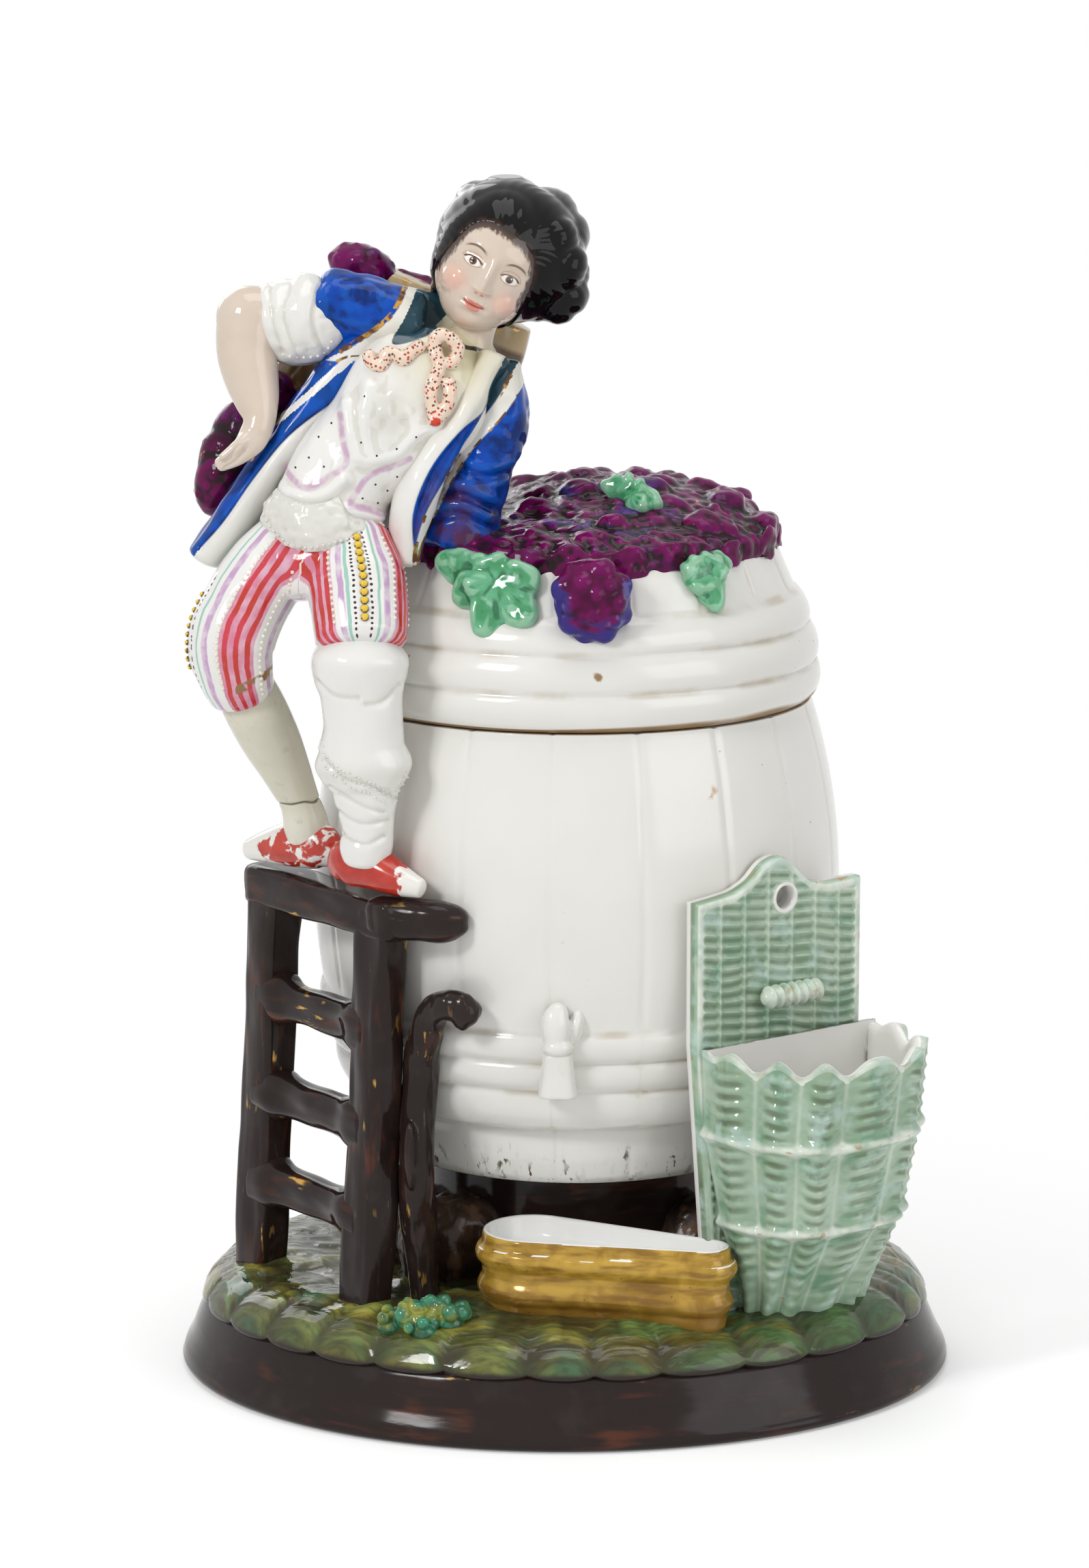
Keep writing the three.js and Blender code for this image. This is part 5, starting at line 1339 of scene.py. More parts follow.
# %% Grape heap
HEAP_EDGE = 49.5
heap_clay += knobs([low_mound], 150, (1.5, 2.9), 3, 0.3, LID_TOP - 1.5)
heap_clay += knobs([high_mound], 240, (1.3, 2.8), 5, 0.25, LID_TOP + 6)
heap = fuse("grape_heap", pressed(*heap_clay), soften=16)
spots = spots_of(heap)
spots[:, 2] = np.maximum(spots[:, 2], LID_TOP - 2.4 + 2.2 * grain(spots * (1, 1, 0), 13, 2))
reach = about_axis(spots)[1]
spots[:, :2] -= (spots[:, :2] - BARREL_AT) * (0.7 * np.maximum(reach - HEAP_EDGE, 0) / reach)[:, None]
put_spots(heap, spots)
carve(heap, lambda p, n: 0.7 * grain(p, 4.2, 3) + 0.4 * grain(p, 2.0, 8))
x, y, _ = spots_of(heap).T
keep(heap, crown=crowns(heap), violet=0.65 * hump(np.hypot(x - 4, (y + 12) * 1.3), 26) + 0.25)
fire(heap, "grape_heap", "cover", GRAPE)

# %% Hanging bunch
BUNCH_AT = on_lid(3.2, -57, -6.6)
BUNCH_RADII = np.array((10.3, 7.6, 11.1))
bunch_mound = (BUNCH_AT, BUNCH_RADII - 0.9, -8)
bunch_clay = [ball(*bunch_mound, sides=48)] + knobs([bunch_mound], 30, (2.4, 4.6), 8, 0.42)
bunch = fuse("hanging_bunch", pressed(*bunch_clay), voxel=0.4, soften=26)
spots = spots_of(bunch) - BUNCH_AT
radial = np.hypot(spots[:, 0] / BUNCH_RADII[0], (spots[:, 2] - 2) / BUNCH_RADII[2])
violet = 3.2 * (radial - 0.62) + 0.6 - np.clip(spots[:, 2] - 4, 0, 9) * 0.3 + 0.3 * grain(spots, 5, 2)
# The hanging bunch's crowns are raised, so it takes less of the painted shade in the creases.
keep(bunch, crown=0.3 + 0.7 * crowns(bunch), violet=np.clip(violet, 0, 1.6))
fire(bunch, "hanging_bunch", "cover", GRAPE)

# %% [markdown]
# Vine leaves were cut from thin clay and pressed on. Each is a few flat lobes that spread from one
# point and follow the surface behind, with veins drawn in and the edge pinched into small teeth. The
# mint green glaze stays pale on the veins and pools darker beside them.

# %% Leaf glaze
glaze = Glaze("leaf glaze", 0.08)
glaze.coat((0.045, 0.270, 0.105))
glaze.coat((0.115, 0.400, 0.215), glaze.patches(5, 0.35, 0.65, seed=2, twist=0.5))
glaze.coat((0.33, 0.58, 0.40), glaze.mark("crown", 0.75, 1.15, 0.6))
glaze.coat((0.012, 0.125, 0.050), glaze.mark("crown", 0.42, 0.05, 0.85))
glaze.coat((0.34, 0.60, 0.44), glaze.patches(4, 0.58, 0.70, 0.6, seed=8))
LEAF = glaze.done()
print("leaf glaze with", len(glaze.tree.nodes), "shader nodes")


# %% Leaves
LEAF_THICK = 2.1
# Each lobe: where its tip lies in the front view, and half its width.
LEFT_LOBES = [
    (-31, 209.5, 4.6), (-27, 201, 4.8), (-24, 206, 6), (-20, 192.4, 4.6), (-19, 200, 7),
    (-8, 196, 4.6), (-11, 203, 6), (-6.2, 205.5, 5), (-17, 211.5, 5.6),
]
RIGHT_LOBES = [
    (28.8, 207.6, 4.2), (33.4, 211, 4.6), (39, 208.6, 4.2), (36.6, 197.4, 3.2), (31.4, 202.6, 3.8),
    (35.4, 203.4, 5),
]
TOP_LOBES = [(9.6, 224.6, 3.4), (13, 223.6, 4.4), (18, 222.2, 4.4), (23, 220.8, 3.4), (19.6, 219.8, 3)]


def to_line(spots, line):
    """Front view only: distance to a line of (x, z) points, and the side, +1 to the left of its run."""
    flat = spots[:, [0, 2]]
    line = np.array(line, float)
    nearest, side = np.full(len(flat), 1e9), np.ones(len(flat))
    for a, b in zip(line, line[1:]):
        run = b - a
        t = np.clip((flat - a) @ run / (run @ run), 0, 1)
        away = flat - a - t[:, None] * run
        distance = np.hypot(away[:, 0], away[:, 1])
        left = np.where(run[0] * away[:, 1] - run[1] * away[:, 0] >= 0, 1, -1)
        side = np.where(distance < nearest, left, side)
        nearest = np.minimum(distance, nearest)
    return nearest, side


def staves_front(x, z):
    """How far to the front the lid's staves or hoops lie at a place in the front view."""
    out = np.interp(z - SEAM_Z, [*LID_HOOPS, 38], [*(r + 0.8 for r in LID_GROOVES), 51.5])
    return BARREL_AT[1] - math.sqrt(max(1, out**2 - (x - BARREL_AT[0]) ** 2))


def top_front(x, z):
    """The heap's slope under the small leaf on its top."""
    return np.interp(z, [217, 227], [-20.5, 1.0])


def vine_leaf(name, foot, lobes, front=staves_front, veined=0.25):
    """Flat lobes from a foot in the front view, with veins drawn in."""
    clay = []
    for x, z, half in lobes:
        row = []
        for t, swell in ((0, 0.8), (0.35, 1.05), (0.7, 1.0), (0.92, 0.6)):
            px, pz = foot[0] + (x - foot[0]) * t, foot[1] + (z - foot[1]) * t
            row.append([px, front(px, pz) - 0.6, pz, half * swell, LEAF_THICK])
        clay.append(limb(row, (z - foot[1], 0, foot[0] - x), power=2.6, dome=0.6))
    piece = fuse(name, pressed(*clay), voxel=0.4, soften=22)
    spots = spots_of(piece)
    vein = np.min([to_line(spots, [foot, (x, z)])[0] for x, z, _ in lobes], axis=0)
    angle = np.arctan2(spots[:, 2] - foot[1], spots[:, 0] - foot[0])

    def marks(p, n):
        teeth = np.clip(1.2 - 1.6 * abs(n[:, 1]), 0, 1) * np.sin(9 * angle + 2 * grain(p, 6, 5))
        veins = veined * (0.28 * hump(vein, 0.9) - 0.3 * hump(vein - 2, 1.1))
        return veins + 0.4 * grain(p, 4, 3) + 0.25 * teeth

    carve(piece, marks)
    sponge(piece, 3)
    keep(piece, crown=crowns(piece, 12))
    fire(piece, name, "cover", LEAF)


vine_leaf("leaf_left", (-17, 206), LEFT_LOBES, veined=0.45)
vine_leaf("leaf_right", (34, 207), RIGHT_LOBES)
vine_leaf("leaf_top", (16, 223), TOP_LOBES, top_front)

# %% [markdown]
# The picker is made like the real one, limb by limb. A station is a section across a limb or a garment,
# in millimetres from the middle of the lid's foot. Painted borders are lines in the front view: each
# point stores how far it lies inside a painted area, and the glaze switches colour where that is zero,
# which stays sharp however coarse the mesh is. Enamel beads are real balls, half sunk.

# %% Tools for the figure
from mathutils.bvhtree import BVHTree

FIGURE_AT = np.array([*BARREL_AT, 128.0])
LEAN = (0.77, 0, -0.64)
FRONT_OF_ALL = -300


def standing(stations):
    row = np.array(stations, float)
    row[:, :3] += FIGURE_AT
    return row


def roll(stations, across=(1, 0, 0), **kind):
    return limb(standing(stations), across, **kind)


def lump(centre, radii, tilt=0, sides=28):
    return ball(FIGURE_AT + centre, radii, tilt, sides)


def inside_of(spots, line):
    """Signed distance to a front-view line, positive on its left."""
    distance, side = to_line(spots, eased(line, 5))
    return distance * side


def ridges(spots, lines, width):
    """Soft ridges along front-view lines."""
    return sum(hump(to_line(spots, eased(line, 5))[0], width) for line in lines)


def evenly(line, gap):
    """Points a gap apart along a smooth line of any dimension."""
    line = eased(line, 8)
    return places_on(line, np.arange(gap / 2, run_of(line)[-1], gap))


def clay_of(piece):
    return spots_of(piece), [tuple(face.vertices) for face in piece.data.polygons]


def search_tree(clay):
    return BVHTree.FromPolygons(clay[0].tolist(), clay[1])


def seen_spots(piece, line):
    """Where the front view's points hit the piece."""
    tree = search_tree(clay_of(piece))
    hits = [tree.ray_cast((x, FRONT_OF_ALL, z), (0, 1, 0))[0] for x, z in line]
    return [np.array(hit) for hit in hits if hit is not None]


def studded(piece, places, size, sides=10):
    """Joins beads to a piece. Returns which points belong to beads. The size is one or a row."""
    before = len(piece.data.vertices)
    sizes = np.zeros(len(places)) + size
    beads = [ball(at, (r, r, r), sides=sides) for at, r in zip(places, sizes)]
    beaded = make_object("beaded", pressed(clay_of(piece), *beads))
    piece.data = beaded.data
    bpy.data.objects.remove(beaded)
    return np.arange(len(piece.data.vertices)) >= before


# %% [markdown]
# Waistcoat and shirt are one front. The glaze is white, cream by the neck, with the waistcoat's seams
# drawn in lilac and a few black dots. Collar, lapels and the two points of the hem are soft ridges, and
# the shirt's frill between them is a patch of small bumps.

# %% Painted lines of the front
STRIP_LEFT = [
    (-16, 255.8), (-18.5, 250.8), (-19.3, 246.6), (-25.6, 241.1), (-33.1, 231.7), (-37, 221.3),
    (-36.8, 212), (-36.4, 200),
]
STRIP_RIGHT = [
    (-13.4, 253.5), (-17, 247.7), (-22.5, 240.4), (-28.8, 230), (-33.9, 221.2), (-36.4, 213), (-36.2, 200),
]
PIPING_RIGHT = [
    (-11.6, 249.2), (-14.6, 244.9), (-22.5, 236.1), (-27.6, 228.4), (-31.5, 220.4), (-35.2, 212.5),
    (-36, 200),
]
LAPEL_EDGE = [
    (-20.5, 254), (-27, 244), (-31.3, 239), (-35.1, 234.9), (-38.5, 229.9), (-39.4, 222), (-38.5, 210),
]
RIGHT_HEM = [
    (-44, 256.4), (-48.1, 253.4), (-56.6, 247), (-67.3, 238.9), (-75.9, 228.5), (-83.9, 217.3),
    (-89, 211.6),
]
RIGHT_TOP = [
    (-45.4, 255.6), (-50.3, 258.3), (-57.1, 256.3), (-66, 249.6), (-72.6, 237.9), (-81.9, 226.5),
    (-89, 216.5),
]
COLLAR_SEAMS = [
    [(-52.8, 247.5), (-52.4, 242.5), (-50.3, 234.9)],
    [(-47.7, 251.3), (-48.6, 243), (-47.8, 236.6)],
    [(-48.3, 233.9), (-41.9, 235.2), (-35.1, 240.8), (-31.3, 242.5)],
]
LILAC_SEAMS = [
    [
        (-54.5, 245), (-53.7, 238.7), (-52.9, 233.9), (-57.5, 230.3), (-62.6, 227.8), (-66.4, 229.9),
        (-69.6, 233),
    ],
    [
        (-37.7, 234.5), (-42.7, 232.4), (-47.8, 230.3), (-50.3, 227), (-52, 223.7), (-48.7, 222.9),
        (-42.7, 220),
    ],
]
HEM_POINTS = [
    [(-71.5, 229.1), (-67.2, 226.3), (-63, 225.3), (-57.9, 226.3), (-54, 229.5)],
    [(-53, 222.6), (-48.6, 220.9), (-42.6, 219)],
]
COAT_DOTS = [
    (-48.5, 249.6), (-56.7, 242.8), (-59.8, 239.5), (-62.1, 234.7), (-58.4, 232.8), (-65.4, 232.2),
    (-62.7, 230.4), (-49.4, 238.6), (-36.1, 239.9), (-40.8, 237.1), (-45.6, 235.5), (-40.8, 230),
    (-46, 228.3), (-43.2, 226.5), (-49.1, 225.1), (-45.5, 223.6),
]
NECK_FOOT = (-24.5, 261.5)
TEAL_PATCH = [
    (-36.3, 273.9), (-38.9, 268.1), (-42, 261.6), (-35.7, 262.6), (-31.5, 264.6), (-28.5, 268.8),
    (-31.1, 272.4), (-36.3, 273.9),
]
LAPEL_OUTER = [(-38.2, 276), (-41.5, 268.7), (-46.8, 263.6), (-54.6, 257.1), (-58, 254)]
LAPEL_INNER = [(-35.8, 275), (-38.9, 268.1), (-42.8, 263.6), (-48.1, 259.8), (-51.5, 257)]
COLLAR_GOLD = [(-38.5, 275.5), (-41.6, 269.2), (-48.1, 263.4), (-54.5, 259.4)]
NECK_CRACK = [(-27.6, 262.6), (-24.7, 260.6), (-22, 259.8), (-19.3, 258.8), (-15.8, 256.3)]
print(len(COAT_DOTS), "painted dots on the waistcoat")

# %% White glaze of the shirt
glaze = Glaze("white glaze of the shirt", 0.09, slot="white_glaze")
glaze.coat((0.80, 0.79, 0.76))
glaze.coat((0.74, 0.735, 0.70), glaze.cloud(12))
glaze.coat((0.60, 0.585, 0.52), glaze.mark("rough", 0.2, 0.9), 0.6)
# Painted shade: warm grey in the creases of the folds.
glaze.coat((0.50, 0.46, 0.36), glaze.mark("crown", 0.35, 0.0, 0.32))
glaze.coat((0.66, 0.60, 0.38), glaze.value("cream"), 0.9)
glaze.coat((0.52, 0.28, 0.47), glaze.mark("lilac", 0.3, 0.9), glaze.patches(3, 0.35, 0.6, 0.75, 0.25, seed=5))
glaze.coat((0.020, 0.060, 0.085), glaze.mark("teal", -0.2, 0.2))
glaze.coat((0.055, 0.045, 0.035), glaze.mark("lead", 0.3, 0.6))
front_view, nearest = glaze.stretched((1, 0, 1)), 1e3
for x, z in COAT_DOTS:
    away = glaze.add("ShaderNodeVectorMath", [front_view, (x, 0, z)], operation="DISTANCE").outputs["Value"]
    nearest = glaze.math("MINIMUM", nearest, away)
glaze.coat((0.02, 0.015, 0.015), glaze.within(nearest, 0.2, 0.34), glaze.value("front"))
SHIRT = glaze.done(height=glaze.cloud(1.6), depth=0.03)
print("glaze of the shirt with", len(glaze.tree.nodes), "shader nodes")

# %% Waistcoat
TORSO = [
    [-62, -38, 88, 13.5, 10.5], [-57, -34.5, 101, 13.6, 11], [-48, -32, 110, 15.5, 12],
    [-39, -30, 120, 17.5, 12], [-32, -28, 127, 15, 10.5], [-27.5, -26, 132, 7, 6],
]
PLAIN_WHITE = {"lilac": 0, "cream": 0, "lead": 0, "front": 0, "teal": -1}


def by_neck(spots, width):
    return hump(np.hypot(spots[:, 0] - NECK_FOOT[0], spots[:, 2] - NECK_FOOT[1]), width)


def frill(spots):
    return hump(np.hypot(spots[:, 0] + 43, (spots[:, 2] - 245) * 0.75), 5.5)


def waistcoat_marks(p, n):
    lapel = np.clip(inside_of(p, LAPEL_EDGE) / 1.2 + 0.5, 0, 1)
    sewn_on = 1.15 * ridges(p, COLLAR_SEAMS, 1.5) + 1.7 * ridges(p, HEM_POINTS, 1.6) + 1.2 * lapel
    folds = 0.6 * grain(p, (5, 9, 9), 5) + 0.25 * grain(p, (2.5, 9, 4), 8)
    return np.clip(-1.5 * n[:, 1], 0, 1) * (sewn_on + frill(p) * (0.55 * grain(p, 2.5, 2) + 0.5) + folds)


waistcoat = fuse("waistcoat", roll(TORSO, LEAN), voxel=0.45, soften=5)
carve(waistcoat, waistcoat_marks)
sponge(waistcoat, 2)
spots = spots_of(waistcoat)
near = normals_of(waistcoat)[:, 1] < 0.3
lilac = np.maximum(*[ridges(spots, [seam], 1.05) for seam in LILAC_SEAMS])
keep(waistcoat, lilac=lilac * near, rough=frill(spots) * near, cream=np.clip(1.15 * by_neck(spots, 13), 0, 1))
keep(
    waistcoat, teal=np.where(near, inside_of(spots, TEAL_PATCH), -1),
    lead=ridges(spots, [NECK_CRACK], 0.5) * near
)
keep(waistcoat, front=near, crown=crowns(waistcoat, 12))
fire(waistcoat, "waistcoat", "cover", SHIRT)

# %% [markdown]
# The coat is cobalt blue, laid on thick so that it mottles, turned back to show a white lining and
# edged with gilding that has worn brown. Back, right front and left front are three slabs fused, and
# the sleeves are limbs. All of them share the painted borders, so these run on from piece to piece.

# %% Cobalt glaze
glaze = Glaze("cobalt glaze", 0.06, 0.18)
glaze.coat((0.001, 0.024, 0.160))
glaze.coat((0.002, 0.060, 0.400), glaze.patches(7, 0.38, 0.62, detail=4, seed=2, twist=0.8))
glaze.coat((0.004, 0.014, 0.080), glaze.patches(4, 0.52, 0.7, 0.75, detail=4, seed=5, twist=0.8))
# Painted highlight: a brighter blue on the raised folds.
glaze.coat((0.008, 0.120, 0.540), glaze.mark("crown", 0.7, 1.15, 0.4))
glaze.coat((0.085, 0.022, 0.070), glaze.value("violet"), glaze.patches(5, 0.4, 0.6, seed=8))
teal = glaze.over(glaze.cloud(4, seed=9), (0.012, 0.035, 0.060), (0.030, 0.085, 0.105))
glaze.coat(teal, glaze.mark("teal", -0.2, 0.2))
lining = glaze.over(glaze.cloud(10), (0.81, 0.80, 0.77), (0.72, 0.71, 0.66))
lining = glaze.over(glaze.both(glaze.value("cream"), 0.8), lining, (0.66, 0.61, 0.42))
glaze.coat(lining, glaze.mark("white", -0.22, 0.22))
worn = glaze.both(glaze.mark("gilt", 0.35, 0.65), glaze.patches(2.2, 0.4, 0.5, seed=12))
metal = glaze.both(worn, glaze.patches(3, 0.45, 0.6, detail=2, seed=14))
glaze.coat(glaze.over(metal, (0.13, 0.055, 0.025), (0.60, 0.34, 0.08)), worn)
COBALT = glaze.done(metal=glaze.both(metal, 0.8))
print("cobalt glaze with", len(glaze.tree.nodes), "shader nodes")

# %% Painted borders of the coat
UNPAINTED = -5


def coat_white(spots, strip_left, piping):
    """How far each point lies inside the white lining and collar, by side of the coat."""
    x, z = spots[:, 0], spots[:, 2]
    on_collar = inside_of(spots, COLLAR_GOLD) - 0.5
    by_side = np.where(z < 256, -strip_left, np.where(x > -34, 3, on_collar))
    outer, top = inside_of(spots, LAPEL_OUTER), inside_of(spots, RIGHT_TOP)
    lapel = np.minimum(outer, -inside_of(spots, LAPEL_INNER))
    below_lapel = np.minimum(np.minimum(-top, outer), x + 53)
    right = [inside_of(spots, RIGHT_HEM), lapel, below_lapel, np.minimum(on_collar, z - 257)]
    return np.where(x > -42, np.maximum(by_side, piping), np.max(right, axis=0))


def paint_coat(piece):
    """Keeps what the cobalt glaze reads."""
    spots = spots_of(piece)
    x, z = spots[:, 0], spots[:, 2]
    near = normals_of(piece)[:, 1] < 0.35
    strip_left, strip_right = inside_of(spots, STRIP_LEFT), inside_of(spots, STRIP_RIGHT)
    piping = np.minimum(strip_right, -inside_of(spots, PIPING_RIGHT))
    white = np.where(near, coat_white(spots, strip_left, piping), UNPAINTED)
    strip = np.where(z > 246, np.minimum(strip_left, -strip_right), UNPAINTED)
    teal = np.maximum(inside_of(spots, TEAL_PATCH), strip)
    keep(
        piece, teal=np.where(near, teal, UNPAINTED),
        white=np.where(teal > 0, np.minimum(white, -teal), white)
    )
    gilt = ridges(spots, [COLLAR_GOLD], 0.8) + 0.8 * ridges(spots, [PIPING_RIGHT], 0.4)
    gilt = gilt + ridges(spots, [STRIP_RIGHT], 0.6) * (grain(spots, 4, 6) > -0.1)
    gilt = gilt + 0.75 * ridges(spots, [RIGHT_TOP], 0.5) * (grain(spots, 5, 9) > -0.2)
    violet = np.clip(1.1 * hump(z - 213, 5) + 0.8 * hump(np.hypot(x + 28, z - 223), 6), 0, 1) * (x > -42)
    keep(piece, gilt=gilt * near, violet=violet, cream=by_neck(spots, 14), crown=crowns(piece, 14))


# %% Coat and sleeves
COAT = {
    "back": [
        [-25, -18, 135, 9, 5.5], [-33, -18, 129, 21, 7], [-43, -20, 116, 19, 7], [-58, -24, 99, 16.5, 7],
        [-72, -25, 80, 19, 6],
    ],
    "right": [
        [-46, -24, 142, 5, 7], [-55, -25, 129, 5.4, 8], [-66, -27, 116, 5.2, 8], [-78.5, -30, 99, 5, 7],
        [-91, -32, 80.5, 5, 5],
    ],
    "left": [
        [-21, -29, 129, 4.5, 8], [-28, -34, 116, 4.2, 8], [-36, -38, 104, 5, 7],
        [-40.5, -40, 93, 5.2, 6.4], [-42, -41, 81, 4, 5],
    ],
}
SLEEVE_RIGHT = [
    [-40, -26, 137, 8, 8], [-50, -26, 140, 8.3, 8.5], [-56, -25, 141.3, 8.6, 8.6],
    [-61, -24, 142, 8.6, 8.6],
]
SLEEVE_LEFT = [
    [-17, -27, 128, 3, 5], [-18.5, -27.5, 122, 6.4, 8], [-19.5, -28, 113, 7.4, 8.6],
    [-24, -30, 102, 8.2, 8.8], [-28, -31, 91, 9, 9], [-30, -32, 84, 9.2, 9],
]
ELBOW_FOLDS = [
    [(-30, 226), (-24, 224.5), (-17, 221)], [(-33, 219), (-26, 220.5), (-19, 217)],
    [(-27, 233), (-20, 229.5), (-14, 230)],
]
coat = fuse("coat", pressed(*[roll(row, LEAN) for row in COAT.values()]), soften=5)


def coat_marks(p, n):
    strip = np.clip(np.minimum(inside_of(p, STRIP_LEFT), -inside_of(p, STRIP_RIGHT)), 0, 1.5)
    folds = 0.7 * grain(p, (9, 9, 18), 4) + 0.45 * grain(p, (4, 4, 9), 7)
    return folds - np.clip(-1.5 * n[:, 1], 0, 1) * (0.7 * strip + 0.6 * ridges(p, [RIGHT_HEM], 0.6))


def sleeve_marks(p, n):
    """Creases at the elbow, each with a swelling above it."""
    creases = 0.8 * ridges(p + (0, 0, -2.4), ELBOW_FOLDS, 1.5) - ridges(p, ELBOW_FOLDS, 1.2)
    return 0.8 * grain(p, 6, 3) + 0.35 * grain(p, 3, 6) + creases


carve(coat, coat_marks)
paint_coat(coat)
fire(coat, "coat", "cover", COBALT)
for name, row, across in (("sleeve_right", SLEEVE_RIGHT, (0, 0, 1)), ("sleeve_left", SLEEVE_LEFT, (1, 0, 0))):
    sleeve = fuse(name, roll(row, across), voxel=0.45, soften=5)
    carve(sleeve, sleeve_marks)
    paint_coat(sleeve)
    fire(sleeve, name, "cover", COBALT)

# %% [markdown]
# The shirt sleeve is rolled up over the elbow, and the bare forearm hangs down to a hand in which the
# lower bunch rests. The sash is a rough knitted belt with a row of enamel beads along its lower edge.

# %% Rolled sleeve and sash
ROLLED = [
    [-59.5, -24, 140, 8.4, 8.4], [-62.5, -24, 139.3, 10.4, 10], [-68, -24, 138.2, 11.5, 11],
    [-73, -24, 139.3, 10.2, 10], [-77, -24, 141, 7.4, 7.6],
]
CUFF_FOLDS = [
    [(-58.5, 277), (-61, 268), (-58, 257)], [(-66, 279), (-68.5, 270), (-65, 257)],
    [(-72, 277), (-71, 266), (-69, 259)],
]
CUFF_HEM = [(-69.5, 258.5), (-64, 257.6), (-58.8, 258.6), (-56.5, 262)]
SASH = [
    [-58.5, -37, 96, 12.6, 10.4], [-60, -38, 93, 14.8, 12], [-61.5, -40, 88, 15.6, 13],
    [-62, -40, 84.6, 13.6, 12],
]
SASH_BEADS = [
    (-73.5, 221.5), (-70, 217), (-66, 214.6), (-62, 214.2), (-57, 215.1), (-51.9, 216.4), (-46, 217.4),
    (-42, 219.4),
]
SASH_TOP = [
    (-80, 228), (-74, 229.5), (-67.2, 226), (-63, 225), (-58, 226), (-54.6, 227.5), (-52, 221.8),
    (-47, 220), (-40, 218),
]


def rolled_marks(p, n):
    return 0.6 * grain(p, (4.5, 5, 7), 3) + 0.25 * grain(p, 2.2, 5) - 0.7 * ridges(p, CUFF_FOLDS, 0.9)


def knit(p, n):
    return 0.45 * grain(p, (2.4, 2.4, 1.6), 2) + 0.9 * grain(p, (7, 7, 4), 4) + 0.2 * grain(p, 1.2, 6) - 0.6


rolled = fuse("rolled_sleeve", roll(ROLLED, (0, 0, 1)), voxel=0.45)
carve(rolled, rolled_marks)
studded(rolled, seen_spots(rolled, evenly(CUFF_HEM, 1.7)), 0.45)
sash = fuse("sash", roll(SASH, (0.95, 0, -0.3), dome=0.15), voxel=0.45)
# The sash is pushed back where the waistcoat's hem hangs over it.
spots = spots_of(sash)
spots[:, 1] += 9 * np.clip(inside_of(spots, SASH_TOP) / 1.6 + 0.3, 0, 1)
put_spots(sash, spots)
carve(sash, knit)
studded(sash, seen_spots(sash, evenly(SASH_BEADS, 1.45)), 0.5)
for piece, name, rough in ((rolled, "rolled_sleeve", 0.45), (sash, "sash", 0.75)):
    keep(piece, **PLAIN_WHITE, rough=rough, crown=crowns(piece, 12))
    fire(piece, name, "cover", SHIRT)

# %% Arm
UPPER_ARM = [[-69, -24, 139.5, 7.6, 7.6], [-74.5, -24, 139.3, 7.8, 7.8], [-80, -25, 137.5, 6.8, 7]]
FOREARM = [
    [-80.3, -25.4, 138, 7.7, 7.7], [-80.5, -26.2, 134, 7.8, 7.7], [-80.6, -27.2, 130, 7.4, 7.2],
    [-79.5, -29, 124.7, 6.8, 6.6], [-78, -32, 118.7, 5.4, 5.2], [-77.4, -34, 114.8, 4, 4.2],
    [-78.2, -35.5, 111.5, 3.6, 3.6],
]
HAND = [
    [-77.6, -34, 114, 3.6, 3.8], [-78.9, -36, 110.7, 3.7, 3], [-82.3, -37, 107, 2.7, 2.5],
    [-87.2, -38, 104.2, 1.7, 1.7],
]
THUMB = [[-79.5, -37, 111.5, 1.8, 1.8], [-82, -39, 109.5, 1.5, 1.6], [-86.5, -40, 106.2, 0.9, 1]]
FINGERS = [[(-79, 237.5), (-81.5, 234.5), (-83.6, 232.8)], [(-77.5, 236.2), (-80, 233.4), (-82.6, 231.9)]]
elbow = lump((-80.1, -25.2, 138.6), (8.2, 7.9, 8.1))
arm_clay = pressed(roll(UPPER_ARM, (0, 0, 1)), elbow, roll(FOREARM), roll(HAND), roll(THUMB))
arm = fuse("arm_right", arm_clay, voxel=0.35, soften=18)
carve(arm, lambda p, n: 0.12 * grain(p, 9, 3) - 0.45 * ridges(p, FINGERS, 0.45))


def skin_glaze(part):
    glaze = Glaze("skin glaze of the " + part, 0.09, slot="skin_glaze")
    glaze.coat((0.65, 0.56, 0.47))
    glaze.coat((0.63, 0.515, 0.42), glaze.patches(16, 0.3, 0.7, detail=2))
    return glaze


fire(arm, "arm_right", "cover", skin_glaze("arm").done())

# %% [markdown]
# The breeches carry the finest painting: bands of red, pink, lilac and mint that run down each leg,
# rows of tiny black dots, and enamel beads in white and yellow. To paint them, each point stores where
# it lies round its leg, as a sine and a cosine, and how far down. The glaze turns these into degrees
# from the front, so a stripe is a band of degrees that follows the leg's bend.

# %% Places round a limb
def wound(spots, stations, across=(1, 0, 0)):
    """For each point: sideways and forward from the limb's middle, how far along, how far from it."""
    path = eased(stations, 12)[:, :3]
    heading, side, front = bearings(path, across)
    near = np.argmin(np.linalg.norm(spots[:, None] - path, axis=2), axis=1)
    out = spots - path[near]
    sideways, forward, ahead = (np.einsum("ij,ij->i", out, way[near]) for way in (side, front, heading))
    return sideways, forward, run_of(path)[near] + ahead, np.linalg.norm(out, axis=1)


def round_limb(stations, degrees, gap, start, stop):
    """Points down a limb at an angle from its front, just outside it."""
    row = eased(stations, 12)
    _, side, front = bearings(row[:, :3], (1, 0, 0))
    turn = math.radians(degrees)
    line = row[:, :3] + math.sin(turn) * side * (row[:, 3:4] + 1) + math.cos(turn) * front * (row[:, 4:5] + 1)
    return places_on(line, np.arange(start, min(stop, run_of(line)[-1]), gap))


# %% Stripes and dots
# Degrees on the left leg start from here, so that one number says the leg and the place.
LEFT_FROM = 400.0
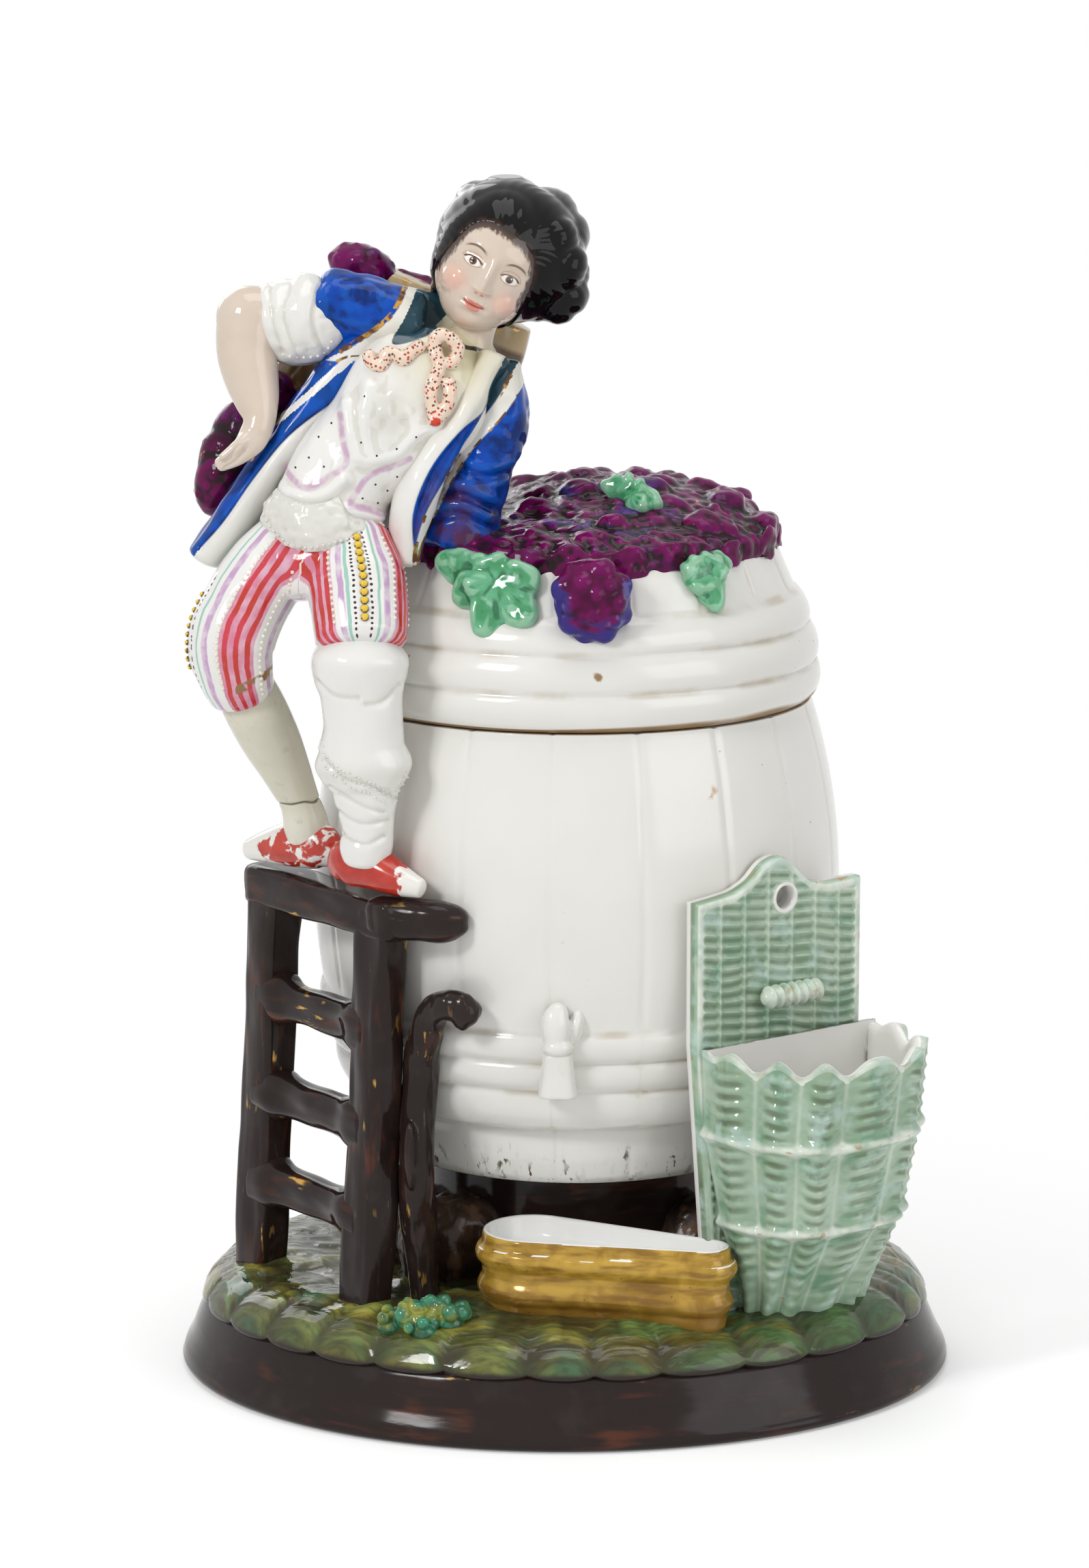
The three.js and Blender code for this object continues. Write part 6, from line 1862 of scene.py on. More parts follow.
# For the right and the left leg: degrees from its front and half the width of the stripe.
STRIPES = {
    "red": (
        [(-6, 3.2), (10, 3.2), (26, 3.2), (150, 3), (165, 3)],
        [(-66, 3.5), (-52, 3.2), (-40, 3), (62, 3), (73, 3), (84, 3), (170, 3)],
    ),
    "pink": ([(10, 24), (158, 22)], [(-53, 20), (73, 20), (172, 20)]),
    "lilac": ([(-36, 4), (62, 4), (-118, 4), (112, 4)], [(-21, 3), (40, 3.4), (112, 4), (-100, 4)]),
    "mint": ([(-51, 1.4), (-104, 1.6)], [(-12, 2), (29, 1.4), (124, 2), (-112, 2)]),
}
DOT_ROWS = ([-65, -94], [-3.5, 18.5])
DOT_GAP = 1.3
ACROSS_PER_DEGREE = 0.18
glaze = Glaze("striped glaze", 0.09)
turn = glaze.math("ARCTAN2", glaze.value("sideways"), glaze.value("forward"))
turn = glaze.math("MULTIPLY", turn, 180 / math.pi)
turn = glaze.math("ADD", turn, glaze.math("MULTIPLY", glaze.value("left_leg"), LEFT_FROM))
wobble = glaze.math("SUBTRACT", glaze.cloud(5, 2, seed=3), 0.5)
turn = glaze.math("ADD", turn, glaze.math("MULTIPLY", wobble, 5))


def stripes(kind, soft):
    """1 on every stripe of a kind."""
    found = None
    for leg, row in enumerate(STRIPES[kind]):
        for middle, half in row:
            one = glaze.band(turn, middle + leg * LEFT_FROM, half, soft)
            found = one if found is None else glaze.math("MAXIMUM", found, one)
    return found


glaze.coat((0.81, 0.80, 0.775))
glaze.coat((0.76, 0.75, 0.72), glaze.cloud(12, 2))
pink = glaze.over(glaze.patches(4, 0.3, 0.7, seed=5), (0.58, 0.10, 0.22), (0.66, 0.34, 0.46))
glaze.coat(pink, stripes("pink", 2), 0.85)
glaze.coat((0.46, 0.22, 0.47), stripes("lilac", 2), glaze.patches(3, 0.3, 0.6, 0.8, 0.3, seed=11))
glaze.coat((0.17, 0.48, 0.38), stripes("mint", 1), 0.75)
red = glaze.over(glaze.patches(7, 0.4, 0.6, seed=8), (0.50, 0.030, 0.012), (0.58, 0.040, 0.060))
glaze.coat(red, stripes("red", 1), glaze.patches(2, 0.2, 0.4, 1, 0.75, detail=2, seed=4))
down = glaze.math("FRACT", glaze.math("DIVIDE", glaze.value("down"), DOT_GAP))
down = glaze.math("MULTIPLY", glaze.math("SUBTRACT", down, 0.5), DOT_GAP)
for middle in [*DOT_ROWS[0], *(degrees + LEFT_FROM for degrees in DOT_ROWS[1])]:
    across = glaze.math("MULTIPLY", glaze.math("SUBTRACT", turn, middle), ACROSS_PER_DEGREE)
    across = glaze.math("POWER", glaze.math("ABSOLUTE", across), 2)
    away = glaze.math("SQRT", glaze.math("ADD", across, glaze.math("MULTIPLY", down, down)))
    glaze.coat((0.035, 0.012, 0.022), glaze.within(away, 0.28, 0.42))
glaze.coat((0.27, 0.15, 0.05), glaze.mark("hem", 0.3, 0.6), glaze.patches(3, 0.38, 0.5, seed=9))
for kind, paint in ((1, (0.80, 0.74, 0.62)), (2, (0.78, 0.52, 0.03)), (3, (0.10, 0.06, 0.02))):
    glaze.coat(paint, glaze.mark("pearl", kind - 0.6, kind - 0.4))
STRIPED = glaze.done()
print("painted", len(STRIPES), "kinds of stripe")

# %% Breeches
PELVIS = [[-62, -39, 87, 12, 10], [-62, -40, 81, 15.5, 12], [-61, -41, 76, 13, 11]]
LEG_RIGHT = [
    [-70, -38, 88, 7, 8], [-75, -39, 80, 9.6, 10], [-81.5, -41, 69, 10.6, 10.4],
    [-84.5, -42.5, 60, 10.8, 10], [-83.5, -42, 54, 9.6, 9], [-82, -40, 49, 8.2, 8],
]
LEG_LEFT = [
    [-55, -42, 88, 9, 8], [-54, -46, 79, 12, 10.4], [-53, -51, 71, 11.8, 10.6],
    [-52.5, -55, 64, 11.2, 10.4],
]
BREECHES_HEM = [(-88, 176.6), (-81.8, 178.4), (-77, 180.3), (-73.4, 182), (-68, 185)]
COAT_HEM_Z = 206.0
WHITE_BEAD, YELLOW_BEAD = 1, 2
# For the right and the left leg: how far down its beads go, their rows in degrees, and the yellow's size.
BEAD_ROWS = [(46, [-16, 44], [-80], 0.8), (26, [-31, 49, 101], [8], 1.1)]
breeches = fuse("breeches", pressed(*[roll(row) for row in (PELVIS, LEG_RIGHT, LEG_LEFT)]))
carve(breeches, lambda p, n: 0.35 * grain(p, (5, 5, 9), 3))
leg_paths = [standing(LEG_RIGHT), standing(LEG_LEFT)]
tree = search_tree(clay_of(breeches))
places, sizes, kinds = [], [], []
for path, (stop, white_rows, yellow_rows, big) in zip(leg_paths, BEAD_ROWS):
    rows = [(WHITE_BEAD, degrees, 1.55, 0.5) for degrees in white_rows]
    rows += [(YELLOW_BEAD, degrees, 2.15, big) for degrees in yellow_rows]
    for kind, degrees, gap, size in rows:
        for spot in round_limb(path, degrees, gap, 3, stop):
            at = np.array(tree.find_nearest(spot)[0])
            under_coat = kind == YELLOW_BEAD and path is leg_paths[0] and at[2] > COAT_HEM_Z - 4
            if not under_coat:
                places.append(at)
                sizes.append(size)
                kinds.append(kind)
print(len(places), "beads on the breeches")

# %% What the striped glaze reads
is_bead = studded(breeches, places, sizes)
spots = spots_of(breeches)
right, left = [wound(spots, path) for path in leg_paths]
on_left = right[3] > left[3]
sideways, forward, down = [np.where(on_left, left[k], right[k]) for k in range(3)]
down = np.where((spots[:, 2] > COAT_HEM_Z) & ~on_left, 0, down)
per_bead = is_bead.sum() // len(places)
kinds, sizes = (np.array(row).repeat(per_bead) for row in (kinds, sizes))
# A yellow bead has a dark ring where it sinks into the glaze.
radial = np.hypot(sideways, forward)[is_bead]
middle = radial.reshape(-1, per_bead).mean(1).repeat(per_bead)
pearl = np.zeros(len(spots))
pearl[is_bead] = kinds + (kinds == YELLOW_BEAD) * (radial - middle < 0.45 * sizes)
keep(breeches, sideways=sideways, forward=forward, down=down, left_leg=on_left, pearl=pearl)
keep(breeches, hem=ridges(spots, [BREECHES_HEM], 1.2) * (spots[:, 0] > -80))
fire(breeches, "breeches", "cover", STRIPED)

# %% [markdown]
# Below the breeches come a plain cream stocking with an old crack at the ankle, a white boot that is
# gathered in folds and has a dotted cuff, and two red shoes whose colour has worn off the toes.

# %% Stocking
STOCKING = [
    [-82.5, -39.5, 52, 7.2, 7], [-79, -37, 44, 7.6, 7.6], [-75, -34, 35, 7.2, 7.2], [-71, -32, 26, 5.8, 6],
    [-68.5, -31, 19.5, 5, 5.2], [-67, -31, 13, 5.6, 5.6], [-66.8, -31, 10, 5, 5],
]
ANKLE_CRACK = [(-73, 147.4), (-64.8, 148.3), (-56, 149)]
stocking = fuse("stocking_right", roll(STOCKING), voxel=0.45)
carve(stocking, lambda p, n: 0.12 * grain(p, 8, 3) - 0.4 * ridges(p, [ANKLE_CRACK], 0.35))
spots = spots_of(stocking)
x, _, z = spots.T
keep(stocking, crack=hump(z - 148.2 - 0.09 * (x + 65) - 0.4 * grain(spots, 3, 5), 0.45))
keep(stocking, low=np.clip((147 - z) / 4, 0, 1))
glaze = Glaze("cream glaze", 0.16)
glaze.coat((0.66, 0.635, 0.515))
glaze.coat((0.60, 0.575, 0.46), glaze.patches(15, 0.3, 0.7))
glaze.coat((0.72, 0.70, 0.62), glaze.value("low"), 0.5)
glaze.coat((0.36, 0.32, 0.22), glaze.patches(4, 0.62, 0.72, detail=5, seed=3), 0.25)
glaze.coat((0.11, 0.095, 0.06), glaze.mark("crack", 0.45, 0.8, 0.9))
fire(stocking, "stocking_right", "cover", glaze.done())

# %% Boot
BOOT = [
    [-52.5, -55, 64, 9, 8], [-52.6, -55, 60.5, 11.6, 10.4], [-52.6, -55, 56, 11.6, 10],
    [-52.3, -55, 51, 10, 9], [-52, -55, 43, 9.8, 9], [-52.3, -55, 37, 10.6, 9.4],
]
BOOT_CUFF = [[-52.3, -55, 38.5, 10.2, 9.2], [-52, -55, 34, 11.8, 9.8], [-51.8, -55, 29.5, 10, 9.2]]
BOOT_FOOT = [
    [-51.8, -55, 32, 9, 8.6], [-51.4, -55, 26, 8, 7.8], [-51.2, -55, 18, 6.4, 6.8],
    [-51.4, -55, 13, 6.4, 6.6], [-51.5, -55, 10, 5.6, 6],
]
BOOT_CREASES = [
    [(-60, 183), (-56, 180), (-50, 179.5)], [(-40, 182), (-44, 178.5), (-48, 178)],
    [(-57, 157), (-50, 153.5), (-44, 151)], [(-55, 150.5), (-49, 148.5), (-43, 149)],
    [(-55, 145), (-48, 143.5), (-44, 145)], [(-58, 164), (-54, 160.5), (-47, 158), (-41, 154)],
]
CUFF_LINE = [(-60, 166.5), (-57, 161.5), (-52.5, 158.6), (-47, 156), (-41, 153), (-38.5, 158)]
boot = fuse("boot_left", pressed(roll(BOOT), roll(BOOT_CUFF, (0.97, 0, -0.25)), roll(BOOT_FOOT)), voxel=0.45)
carve(boot, lambda p, n: 0.25 * grain(p, 5, 3) - 0.6 * ridges(p, BOOT_CREASES, 0.8) * (n[:, 1] < 0.2))
cuff_draw = np.random.default_rng(5)
cuff_line = evenly(CUFF_LINE, 1.25)
cuff_dots = []
for lift in (0, 1.5, 3.0):
    cuff_dots += seen_spots(boot, cuff_line + (0, lift) + cuff_draw.uniform(-0.35, 0.35, cuff_line.shape))
studded(boot, cuff_dots, 0.4, sides=8)
keep(boot, **PLAIN_WHITE, rough=0.45 * hump(spots_of(boot)[:, 2] - 160, 4) + 0.2, crown=crowns(boot, 12))
fire(boot, "boot_left", "cover", SHIRT)

# %% Shoes
SHOE_RIGHT = [
    [-59.5, -35, 7, 2.4, 3.6], [-62.5, -33, 8.6, 4.8, 5.6], [-70, -28, 8.4, 5, 5.8],
    [-77, -22.5, 6.6, 4, 4.2], [-82, -18.5, 5, 2.4, 2.6],
]
SHOE_LEFT = [
    [-59, -49, 7, 3, 3.6], [-56.5, -50.5, 8.6, 5.2, 5.6], [-50, -54.5, 8.2, 5.4, 5.4],
    [-43.5, -59, 6, 4, 4], [-38, -62.5, 4.6, 2.2, 2.4],
]
SOLE_Z = 130.0
glaze = Glaze("red glaze", 0.12)
worn = glaze.math("MULTIPLY", glaze.cloud(3.2, 4, seed=6, twist=0.5), 0.9)
worn = glaze.step(glaze.math("ADD", glaze.value("bare"), worn), 0.93, 1.0)
glaze.coat((0.42, 0.025, 0.014))
glaze.coat((0.52, 0.045, 0.025), glaze.patches(5, 0.35, 0.65))
glaze.coat((0.78, 0.755, 0.71), worn)
RED = glaze.done(height=worn)
# For each shoe: its row, how far the toe has worn, and how bare the rest is.
for name, row, toe_wear, wear in (("shoe_right", SHOE_RIGHT, 6, 0.50), ("shoe_left", SHOE_LEFT, 5, 0.16)):
    shoe = fuse(name, roll(row, (0.7, 0.7, 0)), voxel=0.35, soften=3)
    spots = spots_of(shoe)
    spots[:, 2] = np.maximum(spots[:, 2], SOLE_Z)
    put_spots(shoe, spots)
    toe_x, toe_y = FIGURE_AT[:2] + row[-1][:2]
    from_toe = np.hypot(spots[:, 0] - toe_x, spots[:, 1] - toe_y)
    keep(shoe, bare=0.75 * hump(from_toe, toe_wear) + wear + 0.18 * grain(spots, 5, 3))
    fire(shoe, name, "cover", RED)

# %% [markdown]
# The head is a painted doll's head of plain proportions: the eyes halfway down, the nose ending halfway
# from brow to chin, the mouth a third below it. Forms are carved on a smooth egg, in the head's own
# upright directions, and eyes, brows and lips are painted by the glaze with ellipses, as a porcelain
# painter does with a few strokes. The face is calm and looks at nothing in particular.

# %% Head
HEAD_AT = FIGURE_AT + (-20.5, -25, 152.5)
HEAD_TILT = 28
HEAD_RADII = (13.6, 14.5, 17)
NECK = [[-27, -26, 127, 7, 6.4], [-26, -26, 134, 5.4, 5.2], [-23.5, -25, 142, 5.6, 5.4]]
CHEEK = (5.2, -7.4, -6.8)
EYE_APART = 5.0
EYE_Z = -1.2
NOSE_Z = -7.0
MOUTH_Z = -10.6
CHIN_Z = -15.4
# The ridge of the nose: heights, how far it stands out, and other heights with its half width.
NOSE_UP = [NOSE_Z - 1.5, NOSE_Z - 0.5, NOSE_Z + 0.7, -4, 0, 3, 6]
NOSE_PROUD = [0, 1.1, 2.3, 1.7, 0.8, 0.35, 0]
NOSE_WIDTHS = ([NOSE_Z, -4, 0, 4], [1.7, 1.35, 1.25, 1.8])
# Each soft form of the face: how far it stands out, its place across and up, and its size each way.
FACE_FORMS = [
    (0.55, 1.7, NOSE_Z + 0.6, 0.8, 0.9),
    (-0.85, EYE_APART, EYE_Z + 0.9, 3.0, 2.0),
    (0.70, EYE_APART, EYE_Z, 2.1, 1.25),
    (0.35, EYE_APART + 0.2, EYE_Z + 4.2, 3.4, 1.4),
    (0.75, 6.6, -7.2, 3.2, 3.4),
    (0.70, 0.9, MOUTH_Z + 0.55, 1.5, 0.5),
    (0.80, 0, MOUTH_Z - 0.8, 1.9, 0.65),
    (-0.50, 0, MOUTH_Z - 0.08, 2.6, 0.28),
    (-0.30, 3.1, MOUTH_Z + 0.1, 0.6, 0.6),
    (-0.45, 0, MOUTH_Z - 2.3, 2.4, 0.8),
    (0.70, 0, CHIN_Z, 2.8, 1.8),
]


def head_place(spots):
    """Points in the head's own directions: to its left, back and up."""
    x, y, z = (spots - HEAD_AT).T
    across, up = tilted(x, z, -HEAD_TILT)
    return across, y, up


def head_lump(place, radii, sides=28):
    across, back, up = place
    x, z = tilted(across, up, HEAD_TILT)
    return ball(HEAD_AT + (x, back, z), radii, HEAD_TILT, sides)


def face_marks(p, n):
    across, _, up = head_place(p)
    form = np.interp(up, NOSE_UP, NOSE_PROUD) * hump(across, np.interp(up, *NOSE_WIDTHS))
    for proud, across_at, up_at, wide, high in FACE_FORMS:
        form += proud * hump(abs(across) - across_at, wide) * hump(up - up_at, high)
    return form * np.clip(-2 * n[:, 1], 0, 1)


head_clay = [head_lump((0, 0, 0), HEAD_RADII, 64), head_lump((0, -4, -8.5), (9.5, 9.5, 9), 48)]
head_clay += [head_lump((side * CHEEK[0], *CHEEK[1:]), (5, 5, 5.2)) for side in (1, -1)]
head = fuse("head", pressed(*head_clay, roll(NECK)), voxel=0.32, soften=10)
carve(head, face_marks)
print("head with", len(head.data.polygons), "faces and", len(FACE_FORMS) + 1, "soft forms")

# %% Brushes for the face
IRIS = (EYE_APART - 0.05, EYE_Z + 0.1)
# Each dab of paint: its place and half sizes, where its edge fades, its strength and its colour.
DABS = [
    ((7.0, -7.0, 5.0, 4.4), (0.0, 1.15), 0.5, (0.78, 0.33, 0.24)),
    ((0, NOSE_Z, 2.2, 1.6), (0.2, 1.1), 0.25, (0.78, 0.38, 0.30)),
    ((0, CHIN_Z, 3.4, 2.2), (0.2, 1.1), 0.2, (0.78, 0.42, 0.33)),
    # The next dab is painted shade in each eye socket.
    ((EYE_APART, EYE_Z + 0.5, 3.2, 2.2), (0.5, 1.1), 0.25, (0.62, 0.38, 0.26)),
    ((1.1, MOUTH_Z + 0.42, 1.75, 0.55), (0.85, 1.1), 0.85, (0.60, 0.125, 0.085)),
    ((0, MOUTH_Z - 0.62, 2.1, 0.75), (0.85, 1.1), 0.8, (0.66, 0.17, 0.115)),
]
glaze = skin_glaze("face")
x = glaze.math("SUBTRACT", glaze.axis(0), float(HEAD_AT[0]))
z = glaze.math("SUBTRACT", glaze.axis(2), float(HEAD_AT[2]))
c, s = math.cos(math.radians(HEAD_TILT)), math.sin(math.radians(HEAD_TILT))
u = glaze.math("SUBTRACT", glaze.math("MULTIPLY", x, c), glaze.math("MULTIPLY", z, s))
w = glaze.math("ADD", glaze.math("MULTIPLY", x, s), glaze.math("MULTIPLY", z, c))
side = glaze.math("ABSOLUTE", u)


def ellipse(across, up, wide, high, from_side=side):
    """Distance from a place on either side of the face, 1 on the ellipse round it."""
    du = glaze.math("DIVIDE", glaze.math("SUBTRACT", from_side, across), wide)
    dw = glaze.math("DIVIDE", glaze.math("SUBTRACT", w, up), high)
    return glaze.math(
        "SQRT", glaze.math("ADD", glaze.math("MULTIPLY", du, du), glaze.math("MULTIPLY", dw, dw))
    )


def paint(mask, strength, shade):
    glaze.coat(shade, mask, glaze.value("face"), strength)


print(len(DABS), "soft dabs for the face")


# %% Painted face
glaze.coat((0.64, 0.585, 0.40), glaze.value("cream"), 0.85)
for place, edge, strength, shade in DABS:
    paint(glaze.within(ellipse(*place), *edge), strength, shade)
smile = glaze.math("MULTIPLY", glaze.math("MULTIPLY", u, u), 0.045)
mouth_line = glaze.math("SUBTRACT", w, glaze.math("ADD", smile, MOUTH_Z - 0.12))
paint(
    glaze.both(glaze.band(mouth_line, 0, 0.07, 0.1), glaze.within(side, 2.4, 3.0)), 0.9,
    (0.22, 0.035, 0.025)
)
paint(glaze.within(ellipse(0.8, NOSE_Z - 0.55, 0.5, 0.26), 0.7, 1.2), 0.6, (0.36, 0.10, 0.06))
almond = ellipse(EYE_APART, EYE_Z, 2.15, 1.02)
inside = glaze.within(almond, 0.92, 1.04)
paint(inside, 1.0, (0.82, 0.80, 0.76))
paint(glaze.both(inside, glaze.within(ellipse(*IRIS, 0.98, 0.98), 0.85, 1.05)), 1.0, (0.115, 0.050, 0.018))
paint(glaze.both(inside, glaze.within(ellipse(*IRIS, 0.45, 0.45), 0.8, 1.1)), 1.0, (0.010, 0.006, 0.005))
# A small painted highlight in each eye.
light_side = glaze.math("SUBTRACT", side, EYE_APART)
paint(glaze.within(ellipse(0.35, EYE_Z + 0.42, 0.2, 0.2, light_side), 0.7, 1.2), 0.9, (0.85, 0.85, 0.85))
upper = glaze.step(w, EYE_Z - 0.1, EYE_Z + 0.35)
lower = glaze.step(w, EYE_Z - 0.1, EYE_Z - 0.45)
paint(glaze.both(glaze.band(almond, 1.06, 0.10, 0.10), upper), 0.95, (0.075, 0.035, 0.018))
paint(glaze.both(glaze.band(almond, 1.08, 0.04, 0.12), lower), 0.6, (0.42, 0.16, 0.09))
crease = ellipse(EYE_APART + 0.1, EYE_Z + 0.25, 2.7, 1.75)
paint(glaze.both(glaze.band(crease, 1.0, 0.03, 0.07), upper), 0.5, (0.42, 0.20, 0.11))
brow = glaze.band(ellipse(EYE_APART + 0.3, EYE_Z - 1.2, 4.6, 5.0), 1.0, 0.03, 0.05)
from_eye = glaze.math("ABSOLUTE", glaze.math("SUBTRACT", side, EYE_APART + 0.4))
brow = glaze.both(brow, glaze.within(from_eye, 1.6, 3.3), glaze.step(w, EYE_Z + 2, EYE_Z + 2.6))
paint(brow, 0.85, (0.105, 0.052, 0.022))
strands = glaze.math("MULTIPLY", glaze.cloud(0.8, stretch=UPRIGHT, seed=4), 2.4)
hair_edge = glaze.step(glaze.math("ADD", glaze.value("hairline"), strands), 1.5, 2.6)
paint(
    hair_edge, 0.97,
    glaze.over(glaze.mark("hairline", 1.2, 2.6), (0.075, 0.036, 0.022), (0.006, 0.004, 0.003))
)
glaze.coat((0.06, 0.045, 0.03), glaze.mark("lead", 0.35, 0.7))
FACE = glaze.done()
print("face painted with", len(glaze.tree.nodes), "shader nodes")

# %% Hairline
HAIRLINE_MIDDLE = (-0.6, -6.2)
HAIRLINE_HALF = (11.0, 15.0)
HAIRLINE_POWER = 2.4
NECK_LEAD = [(-34, 263.5), (-28, 262.8), (-24.7, 260.8), (-22, 260), (-19.3, 258.9), (-14, 256)]


def hair_opening(spots):
    """1 on the hairline, smaller inside the face, in the head's front view."""
    across, _, up = head_place(spots)
    wave = 0.035 * np.sin(5 * np.arctan2(up - HAIRLINE_MIDDLE[1], across) + 0.6)
    sides = (across - HAIRLINE_MIDDLE[0]) / HAIRLINE_HALF[0], (up - HAIRLINE_MIDDLE[1]) / HAIRLINE_HALF[1]
    return sum(abs(part) ** HAIRLINE_POWER for part in sides) ** (1 / HAIRLINE_POWER) + wave


spots = spots_of(head)
_, back, up = head_place(spots)
throat = np.clip((-17.5 - up) / 2.5, 0, 1) * (back > -9) + 0.6 * np.clip((-20 - up) / 3, 0, 1) * (back <= -9)
keep(
    head, face=(normals_of(head)[:, 1] < 0.1) & (up > -19), cream=throat,
    lead=ridges(spots, [NECK_LEAD], 0.45)
)
keep(head, hairline=np.clip((hair_opening(spots) - 0.86) * 14, 0, 3) * (up > -8))
fire(head, "head", "cover", FACE)

# %% [markdown]
# The hair is black and glossy, in loose waves. It starts as a slightly larger egg with lumps for the
# locks, and the points over the face are drawn in under the skin, which leaves a thick rounded
# hairline. Ridges that run round the head make the strands.

# %% Hair
# Each lock: its place and its radii.
LOCKS = [
    (-3, -18, 148.5, 6, 9, 6.5), (-2.2, -20, 143.8, 5.2, 8, 5.2), (-5.5, -21, 141.5, 5.5, 7, 4.8),
    (-10, -19, 141, 4.5, 6, 4), (-3, -14, 157, 6, 12, 7), (-7, -12, 163, 7.5, 13, 6.5),
    (-15, -13, 166.6, 9, 13, 5.7), (-23.5, -14, 165, 7, 12, 6.3), (-29.2, -15, 160, 5, 10, 7),
    (-31.6, -15, 152.5, 4, 8, 7), (-33.2, -14, 146.5, 2.8, 6.5, 5), (-14, -27, 162.5, 7, 7.5, 5),
    (-5.4, -26, 158, 5.6, 7.5, 6), (-2.6, -25, 151, 5, 7, 6), (-24.5, -23, 162, 5.6, 8, 5.2),
]
HAIR_THICK = 0.09
hair_clay = [
    head_lump((0.2, 1.6, 0.8), (15.2, 15.6, 18.2), 64),
    lump((-16.5, -19.5, 154.5), (18.8, 17.2, 17.2), 28, 64),
]
hair_clay += [lump(lock[:3], lock[3:], HEAD_TILT) for lock in LOCKS]
hair = fuse("hair", pressed(*hair_clay), voxel=0.42, soften=26)


def hair_waves(p, n):
    across, _, up = head_place(p)
    flow = 4 * np.arctan2(up - 3, across - 2) + 0.1 * np.hypot(across, up) + 0.8 * grain(p, 9, 2)
    strands = 0.10 * np.sin(2 * flow) + 0.05 * np.sin(9 * flow + grain(p, 6, 4))
    return strands + 0.25 * grain(p, 10, 6) - 0.1


carve(hair, hair_waves)
spots = spots_of(hair)
_, back, up = head_place(spots)
opening = np.clip((1.03 - hair_opening(spots)) / HAIR_THICK, 0, 1) * np.clip((2 - back) / 4, 0, 1)
sunk = HEAD_AT + (spots - HEAD_AT) * (1 - 0.30 * opening)[:, None]
sunk[:, 2] = np.minimum(sunk[:, 2], CAD_BOX[1][2] / MM - 0.2)
put_spots(hair, sunk)
sponge(hair, 2)
keep(hair, rim=hump((hair_opening(spots) - 1.03) / HAIR_THICK, 1) * (back < -2) * (up > -4))
glaze = Glaze("black glaze", 0.045, 0.2)
glaze.coat((0.0025, 0.0023, 0.0022))
brown = glaze.both(glaze.mark("rim", 0.2, 1.0), glaze.patches(1.6, 0.35, 0.65, stretch=(1, 1, 0.4), seed=3))
glaze.coat((0.060, 0.024, 0.016), brown, 0.8)
fire(hair, "hair", "cover", glaze.done())

# %% [markdown]
# The neckerchief is two twisted cords that loop on the chest. They follow a few points in the front
# view and lie on the shirt, found by looking from the front. The paint is pinkish white with red and
# dark dots, which a cell pattern gives.

# %% Neckerchief
CORDS = [
    [
        (-47.6, 260), (-47.2, 257.6), (-44.6, 256.6), (-43, 259.6), (-41.4, 259.6), (-39.6, 258),
        (-37.2, 260), (-34.6, 262),
    ],
    [
        (-28.6, 264), (-31.2, 263.6), (-31.6, 260), (-30.4, 256.4), (-32, 253.2), (-32.6, 249.4),
        (-31.8, 244.2),
    ],
    [(-28.6, 264), (-26.2, 261.4), (-26.6, 258.4), (-29.2, 256.6)],
    [(-28.4, 253.4), (-28, 250.2), (-29.2, 246.4), (-31.4, 244)],
]
CORD_RADIUS = 1.7
tree = search_tree(pressed(clay_of(waistcoat), clay_of(head)))
cord_clay = []
for line in CORDS:
    row = []
    for x, z in evenly(line, 1.2):
        depth = tree.ray_cast((x, FRONT_OF_ALL, z), (0, 1, 0))[0][1]
        row.append([x, min(depth, -26) - 0.5, z, CORD_RADIUS, CORD_RADIUS])
    row = np.array(row)
    row[1:-1, 1] = (row[:-2, 1] + row[1:-1, 1] + row[2:, 1]) / 3
    cord_clay.append(limb(row, (0, 1, 0), steps=3, dome=0.7))
tip = ball((-31.6, cord_clay[1][0][:, 1].min() + 1.2, 244), (2.0, 1.6, 1.8))
kerchief = fuse("neckerchief", pressed(*cord_clay, tip), voxel=0.3, soften=3)
carve(kerchief, lambda p, n: 0.2 * grain(p, 1.8, 3))
x, _, z = spots_of(kerchief).T
keep(kerchief, tip=hump(np.hypot(x + 31.4, z - 243.4), 1.5))
glaze = Glaze("dotted glaze", 0.1)
glaze.coat((0.80, 0.58, 0.44))
glaze.coat((0.80, 0.69, 0.57), glaze.cloud(4, 2))
dot_paint = glaze.over(
    glaze.patches(1.3, 0.5, 0.56, detail=1, seed=7), (0.13, 0.045, 0.03), (0.62, 0.050, 0.022)
)
glaze.coat(dot_paint, glaze.within(glaze.cells(0.95, seed=2), 0.30, 0.38))
glaze.coat((0.60, 0.045, 0.02), glaze.mark("tip", 0.4, 0.6))
fire(kerchief, "neckerchief", "cover", glaze.done())

# %% [markdown]
# The picker's basket hangs behind: a wooden hod of narrow staves, tan and gilded on its upper edge. It
# is a squarish limb that widens upwards, with the gaps between staves carved in. Bunches lie in it and
# hang beside it.

# %% Basket
BASKET = [
    [-62, -3, 100, 22, 8.5], [-56, -3, 108, 25, 9], [-46.5, -3, 119.5, 26.5, 10],
    [-36, -3, 133.5, 24, 10], [-32.2, -3, 142.1, 22.5, 9],
]
BASKET_ACROSS = (0.955, 0, -0.297)
SLAT = 7.0
basket = fuse("basket", roll(BASKET, BASKET_ACROSS, power=3.4, sides=64, dome=0.1), voxel=0.55, soften=2)
sideways, _, down, _ = wound(spots_of(basket), standing(BASKET), BASKET_ACROSS)
length = np.linalg.norm(np.array(BASKET[-1][:3]) - BASKET[0][:3])


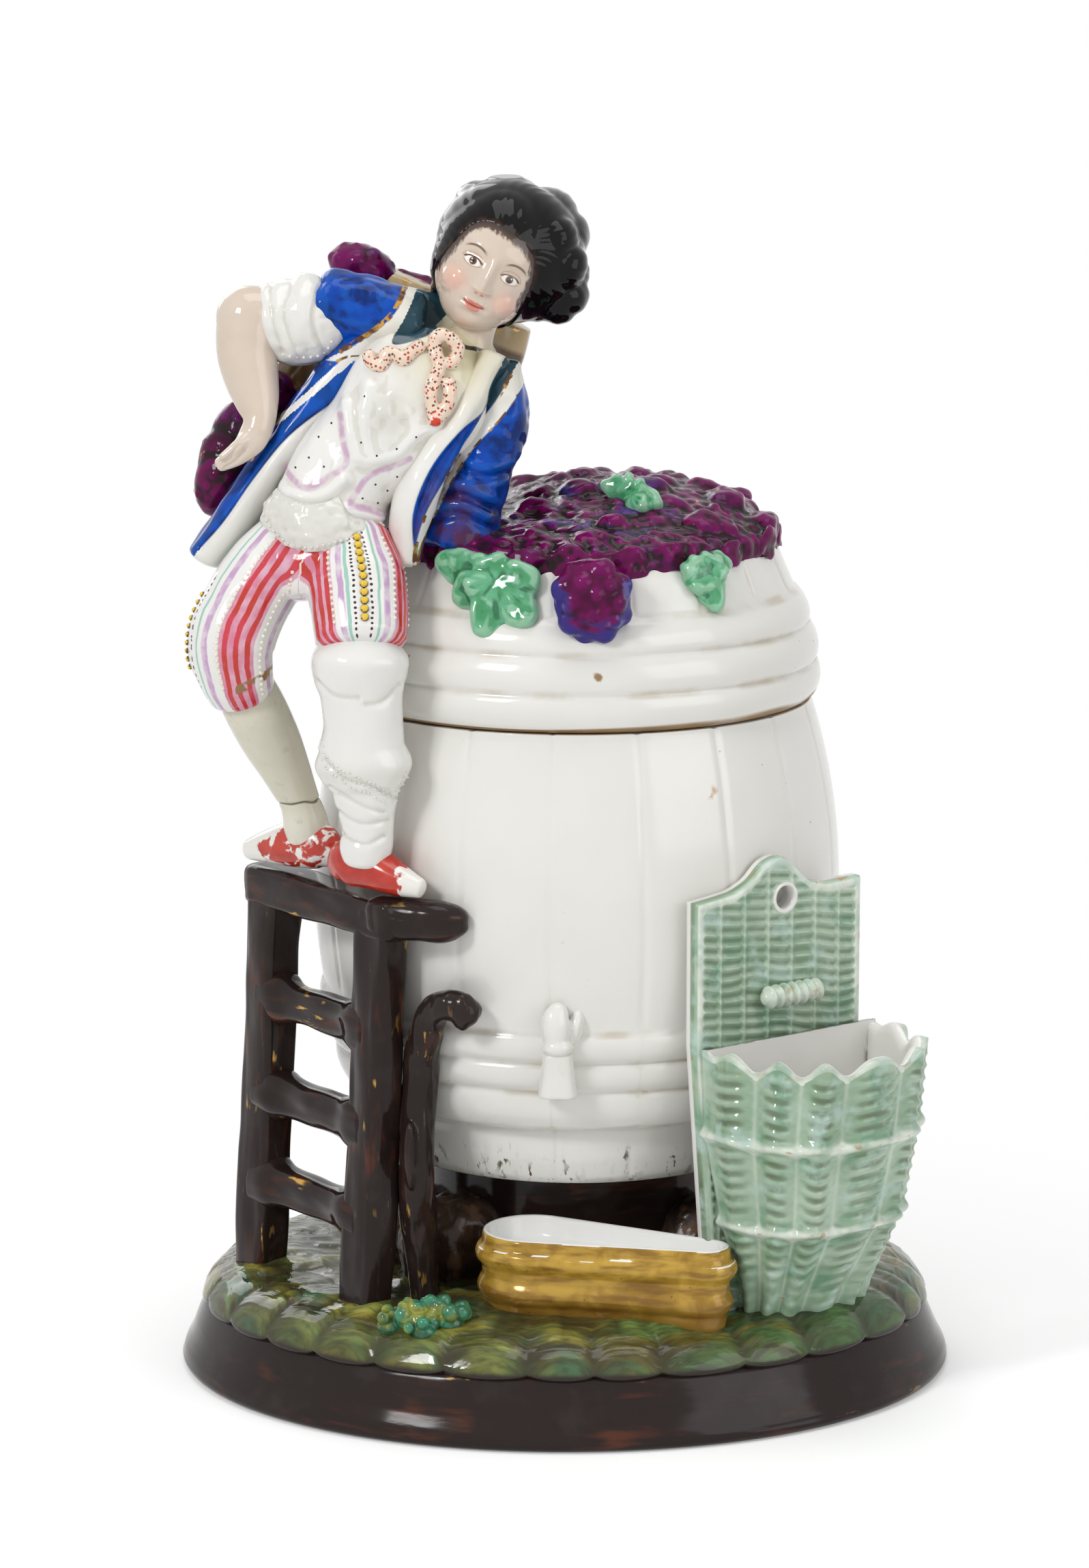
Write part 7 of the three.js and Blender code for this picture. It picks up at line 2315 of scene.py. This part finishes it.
def basket_marks(p, n):
    gaps = hump((sideways / SLAT - np.round(sideways / SLAT)) * SLAT, 0.5) * (length - down > 9)
    hoops = hump(down - 26, 1.5)
    return 0.10 * grain(p, (2, 2, 14), 3) - 0.3 * gaps * (1 - hoops) + 0.6 * hoops


carve(basket, basket_marks)
keep(basket, top=np.clip((down - length + 7) / 3, 0, 1))
glaze = Glaze("wicker glaze", 0.12)
# The dark brown body is the wood's colour and also painted shade under the arm; only the top is tan.
glaze.coat((0.115, 0.062, 0.022))
glaze.coat((0.230, 0.135, 0.050), glaze.patches(5, 0.35, 0.65, detail=4, stretch=(1, 1, 0.3), seed=2))
tan = glaze.over(glaze.cloud(4, seed=6), (0.44, 0.31, 0.14), (0.60, 0.46, 0.25))
glaze.coat(tan, glaze.mark("top", 0.3, 0.7))
gilt = glaze.both(glaze.patches(4, 0.55, 0.62, detail=4, seed=5), 0.8)
glaze.coat((0.45, 0.26, 0.07), gilt)
fire(basket, "basket", "cover", glaze.done(metal=glaze.both(gilt, 0.35)))

# %% Bunches in the basket and below it
BASKET_MOUNDS = [((-53.2, -7, 149.4), (9.3, 8, 6.2), 20), ((-31.5, 0, 140.2), (17.5, 6, 4.4), 24)]
LOWER_MOUNDS = [
    ((-82.5, -15, 109), (8.4, 7, 10), 30), ((-88, -19, 98), (7, 6.5, 10), 12),
    ((-76, -10, 118), (8, 7, 7), 30), ((-86, -17, 103.5), (8, 7, 9), 20),
]
BUNCHES = [("basket_grapes", BASKET_MOUNDS, 60, (1.8, 3.4)), ("lower_bunch", LOWER_MOUNDS, 170, (1.1, 2.2))]
for name, mounds, count, sizes in BUNCHES:
    in_place = [(FIGURE_AT + centre, np.array(radii) - 0.6, tilt) for centre, radii, tilt in mounds]
    clay = [ball(*mound, sides=36) for mound in in_place] + knobs(in_place, count, sizes, 6, 0.22)
    grapes = fuse(name, pressed(*clay), voxel=0.45, soften=9)
    lower = name == "lower_bunch"
    # The lower bunch is pushed towards the creases, so more of it takes the painted shade.
    crown = crowns(grapes) - 0.45 * lower
    keep(grapes, crown=crown, violet=0.3 - 0.2 * lower + 0.5 * grain(spots_of(grapes), 9, 4))
    fire(grapes, name, "cover", GRAPE)
